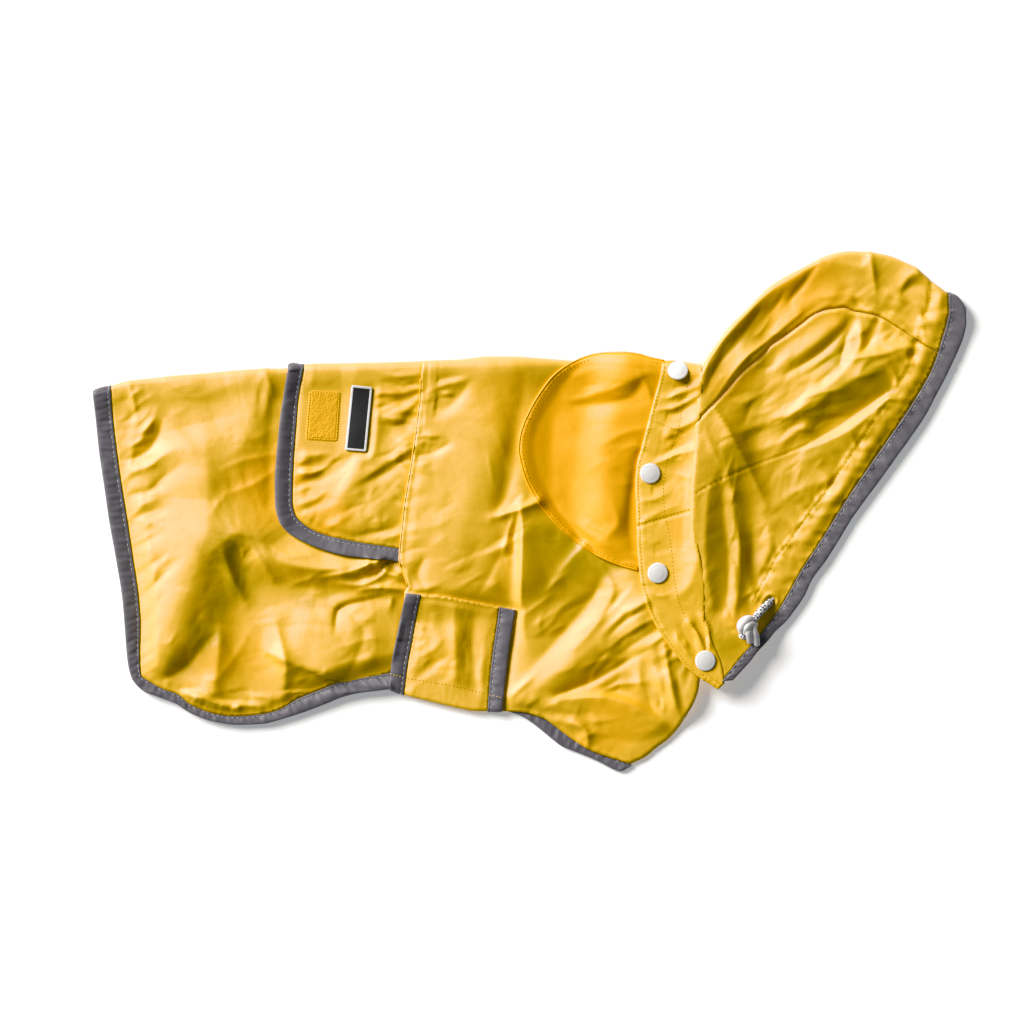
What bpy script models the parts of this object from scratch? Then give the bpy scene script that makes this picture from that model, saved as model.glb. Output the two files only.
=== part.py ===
"""Dog raincoat with a snap-on hood, laid flat on its right side and folded along its spine.

Every cloth piece is cut from one folded sheet of cloth. The sheet lies in two layers, the left
side of the coat on top and the right side under it, and turns round a soft fold at the spine.
A piece is what an outline cuts out of that sheet, so neighbours keep the same folds, and a piece
that lies on another is cut from a sheet one layer further out.

The pattern is drafted on a grid: x runs from tail to hood, y from the spine side to the belly
side, both in grid units of UNIT mm, with the datum (DATUM_X, DATUM_Y) over the part's origin.
Heights are in mm above the surface that the coat lies on.
"""

import math

import bmesh
import bpy
import numpy as np
from mathutils import Matrix, Vector
from mathutils.bvhtree import BVHTree

for old in list(bpy.data.objects):
    bpy.data.objects.remove(old, do_unlink=True)

# ---------------------------------------------------------------- sizes
UNIT = 0.625            # mm in one unit of the drafting grid
DATUM_X = 529.986        # grid units, middle of the laid-out coat
DATUM_Y = 511.923
CLOTH = 1.2             # mm, wall of one layer
SEAM = 0.3              # mm left between two pieces
LAYER = CLOTH + SEAM    # mm from one sheet to the sheet lying on it
BETWEEN = 0.4           # mm between the coat's two sides where it is pressed flat
SWELL = 2.4             # mm that the cloth stands up along the spine fold
SWELL_REACH = 11.0      # mm over which that dies out
CELL = 18.0             # mm, spacing of the cloth's facets
BINDING = 10.5          # mm, width of the grey binding
SNAP_D = 12.8           # mm
SNAP_H = 2.0            # mm
CORD_D = 4.6            # mm
NEST = 0.8              # share of a fold that the lower side follows
NEST_FROM = 1.3         # mm that a fold stands before the lower side leaves the surface

# Spine: the line where the laid-out coat turns over, and how many layers lie over the body there.
SPINE = dict(
    columns=("x", "crest_y", "covers"),
    rows=[
        (80, 395, 0), (93, 391, 0), (130, 381, 0), (190, 376, 0), (250, 371, 0), (284, 369, 0),
        (296, 364.5, 1), (350, 363.5, 1), (400, 362.5, 1), (440, 361, 1), (520, 362, 0),
        (600, 362, 0), (640, 362, 1), (664, 360.5, 2), (690, 363, 2), (701, 367, 1),
        (709, 357, 0), (725, 333, 0), (745, 312.5, 0), (770, 288, 0), (800, 270, 0),
        (825, 257, 0), (850, 251.5, 0), (885, 255, 0), (915, 268, 0), (945, 291, 0),
        (957, 296, 0), (967, 309, 0), (985, 330, 0),
    ],
)

# Tail edge: binding's outer and inner side at each level.
TAIL = dict(
    columns=("y", "outer_x", "inner_x"),
    rows=[
        (372, 92.5, 110), (391, 93, 111), (440, 97, 116), (490, 104, 122), (540, 112, 130),
        (580, 120, 136), (620, 124, 140), (650, 126, 140),
    ],
)

# Rear hem, from the tail corner to the strap: inner and outer side of the binding.
REAR_HEM = dict(
    columns=("x", "inner_y", "outer_y"),
    rows=[
        (150, 682, 693.5), (178, 693, 705), (205, 709, 719), (243, 715.5, 725.5), (275, 712, 721),
        (305, 696, 711.5), (335, 683, 699.5), (365, 676, 692.5), (384, 673, 687), (404, 666, 680),
    ],
)

# Rear edge of the front panel, which lies over the back flap.
FRONT_EDGE = dict(
    columns=("y", "x"),
    rows=[
        (340, 423), (362, 422), (400, 420), (440, 415), (490, 407), (530, 402), (560, 399.5),
        (588, 404), (640, 404), (700, 404),
    ],
)

# Neck seam of the front panel, hidden under the collar band, down to the fold of the chest.
NECK = dict(
    columns=("x", "y"),
    rows=[
        (692, 335), (690, 375), (673, 445), (665, 490), (669, 540), (678, 600), (690, 632),
        (699, 662), (696, 690), (684, 718), (670, 737), (652, 751), (632, 764),
    ],
)

# Chest hem of the front panel, and the outer side of its binding.
CHEST_HEM = dict(
    columns=("x", "cloth_y", "binding_y"),
    rows=[
        (404, 672, 672), (455, 684, 684), (496, 697, 697), (508, 711, 711.5), (530, 713.5, 722),
        (545, 716, 733.5), (560, 726, 745), (575, 737, 752), (600, 751.5, 762), (618, 759.5, 771.5),
        (632, 764, 764.5),
    ],
)

# Overlay flap on the back: outer and inner side of its binding, as a run round the corner.
BACK_FLAP = dict(
    columns=("outer_x", "outer_y", "inner_x", "inner_y"),
    rows=[
        (289, 340, 305, 340), (287, 366, 303, 366), (283, 400, 298.5, 400), (276, 450, 294.5, 450),
        (275, 492, 292, 497), (279, 518, 297, 518), (290, 534, 309, 528), (312, 545, 329, 536),
        (350, 555.5, 352, 542), (385, 559, 385, 546), (408, 561.5, 408, 549),
    ],
)

# Round flap behind the collar: its rim.
COLLAR_FLAP = dict(
    columns=("x", "y"),
    rows=[
        (664, 361), (640, 355), (608, 353), (583, 358), (552, 378), (530, 410), (519.5, 445),
        (524, 475), (537, 500), (565, 532), (605, 559), (640, 570.5), (655, 574),
    ],
)

# Collar band: rear and front side at each level along it.
BAND = dict(
    columns=("rear_x", "rear_y", "front_x", "front_y"),
    rows=[
        (663, 335, 702, 335), (662, 361, 702, 366), (655, 395, 698, 400), (645, 435, 693, 440),
        (636, 480, 690, 480), (636, 530, 688, 530), (640, 580, 689, 575), (650, 614, 696, 612),
        (672, 650, 708, 640), (693, 673, 716, 658), (717, 689, 719, 681),
    ],
)

# Hood opening: inner and outer side of the binding, crown first.
HOOD_EDGE = dict(
    columns=("inner_x", "inner_y", "outer_x", "outer_y"),
    rows=[
        (949, 262, 968, 262), (948, 300, 967, 306), (942, 340, 958, 350), (925, 383, 940, 390),
        (895, 430, 911, 437), (857, 485, 873, 491), (817, 545, 833, 546), (775, 607, 788, 605),
        (745, 645, 755, 645), (722, 680, 725, 686),
    ],
)

# Seam between the hood's crown panel and its side panel.
CROWN_SEAM = dict(
    columns=("x", "y"),
    rows=[
        (680, 440), (697, 421), (715, 403), (740, 375), (770, 347), (800, 325), (822, 312),
        (845, 308), (880, 316), (910, 334), (938, 351), (975, 378),
    ],
)

# Belly strap: its run from the upper end to the turn under the belly.
STRAP = dict(
    columns=("y_left", "rear_outer_x", "rear_inner_x", "y_right", "front_inner_x", "front_outer_x"),
    rows=[
        (593, 406, 421, 608, 499, 516), (640, 396, 412, 655, 492.5, 509), (690, 388, 403.5, 711, 487, 502.5),
    ],
)
STRAP_TURN = dict(
    columns=("x", "y"),
    rows=[(388, 690), (403, 696), (430, 702), (460, 709), (487, 711.5), (502.5, 711.5)],
)

# Sewn-on patches: corners of the near side, and the height that they add.
PATCHES = dict(
    columns=("name", "x0", "y0", "x1", "y1", "x2", "y2", "x3", "y3", "wall"),
    rows=[
        ("loop_patch", 309, 390, 341, 391, 338, 442, 305, 440, 1.4),
        ("label_patch", 352.4, 386, 372.8, 388, 366, 451.5, 345.3, 450, 1.2),
    ],
)

# Snaps: middle of each cap, and its lean towards the spine fold in degrees.
SNAPS = dict(
    columns=("name", "x", "y", "lean"),
    rows=[("1", 677.5, 370.5, 30), ("2", 650, 473.5, 0), ("3", 657.5, 573, 0), ("4", 705, 660.5, 0)],
)

# Largest folds of the cloth: a soft ridge from one end to the other.
FOLDS = dict(
    columns=("x0", "y0", "x1", "y1", "height", "reach"),
    rows=[
        (196, 445, 203, 500, 5.0, 11), (203, 500, 166, 640, 5.5, 11), (222, 560, 246, 602, 3.5, 7),
        (240, 390, 236, 500, 2.0, 10), (285, 622, 372, 640, 3.5, 12), (262, 690, 215, 640, 3.0, 11),
        (330, 600, 380, 583, 2.5, 7), (135, 450, 150, 560, 1.5, 10),
        (312, 478, 385, 440, 1.6, 10), (345, 520, 395, 470, 1.4, 8),
        (468, 395, 462, 515, 2.6, 19), (521, 530, 524, 632, 3.4, 7), (508, 700, 560, 650, 4.2, 10),
        (560, 650, 640, 606, 4.2, 10), (585, 690, 662, 716, 3.6, 10), (556, 718, 604, 746, 2.4, 6),
        (455, 610, 450, 684, 2.4, 8), (575, 440, 600, 530, 2.2, 16),
        (707, 385, 697, 500, 6.0, 7), (697, 500, 693, 585, 5.0, 7), (745, 428, 905, 350, 4.6, 9),
        (765, 480, 862, 350, 6.0, 30), (738, 515, 744, 628, 2.6, 6), (742, 350, 905, 290, 4.0, 12),
        (790, 560, 872, 440, 2.4, 8),
    ],
)

COLOURS = dict(
    columns=("name", "red", "green", "blue", "roughness"),
    rows=[
        ("coated_cloth", 0.86, 0.50, 0.04, 0.45), ("collar_cloth", 0.90, 0.46, 0.05, 0.45),
        ("grey_tape", 0.11, 0.105, 0.12, 0.55), ("loop_fabric", 0.72, 0.38, 0.03, 0.9),
        ("black_rubber", 0.02, 0.02, 0.022, 0.5), ("white_snap", 0.85, 0.85, 0.86, 0.2),
        ("white_cord", 0.80, 0.81, 0.85, 0.7),
    ],
)


# ---------------------------------------------------------------- tables and lines
def column(table, name):
    at = table["columns"].index(name)
    return [row[at] for row in table["rows"]]


def to_mm(x, y):
    return (np.asarray(x, float) - DATUM_X) * UNIT, (DATUM_Y - np.asarray(y, float)) * UNIT


def along(xs, ys, at):
    """Smooth curve through rising xs that never overshoots its rows."""
    xs, ys, at = np.asarray(xs, float), np.asarray(ys, float), np.asarray(at, float)
    step, rise = np.diff(xs), np.diff(ys)
    slope = rise / step
    bend = np.zeros(len(xs))
    bend[0], bend[-1] = slope[0], slope[-1]
    for i in range(1, len(xs) - 1):
        if slope[i - 1] * slope[i] > 0:
            a, b = 2 * step[i] + step[i - 1], step[i] + 2 * step[i - 1]
            bend[i] = (a + b) / (a / slope[i - 1] + b / slope[i])
    i = np.clip(np.searchsorted(xs, at) - 1, 0, len(step) - 1)
    t = np.clip((at - xs[i]) / step[i], 0, 1)
    h = step[i]
    return (
        ys[i] * (1 + 2 * t) * (1 - t) ** 2 + bend[i] * h * t * (1 - t) ** 2
        + ys[i + 1] * t * t * (3 - 2 * t) + bend[i + 1] * h * t * t * (t - 1)
    )


def through(xs, ys, step=9.0):
    """Points about `step` mm apart on a smooth curve through rows given in grid units, in mm."""
    px, py = to_mm(xs, ys)
    run = np.concatenate([[0], np.cumsum(np.hypot(np.diff(px), np.diff(py)))])
    count = max(2, int(round(run[-1] / step)) + 1)
    at = np.linspace(0, run[-1], count)
    return list(zip(along(run, px, at), along(run, py, at)))


def straight(*corners):
    px, py = to_mm([c[0] for c in corners], [c[1] for c in corners])
    return list(zip(px, py))


def signed_area(loop):
    return 0.5 * sum(a[0] * b[1] - b[0] * a[1] for a, b in zip(loop, loop[1:] + loop[:1]))


def tidy(loop, least=0.5):
    """The loop without points that nearly meet."""
    kept = []
    for p in loop:
        if not kept or math.dist(p, kept[-1]) > least:
            kept.append(tuple(map(float, p)))
    if math.dist(kept[0], kept[-1]) <= least:
        kept.pop()
    return kept


def grown(loop, by):
    """The loop moved outwards by `by` mm."""
    loop = tidy(loop)
    if signed_area(loop) < 0:
        loop = loop[::-1]
    out = []
    for i, p in enumerate(loop):
        a, b = loop[i - 1], loop[(i + 1) % len(loop)]
        n = Vector((0.0, 0.0))
        for q, r in ((a, p), (p, b)):
            d = Vector((r[0] - q[0], r[1] - q[1])).normalized()
            n += Vector((d.y, -d.x))
        n.normalize()
        d = Vector((p[0] - a[0], p[1] - a[1])).normalized()
        share = max(0.5, abs(n.dot(Vector((d.y, -d.x)))))
        out.append((p[0] + n.x * by / share, p[1] + n.y * by / share))
    return out


def beside(line, by):
    """The open line moved to its right-hand side by `by` mm."""
    line = tidy(line)
    out = []
    for i, p in enumerate(line):
        a, b = line[max(0, i - 1)], line[min(len(line) - 1, i + 1)]
        d = Vector((b[0] - a[0], b[1] - a[1])).normalized()
        out.append((p[0] + d.y * by, p[1] - d.x * by))
    return out


def from_line(line, px, py):
    """Distance of points to a polyline, in mm."""
    best = np.full(np.shape(px), 1e9)
    for (ax, ay), (bx, by) in zip(line, line[1:]):
        dx, dy = bx - ax, by - ay
        t = np.clip(((px - ax) * dx + (py - ay) * dy) / (dx * dx + dy * dy), 0, 1)
        best = np.minimum(best, np.hypot(px - ax - t * dx, py - ay - t * dy))
    return best


def fade(d, full, gone):
    t = np.clip((gone - d) / (gone - full), 0, 1)
    return t * t * (3 - 2 * t)


# ---------------------------------------------------------------- the folded sheet
SX, SY = to_mm(column(SPINE, "x"), column(SPINE, "crest_y"))
COVERS = column(SPINE, "covers")
FOLD_HALF = 0.5 * (CLOTH + BETWEEN + SWELL)      # mm, half the height of the body's spine fold


def turn_y(x):
    """Level at which the cloth starts to turn over at the spine, in mm."""
    crest = along(SX, SY, x)
    return crest - FOLD_HALF - 0.5 * CLOTH - LAYER * np.interp(x, SX, COVERS)


FRONT_X, FRONT_Y = to_mm(column(FRONT_EDGE, "x"), column(FRONT_EDGE, "y"))
BAND_MID = straight(*[(0.5 * (r[0] + r[2]), 0.5 * (r[1] + r[3])) for r in BAND["rows"]])


def past_front_edge(x, y):
    """How far ahead of the front panel's rear edge, in mm."""
    return x - np.interp(y, FRONT_Y[::-1], FRONT_X[::-1])


def relief(x, y):
    height = np.zeros(np.shape(x))
    for x0, y0, x1, y1, tall, reach in FOLDS["rows"]:
        line = straight((x0, y0), (x1, y1))
        height = height + tall * np.exp(-((from_line(line, x, y) / (reach * 1.35)) ** 2))
    return np.maximum(0, height - 0.5)


def lift(x, y):
    """How far the pieces under the coat's right side raise it."""
    low, high = to_mm(275, 561), to_mm(424, 340)
    away = np.hypot(np.maximum(0, np.maximum(low[0] - x, x - high[0])), np.maximum(0, low[1] - y))
    flap = LAYER * fade(away, 17, 38)
    past = past_front_edge(x, y)
    edge_away = np.hypot(np.where(past > 0, past, np.maximum(0, -past - 17)), np.maximum(0, low[1] - y))
    edge = 2 * LAYER * fade(edge_away, 20, 42)
    band = (2 * LAYER + SNAP_H + SEAM + 0.2) * fade(from_line(BAND_MID, x, y) - 16, 17, 42)
    return np.maximum(np.maximum(flap, edge), band)


def right_side(x, y):
    """Underside of the body's lower layer."""
    return lift(x, y) + np.maximum(0, NEST * relief(x, y) - NEST_FROM)


def left_side(x, y, below_turn):
    """Underside of the body's upper layer."""
    r = relief(x, y)
    swell = SWELL * np.exp(-((below_turn / SWELL_REACH) ** 2))
    return right_side(x, y) + CLOTH + BETWEEN + r - np.maximum(0, NEST * r - NEST_FROM) + swell


def over_flap(x, y):
    """The front panel's extra height where it passes over the back flap."""
    below = np.maximum(0, to_mm(0, 561)[1] - y)
    return 2 * LAYER * fade(np.hypot(np.maximum(0, past_front_edge(x, y)), below), 20, 42)


NOTCH_X = (104.0, 108.0)       # mm, both sides of the step between the collar and the hood
XS = np.sort(np.concatenate([[x for x in np.arange(-18, 19) * CELL if abs(x - 106) > 8], NOTCH_X]))
DEPTHS = np.concatenate([[0, 6, 15], 15 + CELL * np.arange(1, 21)])


def sheet(name, side, layer, x0, x1, deep, extra=None, wall=CLOTH, under=0.0):
    """A sheet of cloth: side is left, right or both, layer counts outwards from the body."""
    xs = XS[(XS > x0 - 1.4 * CELL) & (XS < x1 + 1.4 * CELL)]
    depths = DEPTHS[: int(np.searchsorted(DEPTHS, deep)) + 2]
    more = (lambda x, y: 0 * x) if extra is None else extra
    rows = []           # each: list over xs of (outer point, inner point)
    turn = turn_y(xs)

    def flat(depth, upper):
        y = turn - depth
        if upper:
            low = left_side(xs, y, depth) + layer * LAYER + more(xs, y) + under
            return [((x, v, z + wall), (x, v, z)) for x, v, z in zip(xs, y, low)]
        low = right_side(xs, y) - layer * LAYER - more(xs, y)
        return [((x, v, z), (x, v, z + CLOTH)) for x, v, z in zip(xs, y, low)]

    if side != "right":
        rows += [flat(d, True) for d in depths[::-1]]
    if side == "both":
        upper, lower = flat(0.0, True), flat(0.0, False)
        for k in range(1, 5):
            angle = math.pi * k / 5
            ring = []
            for (uo, ui), (lo, li) in zip(upper, lower):
                pair = []
                for u, v in ((uo, lo), (ui, li)):
                    mid, half = 0.5 * (u[2] + v[2]), 0.5 * (u[2] - v[2])
                    pair.append((u[0], u[1] + half * math.sin(angle), mid + half * math.cos(angle)))
                ring.append(tuple(pair))
            rows.append(ring)
    if side != "left":
        rows += [flat(d, False) for d in depths]

    mesh = bmesh.new()
    outer = [[mesh.verts.new([c / 1000 for c in p[0]]) for p in row] for row in rows]
    inner = [[mesh.verts.new([c / 1000 for c in p[1]]) for p in row] for row in rows]
    down, across = len(rows), len(xs)
    upper_rows = len(depths) + 2        # below this row, the diagonals match the upper layer's
    for j in range(down - 1):
        for i in range(across - 1):
            for grid, flip in ((outer, False), (inner, True)):
                a, b = grid[j][i], grid[j][i + 1]
                c, d = grid[j + 1][i + 1], grid[j + 1][i]
                lower = side == "right" or j >= upper_rows
                for tri in ((a, b, d), (b, c, d)) if lower else ((a, b, c), (a, c, d)):
                    mesh.faces.new(tri[::-1] if flip else tri)
    rim = [(0, i) for i in range(across)] + [(j, across - 1) for j in range(1, down)]
    rim += [(down - 1, i) for i in range(across - 2, -1, -1)] + [(j, 0) for j in range(down - 2, 0, -1)]
    for (ja, ia), (jb, ib) in zip(rim, rim[1:] + rim[:1]):
        mesh.faces.new((outer[ja][ia], inner[ja][ia], inner[jb][ib], outer[jb][ib]))
    bmesh.ops.recalc_face_normals(mesh, faces=mesh.faces)
    if mesh.calc_volume(signed=True) < 0:
        bmesh.ops.reverse_faces(mesh, faces=mesh.faces)
    return as_object(name, mesh)


# ---------------------------------------------------------------- objects and cutting
MATERIALS = {}
for colour, red, green, blue, rough in COLOURS["rows"]:
    material = bpy.data.materials.new(colour)
    material.use_nodes = True
    shader = material.node_tree.nodes["Principled BSDF"]
    shader.inputs["Base Color"].default_value = (red, green, blue, 1)
    shader.inputs["Roughness"].default_value = rough
    material.diffuse_color = (red, green, blue, 1)
    MATERIALS[colour] = material


def as_object(name, mesh):
    data = bpy.data.meshes.new(name)
    mesh.to_mesh(data)
    mesh.free()
    made = bpy.data.objects.new(name, data)
    bpy.context.scene.collection.objects.link(made)
    return made


def prism(loop, low=-30.0, high=60.0):
    """A closed block of the loop's outline, for cutting."""
    loop = tidy(loop)
    if signed_area(loop) < 0:
        loop = loop[::-1]
    mesh = bmesh.new()
    base = mesh.faces.new([mesh.verts.new((x / 1000, y / 1000, low / 1000)) for x, y in loop])
    top = bmesh.ops.extrude_face_region(mesh, geom=[base])["geom"]
    for v in (g for g in top if isinstance(g, bmesh.types.BMVert)):
        v.co.z = high / 1000
    bmesh.ops.triangulate(mesh, faces=[f for f in mesh.faces if len(f.verts) > 4])
    bmesh.ops.recalc_face_normals(mesh, faces=mesh.faces)
    if mesh.calc_volume(signed=True) < 0:
        bmesh.ops.reverse_faces(mesh, faces=mesh.faces)
    return as_object("cutter", mesh)


def volume(data):
    """The solid's volume in mm3, or 0 where the mesh isn't closed."""
    mesh = bmesh.new()
    mesh.from_mesh(data)
    closed = len(mesh.faces) > 0 and all(len(edge.link_faces) == 2 for edge in mesh.edges)
    held = mesh.calc_volume(signed=True) * 1e9 if closed else 0.0
    mesh.free()
    return held


def combine(target, other, operation):
    """Cuts or joins two solids and leaves the result in the target."""
    one, two = volume(target.data), volume(other.data)
    least = {"INTERSECT": 1.0, "DIFFERENCE": max(1.0, one - two), "UNION": max(one, two)}[operation]
    most = {"INTERSECT": min(one, two), "DIFFERENCE": one, "UNION": one + two}[operation] * 1.0001
    modifier = target.modifiers.new(operation.lower(), "BOOLEAN")
    modifier.operation = operation
    modifier.object = other
    for solver in ("EXACT", "MANIFOLD"):
        modifier.solver = solver
        bpy.context.view_layer.update()
        shape = target.evaluated_get(bpy.context.evaluated_depsgraph_get())
        data = bpy.data.meshes.new_from_object(shape)
        if least <= volume(data) <= most:
            break
    target.modifiers.clear()
    target.data = data
    bpy.data.objects.remove(other, do_unlink=True)
    return target


def finish(piece, colour, smooth=35):
    """Clears crumbs and needless edges, and gives the piece its material."""
    for apart, flatness in ((0.02, 1.0), (0.02, 0.3), (0.002, 0.1), (0.001, 0.0)):
        mesh = bmesh.new()
        mesh.from_mesh(piece.data)
        bmesh.ops.remove_doubles(mesh, verts=mesh.verts, dist=apart / 1000)
        bmesh.ops.dissolve_degenerate(mesh, edges=mesh.edges, dist=apart / 1000)
        if flatness:
            bmesh.ops.dissolve_limit(mesh, angle_limit=math.radians(flatness), verts=mesh.verts, edges=mesh.edges)
        bmesh.ops.triangulate(mesh, faces=mesh.faces)
        islands(mesh)
        sound = all(len(edge.link_faces) == 2 for edge in mesh.edges)
        if sound:
            mesh.to_mesh(piece.data)
        mesh.free()
        if sound:
            break
    piece.data.materials.clear()
    piece.data.materials.append(MATERIALS[colour])
    piece.data.shade_smooth()
    piece.data.set_sharp_from_angle(angle=math.radians(smooth))
    return piece


def islands(mesh):
    """Keeps the largest body, where a cut leaves a crumb beside it."""
    left, groups = set(mesh.faces), []
    while left:
        todo, group = [left.pop()], []
        while todo:
            face = todo.pop()
            group.append(face)
            for edge in face.edges:
                for other in edge.link_faces:
                    if other in left:
                        left.discard(other)
                        todo.append(other)
        groups.append(group)
    groups.sort(key=lambda group: sum(face.calc_area() for face in group), reverse=True)
    for group in groups[1:]:
        bmesh.ops.delete(mesh, geom=group, context="FACES")


def cut(name, colour, side, layer, loop, less=(), extra=None, wall=CLOTH, under=0.0):
    """The piece that the loop cuts from a sheet, less other loops."""
    px = [p[0] for p in loop]
    lowest = min(p[1] for p in loop)
    piece = sheet(name, side, layer, min(px), max(px), float(np.max(turn_y(np.array(px)))) - lowest, extra, wall, under)
    combine(piece, prism(loop), "INTERSECT")
    for other in less:
        combine(piece, prism(other), "DIFFERENCE")
    return finish(piece, colour)


def surface(side, layer, extra=None, at_least=False):
    """Looks up the height of a sheet's outer face above a point."""
    made = sheet("probe", side, layer, XS[0], XS[-1], DEPTHS[-1], extra)
    mesh = bmesh.new()
    mesh.from_mesh(made.data)
    tree = BVHTree.FromBMesh(mesh)
    mesh.free()
    bpy.data.objects.remove(made, do_unlink=True)

    def height(x, y):
        if side == "right":
            hit = tree.ray_cast(Vector((x / 1000, y / 1000, -1)), Vector((0, 0, 1)))
        else:
            hit = tree.ray_cast(Vector((x / 1000, y / 1000, 1)), Vector((0, 0, -1)))
        return None if hit[0] is None else hit[0].z * 1000

    return height


def turn_strip(name, line, outwards, upper, lower, wall=0.9):
    """Closed wall that turns from the upper layer to the lower one along a line, in mm.
    upper and lower give the middle of each layer's wall; outwards is +1 or -1 of the line's right."""
    sections = []
    for i, p in enumerate(line):
        a, b = line[max(0, i - 1)], line[min(len(line) - 1, i + 1)]
        d = Vector((b[0] - a[0], b[1] - a[1])).normalized()
        n = Vector((d.y, -d.x)) * outwards
        back = (p[0] - 2.2 * n.x, p[1] - 2.2 * n.y)
        edge = (p[0] - 0.4 * n.x, p[1] - 0.4 * n.y)
        zu, zl = upper(*edge), lower(*edge)
        mid, half = 0.5 * (zu + zl), 0.5 * (zu - zl)
        outer, inner = [], []
        for at, z, thin in ((back, upper(*back), 0.3), (edge, zu, 0.9)):
            outer.append((at[0], at[1], z + thin * wall / 2))
            inner.append((at[0], at[1], z - thin * wall / 2))
        for k in range(1, 5):
            angle = math.pi * k / 5
            for run, more in ((outer, wall / 2), (inner, -wall / 2)):
                reach = (half + more) * math.sin(angle)
                run.append((edge[0] + n.x * reach, edge[1] + n.y * reach, mid + (half + more) * math.cos(angle)))
        for at, z, thin in ((edge, zl, 0.9), (back, lower(*back), 0.3)):
            outer.append((at[0], at[1], z - thin * wall / 2))
            inner.append((at[0], at[1], z + thin * wall / 2))
        sections.append(outer + inner[::-1])
    mesh = bmesh.new()
    rings = [[mesh.verts.new([c / 1000 for c in q]) for q in ring] for ring in sections]
    for one, two in zip(rings, rings[1:]):
        for k in range(len(one)):
            m = (k + 1) % len(one)
            mesh.faces.new((one[k], one[m], two[m], two[k]))
    for ring in (rings[0], rings[-1]):
        half_way = len(ring) // 2
        for k in range(half_way - 1):
            mesh.faces.new((ring[k], ring[k + 1], ring[len(ring) - 2 - k], ring[len(ring) - 1 - k]))
    bmesh.ops.triangulate(mesh, faces=mesh.faces)
    bmesh.ops.recalc_face_normals(mesh, faces=mesh.faces)
    if mesh.calc_volume(signed=True) < 0:
        bmesh.ops.reverse_faces(mesh, faces=mesh.faces)
    return as_object(name, mesh)


# ---------------------------------------------------------------- outlines
ABOVE = 300.0            # grid level well clear of the body's spine
tail_y = np.linspace(372, 650, 14)
tail_outer = straight(*zip(along(column(TAIL, "y"), column(TAIL, "outer_x"), tail_y), tail_y))
tail_inner = straight(*zip(along(column(TAIL, "y"), column(TAIL, "inner_x"), tail_y), tail_y))
hem_x = np.linspace(150, 403, 18)
hem_outer = straight(*zip(hem_x, along(column(REAR_HEM, "x"), column(REAR_HEM, "outer_y"), hem_x)))
hem_inner = straight(*zip(hem_x, along(column(REAR_HEM, "x"), column(REAR_HEM, "inner_y"), hem_x)))
corner_outer = straight((127.5, 664), (130.5, 677), (138, 687))
corner_inner = straight((139, 662), (141, 673), (144, 679))

front_y = np.linspace(340, 665, 16)
front_edge = straight(*zip(along(column(FRONT_EDGE, "y"), column(FRONT_EDGE, "x"), front_y), front_y))
TUCK = 7.0               # mm that the back flap and rear panel pass under the front panel
joint = [(x + TUCK, y) for x, y in front_edge if y > to_mm(0, 585)[1]]
below = [(x, y) for x, y in front_edge if y <= to_mm(0, 585)[1]]
rear_front_side = joint + below

rear_cloth = straight((110, 340)) + tail_inner + corner_inner + hem_inner + rear_front_side[::-1]
rear_tape = straight((92.5, 340)) + tail_outer + corner_outer + hem_outer
rear_tape += beside(straight((110, 340)) + tail_inner + corner_inner + hem_inner, SEAM)[::-1]

hem_at = column(CHEST_HEM, "x")
chest_x = np.linspace(404, 632, 20)
chest_cloth = straight(*zip(chest_x, along(hem_at, column(CHEST_HEM, "cloth_y"), chest_x)))
chest_outer_x = np.linspace(508, 632, 11)
chest_outer = straight(*zip(chest_outer_x, along(hem_at, column(CHEST_HEM, "binding_y"), chest_outer_x)))
neck = through(column(NECK, "x"), column(NECK, "y"), 9.0)
front_left = [(x + (0 if y > to_mm(0, 585)[1] else SEAM), y) for x, y in front_edge if y > to_mm(0, 664)[1]]
front_cloth = front_left + chest_cloth + neck[::-1]

flap_outer = through(column(BACK_FLAP, "outer_x"), column(BACK_FLAP, "outer_y"), 9.0)
flap_inner = through(column(BACK_FLAP, "inner_x"), column(BACK_FLAP, "inner_y"), 9.0)
flap_front = [(x + TUCK, y) for x, y in front_edge if to_mm(0, 546)[1] < y]
flap_cloth = flap_inner + flap_front[::-1]
flap_tape = flap_outer + beside(flap_inner, SEAM)[::-1]

band_rear = through(column(BAND, "rear_x"), column(BAND, "rear_y"), 12.0)
band_front = through(column(BAND, "front_x"), column(BAND, "front_y"), 12.0)
band_whole = band_rear + band_front[::-1]

rim = through(column(COLLAR_FLAP, "x"), column(COLLAR_FLAP, "y"), 8.0)
collar_loop = rim + straight((660, 540), (657, 480), (662, 430), (670, 395))

hood_inner = through(column(HOOD_EDGE, "inner_x"), column(HOOD_EDGE, "inner_y"), 14.0)
hood_outer = through(column(HOOD_EDGE, "outer_x"), column(HOOD_EDGE, "outer_y"), 14.0)
hood_back = [(x + SEAM, y) for x, y in band_front]
hood_cloth = straight((704.5, 240)) + hood_back + hood_inner[::-1]
hood_tape = hood_outer + beside(hood_inner, -SEAM)[::-1]
seam_line = through(column(CROWN_SEAM, "x"), column(CROWN_SEAM, "y"), 12.0)
crown_side = straight((680, 230)) + seam_line + straight((975, 230))
crown_below = straight((975, 720), (680, 720)) + [(x, y + 1.3 * SEAM) for x, y in seam_line]

# ---------------------------------------------------------------- body
cut("body_rear", "coated_cloth", "both", 0, rear_cloth)
cut("binding_tail", "grey_tape", "both", 0, rear_tape)

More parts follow.
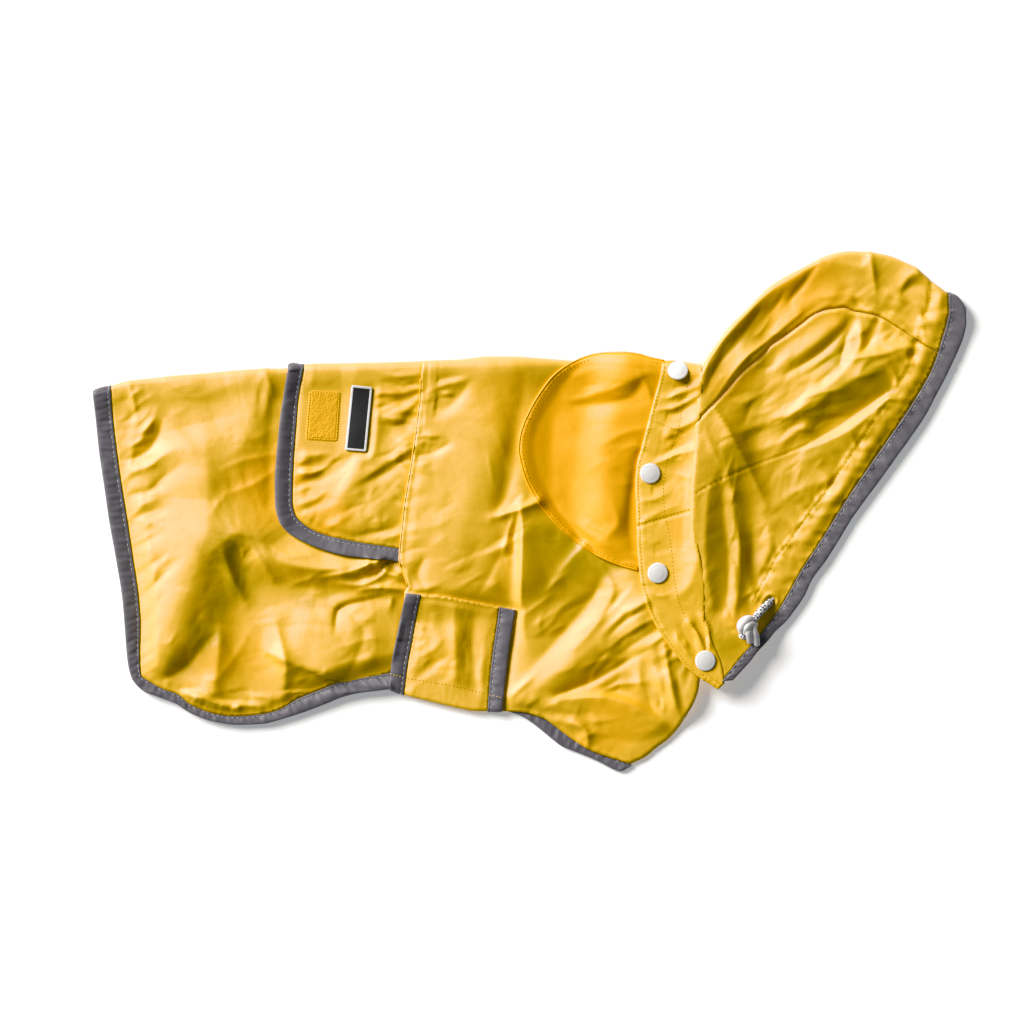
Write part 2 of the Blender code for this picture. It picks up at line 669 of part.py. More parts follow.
body_front = cut("body_front", "coated_cloth", "both", 0, front_cloth, extra=over_flap)
over_body = surface("left", 0, over_flap)
under_body = surface("right", 0, over_flap)
chest_fold = [p for p in neck if to_mm(0, 672)[1] > p[1]][:-1]
chest_turn = turn_strip(
    "chest_turn", chest_fold, -1,
    lambda x, y: over_body(x, y) - CLOTH / 2, lambda x, y: under_body(x, y) + CLOTH / 2,
)
combine(body_front, chest_turn, "UNION")
finish(body_front, "coated_cloth")

chest_strip = chest_outer + straight((628, 755), (560, 715), (510, 703))
for side in ("left", "right"):
    cut(f"chest_binding_{side}", "grey_tape", side, 0, chest_strip, less=[grown(front_cloth, SEAM)], extra=over_flap)

# ---------------------------------------------------------------- overlay flap with its patches
cut("back_flap", "coated_cloth", "both", 1, flap_cloth)
cut("back_flap_binding", "grey_tape", "both", 1, flap_tape)
for name, x0, y0, x1, y1, x2, y2, x3, y3, wall in PATCHES["rows"]:
    kind = "loop_fabric" if name == "loop_patch" else "black_rubber"
    cut(name, kind, "left", 2, straight((x0, y0), (x1, y1), (x2, y2), (x3, y3)), wall=wall)

# ---------------------------------------------------------------- collar
cut("collar_flap", "collar_cloth", "left", 1, collar_loop)
cut("collar_band", "coated_cloth", "both", 2, band_whole)

# ---------------------------------------------------------------- hood
cut("hood_centre", "coated_cloth", "both", 0, hood_cloth, less=[crown_below])
for side in ("left", "right"):
    cut(f"hood_side_{side}", "coated_cloth", side, 0, hood_cloth, less=[crown_side])
cut("hood_binding", "grey_tape", "both", 0, hood_tape)


# ---------------------------------------------------------------- belly strap
def strap_line(y_name, x_name, more=0.0):
    return straight(*zip([x + more for x in column(STRAP, x_name)], column(STRAP, y_name)))


def strap_solid(name):
    rear, front = strap_line("y_left", "rear_outer_x"), strap_line("y_right", "front_outer_x")
    turn = through(column(STRAP_TURN, "x"), column(STRAP_TURN, "y"), 9.0)
    upper_loop = rear[:-1] + turn + front[:-1][::-1]
    body_hem = [p for p in chest_cloth if p[0] < to_mm(512, 0)[0]]
    rear_hem = [p for p in hem_inner if to_mm(380, 0)[0] < p[0] < to_mm(403, 0)[0]]
    piece = cut(name, "coated_cloth", "left", 1, upper_loop, extra=over_flap)
    lower = cut("strap_lower", "coated_cloth", "right", 0, upper_loop, less=[grown(front_cloth, SEAM), grown(rear_tape, SEAM), grown(rear_cloth, SEAM), grown(chest_strip, SEAM)])
    high = surface("left", 1, over_flap)
    low = surface("right", 0)
    strip = turn_strip("strap_turn", turn, 1, lambda x, y: high(x, y) - CLOTH / 2, lambda x, y: low(x, y) + CLOTH / 2)
    combine(piece, strip, "UNION")
    combine(piece, lower, "UNION")
    return piece


rear_side = strap_line("y_left", "rear_inner_x")
front_side = strap_line("y_right", "front_inner_x")
past = straight((404, 740), (487, 740))
strips = dict(
    columns=("name", "colour", "loop"),
    rows=[
        ("strap_binding_rear", "grey_tape", straight((360, 560), (427, 560)) + [(x - SEAM, y) for x, y in rear_side] + straight((401.5, 740), (360, 740))),
        ("belly_strap", "coated_cloth", straight((427.5, 560), (506, 560)) + front_side + straight((484, 740), (402, 740)) + rear_side[::-1]),
        ("strap_binding_front", "grey_tape", straight((540, 560), (506.6, 560)) + [(x + SEAM, y) for x, y in front_side] + straight((484.5, 740), (540, 740))),
    ],
)
for name, colour, loop in strips["rows"]:
    piece = strap_solid(name)
    combine(piece, prism(loop), "INTERSECT")
    finish(piece, colour)


# ---------------------------------------------------------------- snaps
def cap(name, at, normal):
    """Domed cap with a rolled rim, on its middle and facing normal."""
    profile = [(0.0, 0.0), (SNAP_D * 0.46, 0.0), (SNAP_D * 0.5, 0.5), (SNAP_D * 0.47, 1.3), (SNAP_D * 0.3, 1.8), (0.0, SNAP_H)]
    mesh = bmesh.new()
    verts = [mesh.verts.new((r / 1000, 0, z / 1000)) for r, z in profile]
    edges = [mesh.edges.new(pair) for pair in zip(verts, verts[1:])]
    bmesh.ops.spin(mesh, geom=verts + edges, cent=(0, 0, 0), axis=(0, 0, 1), angle=2 * math.pi, steps=16, use_duplicate=False)
    bmesh.ops.remove_doubles(mesh, verts=mesh.verts, dist=0.00001)
    bmesh.ops.recalc_face_normals(mesh, faces=mesh.faces)
    if mesh.calc_volume(signed=True) < 0:
        bmesh.ops.reverse_faces(mesh, faces=mesh.faces)
    turned = Vector((0, 0, 1)).rotation_difference(Vector(normal)).to_matrix().to_4x4()
    mesh.transform(Matrix.Translation([c / 1000 for c in at]) @ turned)
    made = as_object(name, mesh)
    return finish(made, "white_snap", 40)


band_top, band_under = surface("left", 2), surface("right", 2)
band_turn = surface("both", 2)
for name, gx, gy, lean in SNAPS["rows"]:
    x, y = (float(v) for v in to_mm(gx, gy))
    reach = SNAP_D * 0.5
    ring = [(reach * math.cos(a), reach * math.sin(a)) for a in np.linspace(0, 2 * math.pi, 17)[:-1]]
    ring += [(0.5 * a, 0.5 * b) for a, b in ring] + [(0.0, 0.0)]
    for top, heights in (("snap_", band_turn), ("snap_right_", band_under)):
        if lean and top != "snap_":
            continue
        if lean:
            slope_x, slope_y = 0.0, -math.tan(math.radians(lean))
        else:
            slope_x = (heights(x + reach, y) - heights(x - reach, y)) / (2 * reach)
            slope_y = (heights(x, y + reach) - heights(x, y - reach)) / (2 * reach)
        over = [h - slope_x * a - slope_y * b for a, b in ring for h in [heights(x + a, y + b)] if h is not None]
        tilt = Vector((-slope_x, -slope_y, 1)).normalized()
        if top == "snap_":
            cap(top + name, (x, y, max(over) + SEAM / tilt.z), tilt)
        else:
            cap(top + name, (x, y, min(over) - SEAM / tilt.z), -tilt)

# ---------------------------------------------------------------- drawcord
CORD_PATH = dict(
    columns=("x", "y", "rise"),
    rows=[(768.5, 603.5, 0.25), (763, 608.5, 0.7), (757.5, 614.5, 0.5), (753.5, 619.5, 0.4)],
)
KNOT = dict(columns=("x", "y", "length", "width", "height"), rows=[(745.5, 627, 17.0, 12.0, 8.6)])
hood_top = surface("left", 0)
route = []
for gx, gy, rise in CORD_PATH["rows"]:
    x, y = (float(v) for v in to_mm(gx, gy))
    highest = max(hood_top(x + a, y + b) for a in (-2, 0, 2) for b in (-2, 0, 2))
    route.append(Vector((x, y, highest + CORD_D / 2 + SEAM + rise)) / 1000)
line = bpy.data.curves.new("drawcord", "CURVE")
line.dimensions = "3D"
line.bevel_depth = CORD_D / 2000
line.bevel_resolution = 2
line.use_fill_caps = True
spline = line.splines.new("POLY")
spline.points.add(len(route) - 1)
for point, at in zip(spline.points, route):
    point.co = (*at, 1)
line.materials.append(MATERIALS["white_cord"])
cord = bpy.data.objects.new("drawcord", line)
bpy.context.scene.collection.objects.link(cord)

for gx, gy, length, width, tall in KNOT["rows"]:
    x, y = (float(v) for v in to_mm(gx, gy))
    lead = Vector((route[-1] - route[0])[:2]).normalized()
    base = max(hood_top(x + a, y + b) for a in (-6, 0, 6) for b in (-7, 0, 7)) + SEAM
    mesh = bmesh.new()
    bmesh.ops.create_icosphere(mesh, subdivisions=2, radius=0.5)
    turned = Matrix.Rotation(math.atan2(-0.94, 0.34), 4, "Z")
    mesh.transform(Matrix.Translation((x / 1000, y / 1000, (base + tall / 2) / 1000)) @ turned @ Matrix.Diagonal((length / 1000, width / 1000, tall / 1000, 1)))
    knot = as_object("drawcord_knot", mesh)
    finish(knot, "white_cord", 60)
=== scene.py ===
"""Looks of the dog raincoat: a hooded coat in yellow coated cloth, laid flat on its right side.

The pattern is drafted on a grid of UNIT mm, x from tail to hood and y from the spine to the belly,
with the datum over the frame's origin. Heights are in mm. Each cloth piece is a thin sheet whose
near side follows a height field made from listed folds, which turns over at the spine and runs
back under the coat. Bindings, stitches, snaps and the cord are modelled on those sheets.
"""

import math

import bmesh
import bpy
import numpy as np
from mathutils import Matrix, Vector
from mathutils.geometry import delaunay_2d_cdt


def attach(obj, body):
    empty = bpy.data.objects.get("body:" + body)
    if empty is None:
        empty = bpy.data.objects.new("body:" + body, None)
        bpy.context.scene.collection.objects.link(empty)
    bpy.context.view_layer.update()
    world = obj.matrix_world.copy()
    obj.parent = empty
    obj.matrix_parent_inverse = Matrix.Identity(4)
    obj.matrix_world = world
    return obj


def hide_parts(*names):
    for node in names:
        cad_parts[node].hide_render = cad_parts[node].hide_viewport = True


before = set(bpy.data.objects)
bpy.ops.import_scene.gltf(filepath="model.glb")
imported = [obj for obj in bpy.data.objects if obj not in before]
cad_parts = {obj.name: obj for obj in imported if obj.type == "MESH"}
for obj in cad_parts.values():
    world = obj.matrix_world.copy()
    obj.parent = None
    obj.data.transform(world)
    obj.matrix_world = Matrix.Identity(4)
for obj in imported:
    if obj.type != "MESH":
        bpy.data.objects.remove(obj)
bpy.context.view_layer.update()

# ---------------------------------------------------------------- sizes, as in the part
UNIT = 0.625
DATUM_X = 529.986
DATUM_Y = 511.923
CLOTH = 1.2
SEAM = 0.3
LAYER = CLOTH + SEAM
BETWEEN = 0.4
SWELL = 2.4
SWELL_REACH = 11.0
SNAP_D = 12.8
SNAP_H = 2.0
CORD_D = 4.6
SHELL = 0.5             # mm, real thickness of the cloth as it is drawn
FOLD_LEN = 7.6          # mm of sheet that turns over at the spine
GROUND = 0.6            # mm that the lower side's cloth lies above the surface, on its bindings

SPINE_ROWS = [
    (80, 395, 0), (93, 391, 0), (130, 381, 0), (190, 376, 0), (250, 371, 0), (284, 369, 0),
    (296, 364.5, 1), (350, 363.5, 1), (400, 362.5, 1), (440, 361, 1), (520, 362, 0),
    (600, 362, 0), (640, 362, 1), (664, 360.5, 2), (690, 363, 2), (701, 367, 1),
    (709, 357, 0), (725, 333, 0), (745, 312.5, 0), (770, 288, 0), (800, 270, 0),
    (825, 257, 0), (850, 251.5, 0), (885, 255, 0), (915, 268, 0), (945, 291, 0),
    (957, 296, 0), (967, 309, 0), (985, 330, 0),
]


def along(xs, ys, at):
    """Smooth curve through rising xs that never overshoots its rows."""
    xs, ys, at = np.asarray(xs, float), np.asarray(ys, float), np.asarray(at, float)
    step, rise = np.diff(xs), np.diff(ys)
    slope = rise / np.where(step == 0, 1.0, step)
    bend = np.zeros(len(xs))
    bend[0], bend[-1] = slope[0], slope[-1]
    for i in range(1, len(xs) - 1):
        if slope[i - 1] * slope[i] > 0:
            a, b = 2 * step[i] + step[i - 1], step[i] + 2 * step[i - 1]
            bend[i] = (a + b) / (a / slope[i - 1] + b / slope[i])
    i = np.clip(np.searchsorted(xs, at) - 1, 0, len(step) - 1)
    t = np.clip((at - xs[i]) / step[i], 0, 1)
    h = step[i]
    return (
        ys[i] * (1 + 2 * t) * (1 - t) ** 2 + bend[i] * h * t * (1 - t) ** 2
        + ys[i + 1] * t * t * (3 - 2 * t) + bend[i + 1] * h * t * t * (t - 1)
    )


SP = np.array(SPINE_ROWS, float)
FOLD_HALF = 0.5 * (CLOTH + BETWEEN + SWELL)


def turn_px(x):
    """Grid level at which the cloth starts to turn over at the spine."""
    crest = along(SP[:, 0], SP[:, 1], x)
    return crest + (FOLD_HALF + 0.5 * CLOTH + LAYER * np.interp(x, SP[:, 0], SP[:, 2])) / UNIT


def mm_x(x):
    return (np.asarray(x, float) - DATUM_X) * UNIT


def mm_y(y):
    return (DATUM_Y - np.asarray(y, float)) * UNIT


def px_x(x):
    return np.asarray(x, float) / UNIT + DATUM_X


def px_y(y):
    return DATUM_Y - np.asarray(y, float) / UNIT


def curve(rows, step=3.0, closed=False):
    """Points `step` grid units apart on a smooth curve through the rows, every column carried along."""
    rows = np.array(rows, float)
    if closed:
        rows = np.vstack([rows, rows[:1]])
    run = np.concatenate([[0], np.cumsum(np.hypot(*np.diff(rows[:, :2], axis=0).T))])
    count = max(2, int(round(run[-1] / step)) + 1)
    at = np.linspace(0, run[-1], count)
    out = np.stack([along(run, rows[:, k], at) for k in range(rows.shape[1])], axis=1)
    return out[:-1] if closed else out


def smax(a, b, k=0.8):
    h = np.clip(0.5 + 0.5 * (a - b) / k, 0, 1)
    return b + (a - b) * h + k * h * (1 - h)


def smin(a, b, k=0.8):
    return -smax(-a, -b, k)


def ease(t):
    t = np.clip(t, 0, 1)
    return t * t * (3 - 2 * t)


def fade(d, full, gone):
    return ease((gone - d) / (gone - full))


# ---------------------------------------------------------------- the grid of heights
GX0, GX1, GY0, GY1 = 78, 984, 232, 788
X, Y = np.meshgrid(np.arange(GX0, GX1 + 1, dtype=float), np.arange(GY0, GY1 + 1, dtype=float))


def window(pts, margin):
    """Slices of the grid around some points."""
    x0, x1 = pts[:, 0].min() - margin, pts[:, 0].max() + margin
    y0, y1 = pts[:, 1].min() - margin, pts[:, 1].max() + margin
    i0, i1 = max(0, int(x0 - GX0)), min(X.shape[1], int(x1 - GX0) + 2)
    j0, j1 = max(0, int(y0 - GY0)), min(X.shape[0], int(y1 - GY0) + 2)
    return slice(j0, max(j1, j0 + 1)), slice(i0, max(i1, i0 + 1))


def near_line(pts, px, py):
    """For each point: distance to the polyline, the place along it, and the sine of its side (right > 0)."""
    best = np.full(px.shape, 1e9)
    place, side = np.zeros(px.shape), np.zeros(px.shape)
    for k in range(len(pts) - 1):
        ax, ay = pts[k, 0], pts[k, 1]
        dx, dy = pts[k + 1, 0] - ax, pts[k + 1, 1] - ay
        size = dx * dx + dy * dy + 1e-12
        t = np.clip(((px - ax) * dx + (py - ay) * dy) / size, 0, 1)
        ox, oy = px - ax - t * dx, py - ay - t * dy
        d = np.hypot(ox, oy)
        nearer = d < best
        sine = (dx * oy - dy * ox) / (math.sqrt(size) * (d + 1e-9))
        best = np.where(nearer, d, best)
        place = np.where(nearer, k + t, place)
        side = np.where(nearer, sine, side)
    return best, place, side


def distance(rows, margin=60, step=6.0, closed=False):
    """Distance of the grid's points to a line, in grid units, exact up to the margin."""
    pts = curve(rows, step, closed)
    if closed:
        pts = np.vstack([pts, pts[:1]])
    out = np.full(X.shape, float(margin))
    where = window(pts, margin)
    best, _, _ = near_line(pts[:, :2], X[where], Y[where])
    out[where] = np.minimum(best, margin)
    return out


def inside(pts, px, py):
    """Whether points lie inside a closed loop."""
    pts = np.asarray(pts, float)
    hit = np.zeros(px.shape, bool)
    for k in range(len(pts)):
        x0, y0 = pts[k - 1][:2]
        x1, y1 = pts[k][:2]
        if y0 == y1:
            continue
        cross = (y0 > py) != (y1 > py)
        hit ^= cross & (px < (x1 - x0) * (py - y0) / (y1 - y0) + x0)
    return hit


def ridge(field, rows, e=1.5, p=1.6, step=5.0):
    """Adds a soft ridge (or a trough, where the height is negative) along rows of
    (x, y, height mm, reach to the left, reach to the right), sides as seen when going along it."""
    pts = curve(rows, step)
    reach = float(max(pts[:, 3].max(), pts[:, 4].max()))
    where = window(pts, 3.2 * reach + 2)
    d, place, side = near_line(pts[:, :2], X[where], Y[where])
    at = np.arange(len(pts))
    height = np.interp(place, at, pts[:, 2])
    right = 0.5 + 0.5 * side
    width = np.interp(place, at, pts[:, 3]) * (1 - right) + np.interp(place, at, pts[:, 4]) * right
    u = np.sqrt(d * d + e * e) - e
    field[where] += height * np.exp(-((u / width) ** p))


def ridges(rows_list, start=0.0):
    field = np.full(X.shape, float(start))
    for entry in rows_list:
        rows = entry[0]
        ridge(field, rows, *(entry[1:] if len(entry) > 1 else ()))
    return field


def blur(field, sigma):
    n = max(1, int(round(3 * sigma)))
    k = np.exp(-0.5 * (np.arange(-n, n + 1) / sigma) ** 2)
    k /= k.sum()
    for axis in (0, 1):
        pad = [(n, n) if a == axis else (0, 0) for a in (0, 1)]
        wide = np.pad(field, pad, mode="edge")
        total = np.zeros(field.shape)
        for i, w in enumerate(k):
            cut = [slice(None)] * 2
            cut[axis] = slice(i, i + field.shape[axis])
            total += w * wide[tuple(cut)]
        field = total
    return field


def noise(size, seed, px=None, py=None):
    """Smooth gradient noise with features of about `size` grid units, within about -0.7 to 0.7."""
    px = X if px is None else px
    py = Y if py is None else py
    rng = np.random.RandomState(seed)
    angle = rng.rand(128, 128) * 2 * np.pi
    cx, cy = np.cos(angle), np.sin(angle)
    u, v = px / size, py / size
    i, j = np.floor(u).astype(int), np.floor(v).astype(int)
    fu, fv = u - i, v - j
    su, sv = fu ** 3 * (fu * (6 * fu - 15) + 10), fv ** 3 * (fv * (6 * fv - 15) + 10)

    def corner(a, b):
        gi, gj = (i + a) % 128, (j + b) % 128
        return cx[gj, gi] * (fu - a) + cy[gj, gi] * (fv - b)

    top = corner(0, 0) * (1 - su) + corner(1, 0) * su
    low = corner(0, 1) * (1 - su) + corner(1, 1) * su
    return top * (1 - sv) + low * sv


def crumple(size, seed, stretch=1.0, angle=0.0):
    """Small sharp creases between flatter facets, about 0 to 1."""
    c, s = math.cos(angle), math.sin(angle)
    wx, wy = noise(size * 2.2, seed + 7) * size * 0.9, noise(size * 2.2, seed + 8) * size * 0.9
    u, v = (X + wx) * c + (Y + wy) * s, (-(X + wx) * s + (Y + wy) * c) * stretch
    a = np.abs(noise(size, seed, u, v))
    b = np.abs(noise(size * 0.53, seed + 3, u, v))
    return 1.6 * a + 0.7 * b


def puckers(field, line, seed, every, length, height, width, slant=0.0, inward=1.0, keep=0.8):
    """Short uneven gathers that start at a stitched line and run into the cloth on one side."""
    rng = np.random.RandomState(seed)
    pts = curve(line, 1.0)
    n, i = len(pts), 2.0
    while i < n - 2:
        k = int(i)
        if rng.rand() < keep:
            d = pts[min(k + 2, n - 1), :2] - pts[max(k - 2, 0), :2]
            d /= np.hypot(*d) + 1e-9
            normal = np.array([-d[1], d[0]]) * inward
            turn = slant + rng.uniform(-0.35, 0.35)
            go = normal * math.cos(turn) + d * math.sin(turn) * inward
            size = length * rng.uniform(0.45, 1.5)
            tall = height * rng.uniform(0.35, 1.25) * (1 if rng.rand() < 0.6 else -0.9)
            w = width * rng.uniform(0.7, 1.4)
            p0 = pts[k, :2] - normal * 1.0
            bend = rng.uniform(-0.12, 0.12) * size
            p1 = p0 + go * size * 0.45 + d * bend
            p2 = p0 + go * size
            ridge(field, [
                (p0[0], p0[1], tall, w, w), (p1[0], p1[1], tall * 0.75, w * 1.25, w * 1.25),
                (p2[0], p2[1], 0.0, w * 1.7, w * 1.7)], 0.7, 1.5, 3.0)
        i += every * rng.uniform(0.55, 1.45)


def creases(field, rows, seed):
    """Small sharp creases scattered round listed spots: rows of x, y, reach across, reach down,
    angle (clockwise from the x axis), count, length, height mm and reach of each crease."""
    rng = np.random.RandomState(seed)
    for x, y, across, down, angle, count, length, height, width in rows:
        for _ in range(count):
            turn, out = rng.uniform(0, 2 * math.pi), math.sqrt(rng.rand())
            cx, cy = x + across * out * math.cos(turn), y + down * out * math.sin(turn)
            lean = math.radians(angle + rng.normal(0, 13))
            size = length * rng.uniform(0.5, 1.5)
            tall = height * rng.uniform(0.35, 1.2) * (1 if rng.rand() < 0.55 else -0.9)
            thin, wide = width * rng.uniform(0.6, 1.1), width * rng.uniform(1.2, 2.8)
            if rng.rand() < 0.5:
                thin, wide = wide, thin
            dx, dy, bend = math.cos(lean), math.sin(lean), rng.uniform(-0.13, 0.13) * size
            peak = rng.uniform(-0.2, 0.2) * size
            ridge(field, [
                (cx - dx * size / 2, cy - dy * size / 2, 0.0, thin, wide),
                (cx + dx * peak - dy * bend, cy + dy * peak + dx * bend, tall, thin, wide),
                (cx + dx * size / 2, cy + dy * size / 2, 0.0, thin, wide)], 0.4, 1.15, 3.0)


def look_up(field, x, y):
    """The field's height over points in mm, by a cubic through the grid."""
    u = np.clip(px_x(x) - GX0, 1.001, field.shape[1] - 3.001)
    v = np.clip(px_y(y) - GY0, 1.001, field.shape[0] - 3.001)
    i, j = np.floor(u).astype(int), np.floor(v).astype(int)
    fu, fv = u - i, v - j

    def weights(t):
        return (
            -0.5 * t + t * t - 0.5 * t ** 3, 1 - 2.5 * t * t + 1.5 * t ** 3,
            0.5 * t + 2 * t * t - 1.5 * t ** 3, -0.5 * t * t + 0.5 * t ** 3)

    wu, wv = weights(fu), weights(fv)
    total = np.zeros(np.shape(u))
    for b in range(4):
        for a in range(4):
            total = total + wu[a] * wv[b] * field[j + b - 1, i + a - 1]
    return total


# ---------------------------------------------------------------- outlines of the pieces
# Tail and rear hem: the binding's inner edge and outer edge, side by side.
TAIL_TAPE = [
    (111, 389, 93, 394), (112, 410, 95, 413), (117, 455, 99, 452), (120.5, 480, 103.5, 482),
    (127, 520, 109, 520), (133, 560, 116.2, 560), (138.5, 598, 122.5, 600), (140.3, 625, 125, 630),
    (139.5, 655, 127.3, 660), (140.5, 674, 131.5, 678), (150, 682, 143, 691), (165, 690, 161, 698),
    (177, 694, 176, 704), (188, 703, 186.5, 711), (200, 709, 200, 717.5), (215, 714, 215, 722),
    (235, 716.5, 237, 725), (260, 714.5, 263, 724), (276, 711, 281, 719.5), (300, 698, 306, 711.5),
    (320, 690, 327, 703.5), (335, 684, 343, 697), (350, 680, 360, 693), (368, 677, 380, 690.5),
    (384, 674, 394, 688.5), (398, 671, 404, 686),
]
FLAP_TAPE = [
    (304, 369, 288, 370), (301, 384, 285.5, 385), (298, 402, 282.8, 402), (296.5, 422, 280, 421),
    (295, 441, 278, 441), (293.5, 461, 276.2, 461), (292.6, 482, 275, 482), (292.3, 500, 275.3, 503),
    (295, 514, 279, 520), (305, 525, 287.5, 532), (315, 531, 301, 540.5), (330, 536.3, 322, 549.5),
    (347, 540, 344, 555.5), (366, 543.5, 364.5, 558), (386, 546.5, 385, 560), (404, 549, 403.5, 562.5),
]
FRONT_EDGE = [
    (422.5, 367), (421, 380), (420, 400), (417.5, 420), (415, 440), (411, 467), (407, 490),
    (404, 510), (402, 530), (400, 550), (399.5, 560), (402, 570), (406, 580), (408, 586),
]
HEM_FRONT = [
    (404, 672), (430, 680), (455, 686), (480, 694), (502, 711), (520, 712), (545, 716), (555, 722), (565, 729.5),
    (580, 740), (600, 751.5), (615, 758), (631, 764),
]
CHEST_FOLD = [
    (631, 764), (645, 757.5), (656, 748.5), (670, 738), (680, 726), (688, 713), (695, 700), (699, 686),
    (700, 676),
]
NECK = [(700, 676), (697, 655), (688, 630), (678, 600), (669, 540), (665, 490), (673, 445), (686, 395), (690, 369)]
CHEST_TAPE = [
    (506, 703, 508, 711.5), (520, 711, 521, 716), (532, 713, 532, 723), (545, 716, 544, 732.5),
    (556, 722.5, 553, 740), (566, 730, 562, 746.5), (580, 740, 575.5, 752), (592, 747.5, 588, 757),
    (604, 753.5, 600, 762.5), (615, 758, 613.5, 769.5), (624, 761.5, 621, 771.5), (631, 764, 632, 766),
]
DISC = [
    (664, 361), (650, 358), (640, 355), (625, 353), (608, 353), (595, 354.5), (583, 358), (572, 363),
    (562, 369), (552, 377.5), (544.5, 387), (537, 398), (530, 410.5), (524, 424), (520, 438), (519, 450),
    (521, 462), (524.5, 475), (530, 488), (537, 500), (545, 510.5), (554, 521), (565, 532), (577, 542),
    (590, 551), (605, 559), (620, 565), (638, 570),
]
BAND_TAPE = [
    (661.5, 366, 704.5, 369), (660, 376, 702.5, 381), (655, 395, 700.5, 402), (648, 421, 698.5, 428),
    (642, 445, 697.2, 452), (636.5, 465, 695.5, 471), (635, 485, 694.2, 489), (636, 510, 693.8, 511),
    (637, 545, 695.5, 543), (640, 580, 703, 575), (645, 601, 704, 597), (653, 621, 704.5, 615),
    (663, 638, 708, 629), (675, 654, 712, 641), (688, 669, 717, 652), (700, 678, 721, 663),
    (709, 684, 723, 673), (717.5, 689.5, 724, 683),
]
HOOD_TAPE = [
    (948.5, 300, 966, 313), (949, 311, 966.3, 323), (946.5, 325, 964, 335.5), (942, 340, 959.5, 348),
    (938, 354, 953.5, 361), (932, 370, 946, 377), (924, 385, 937, 394), (912, 404.5, 926.5, 414),
    (898, 425.5, 911.5, 436.5), (883, 447, 896, 458), (868, 468.5, 881, 479), (853, 490.5, 866.5, 498.5),
    (838.5, 513, 851.5, 519.5), (825, 534.5, 838.5, 541), (812.5, 553.5, 825.5, 561.5), (800, 573, 812, 580), (790.5, 590.5, 804.5, 596),
    (782, 605, 795, 610), (773, 618, 787.5, 620), (763.5, 630, 775, 632), (754, 641.5, 768, 640.5), (744.5, 652.5, 757, 652),
    (736.5, 662, 750.5, 660.5), (729, 671.5, 740, 672), (721, 681.5, 732.5, 680),
]
CASING = [
    (931, 284), (930, 300), (925, 315), (920, 328), (917, 340), (912, 355), (907, 370), (898, 385),
    (889, 400), (880, 412), (870, 425), (861, 440), (850, 456), (838, 474), (828, 490), (815, 506),
    (804, 521), (794, 535), (784, 548), (775, 560), (769, 572), (761, 586), (753, 601),
]
CROWN = [
    (690, 428), (700, 417.5), (715, 403), (727, 390.5), (740, 375.5), (750, 366.5), (762, 357),
    (770, 347), (785, 336.5), (800, 325.5), (815, 314.5), (829, 309.5), (845, 308), (853, 311),
    (865, 313), (880, 317), (895, 325.5), (910, 335), (922, 343.5), (938, 352.5), (960, 364),
]
DART = [(696, 493), (708, 486), (720, 480), (743, 470), (762, 462.5), (785, 454), (809, 444)]
STRAP_LEFT = [(406, 593, 421, 594.5), (400.5, 618, 416, 618), (396, 640, 412, 640), (392, 660, 408, 661), (388.5, 689, 403.5, 695)]
STRAP_RIGHT = [(499.5, 607, 516, 610), (496.5, 628, 512.5, 630), (493.5, 648, 509.5, 650), (491, 668, 507, 670), (487.5, 711, 502.5, 711.5)]
STRAP_TOP = [(406, 593), (421, 594.5), (440, 596), (460, 599.5), (480, 603), (500, 607), (516, 610)]
STRAP_LOW = [(388.5, 689), (403.5, 695), (430, 702), (460, 709), (475, 711.5), (487.5, 711.5), (502.5, 711.5)]

flap_inner = curve([(r[0], r[1]) for r in FLAP_TAPE], 4)
flap_outer = curve([(r[2], r[3]) for r in FLAP_TAPE], 4)
flap_loop = np.vstack([flap_outer, [(430, 563), (430, 340), (288, 340)]])
front_edge = np.vstack([[(423, 335)], curve(FRONT_EDGE, 4), [(405, 590), (404, 672)]])
front_loop = np.vstack([
    [(423, 335)], curve(FRONT_EDGE, 4), [(405, 590)], curve(HEM_FRONT, 4), curve(CHEST_FOLD, 4)[1:],
    curve(NECK, 5)[1:], [(690, 335)]])
disc_loop = np.vstack([curve(DISC, 4), [(662, 540), (660, 480), (665, 430), (676, 361)]])
band_rear = curve([(r[0], r[1]) for r in BAND_TAPE], 4)
band_front = curve([(r[2], r[3]) for r in BAND_TAPE], 4)
band_loop = np.vstack([[(662, 335)], band_rear, band_front[::-1], [(701, 335)]])

# ---------------------------------------------------------------- level of the flat layers
TURN = turn_px(X)
BELOW = np.maximum(0, (Y - TURN) * UNIT)


def box_away(x0, x1, y1):
    return UNIT * np.hypot(np.maximum(0, np.maximum(x0 - X, X - x1)), np.maximum(0, Y - y1))


FE = np.array([(340, 423), (362, 422), (400, 420), (440, 415), (490, 407), (530, 402), (560, 399.5), (588, 404), (640, 404), (700, 404)], float)
PAST = (X - np.interp(Y, FE[:, 0], FE[:, 1])) * UNIT
BELOW_FLAP = np.maximum(0, (Y - 561) * UNIT)
band_mid = np.array([(682.5, 335), (682, 363.5), (676.5, 397.5), (669, 437.5), (663, 480), (662, 530), (664.5, 577.5), (673, 613), (690, 645), (704.5, 665.5), (718, 685)])
band_away = distance(band_mid, 130, 12) * UNIT
BAND_LIFT = 2 * LAYER + SNAP_H + SEAM + 0.2
behind_band = X < np.interp(Y, band_mid[:, 1], band_mid[:, 0])
band_lift = BAND_LIFT * np.where(behind_band, fade(band_away - 16, 3, 24), fade(band_away - 16, 17, 42))
flap_lift = LAYER * fade(box_away(275, 424, 561), 17, 38)
stack = np.hypot(np.where(PAST > 0, PAST, np.maximum(0, -PAST - 17)), BELOW_FLAP)
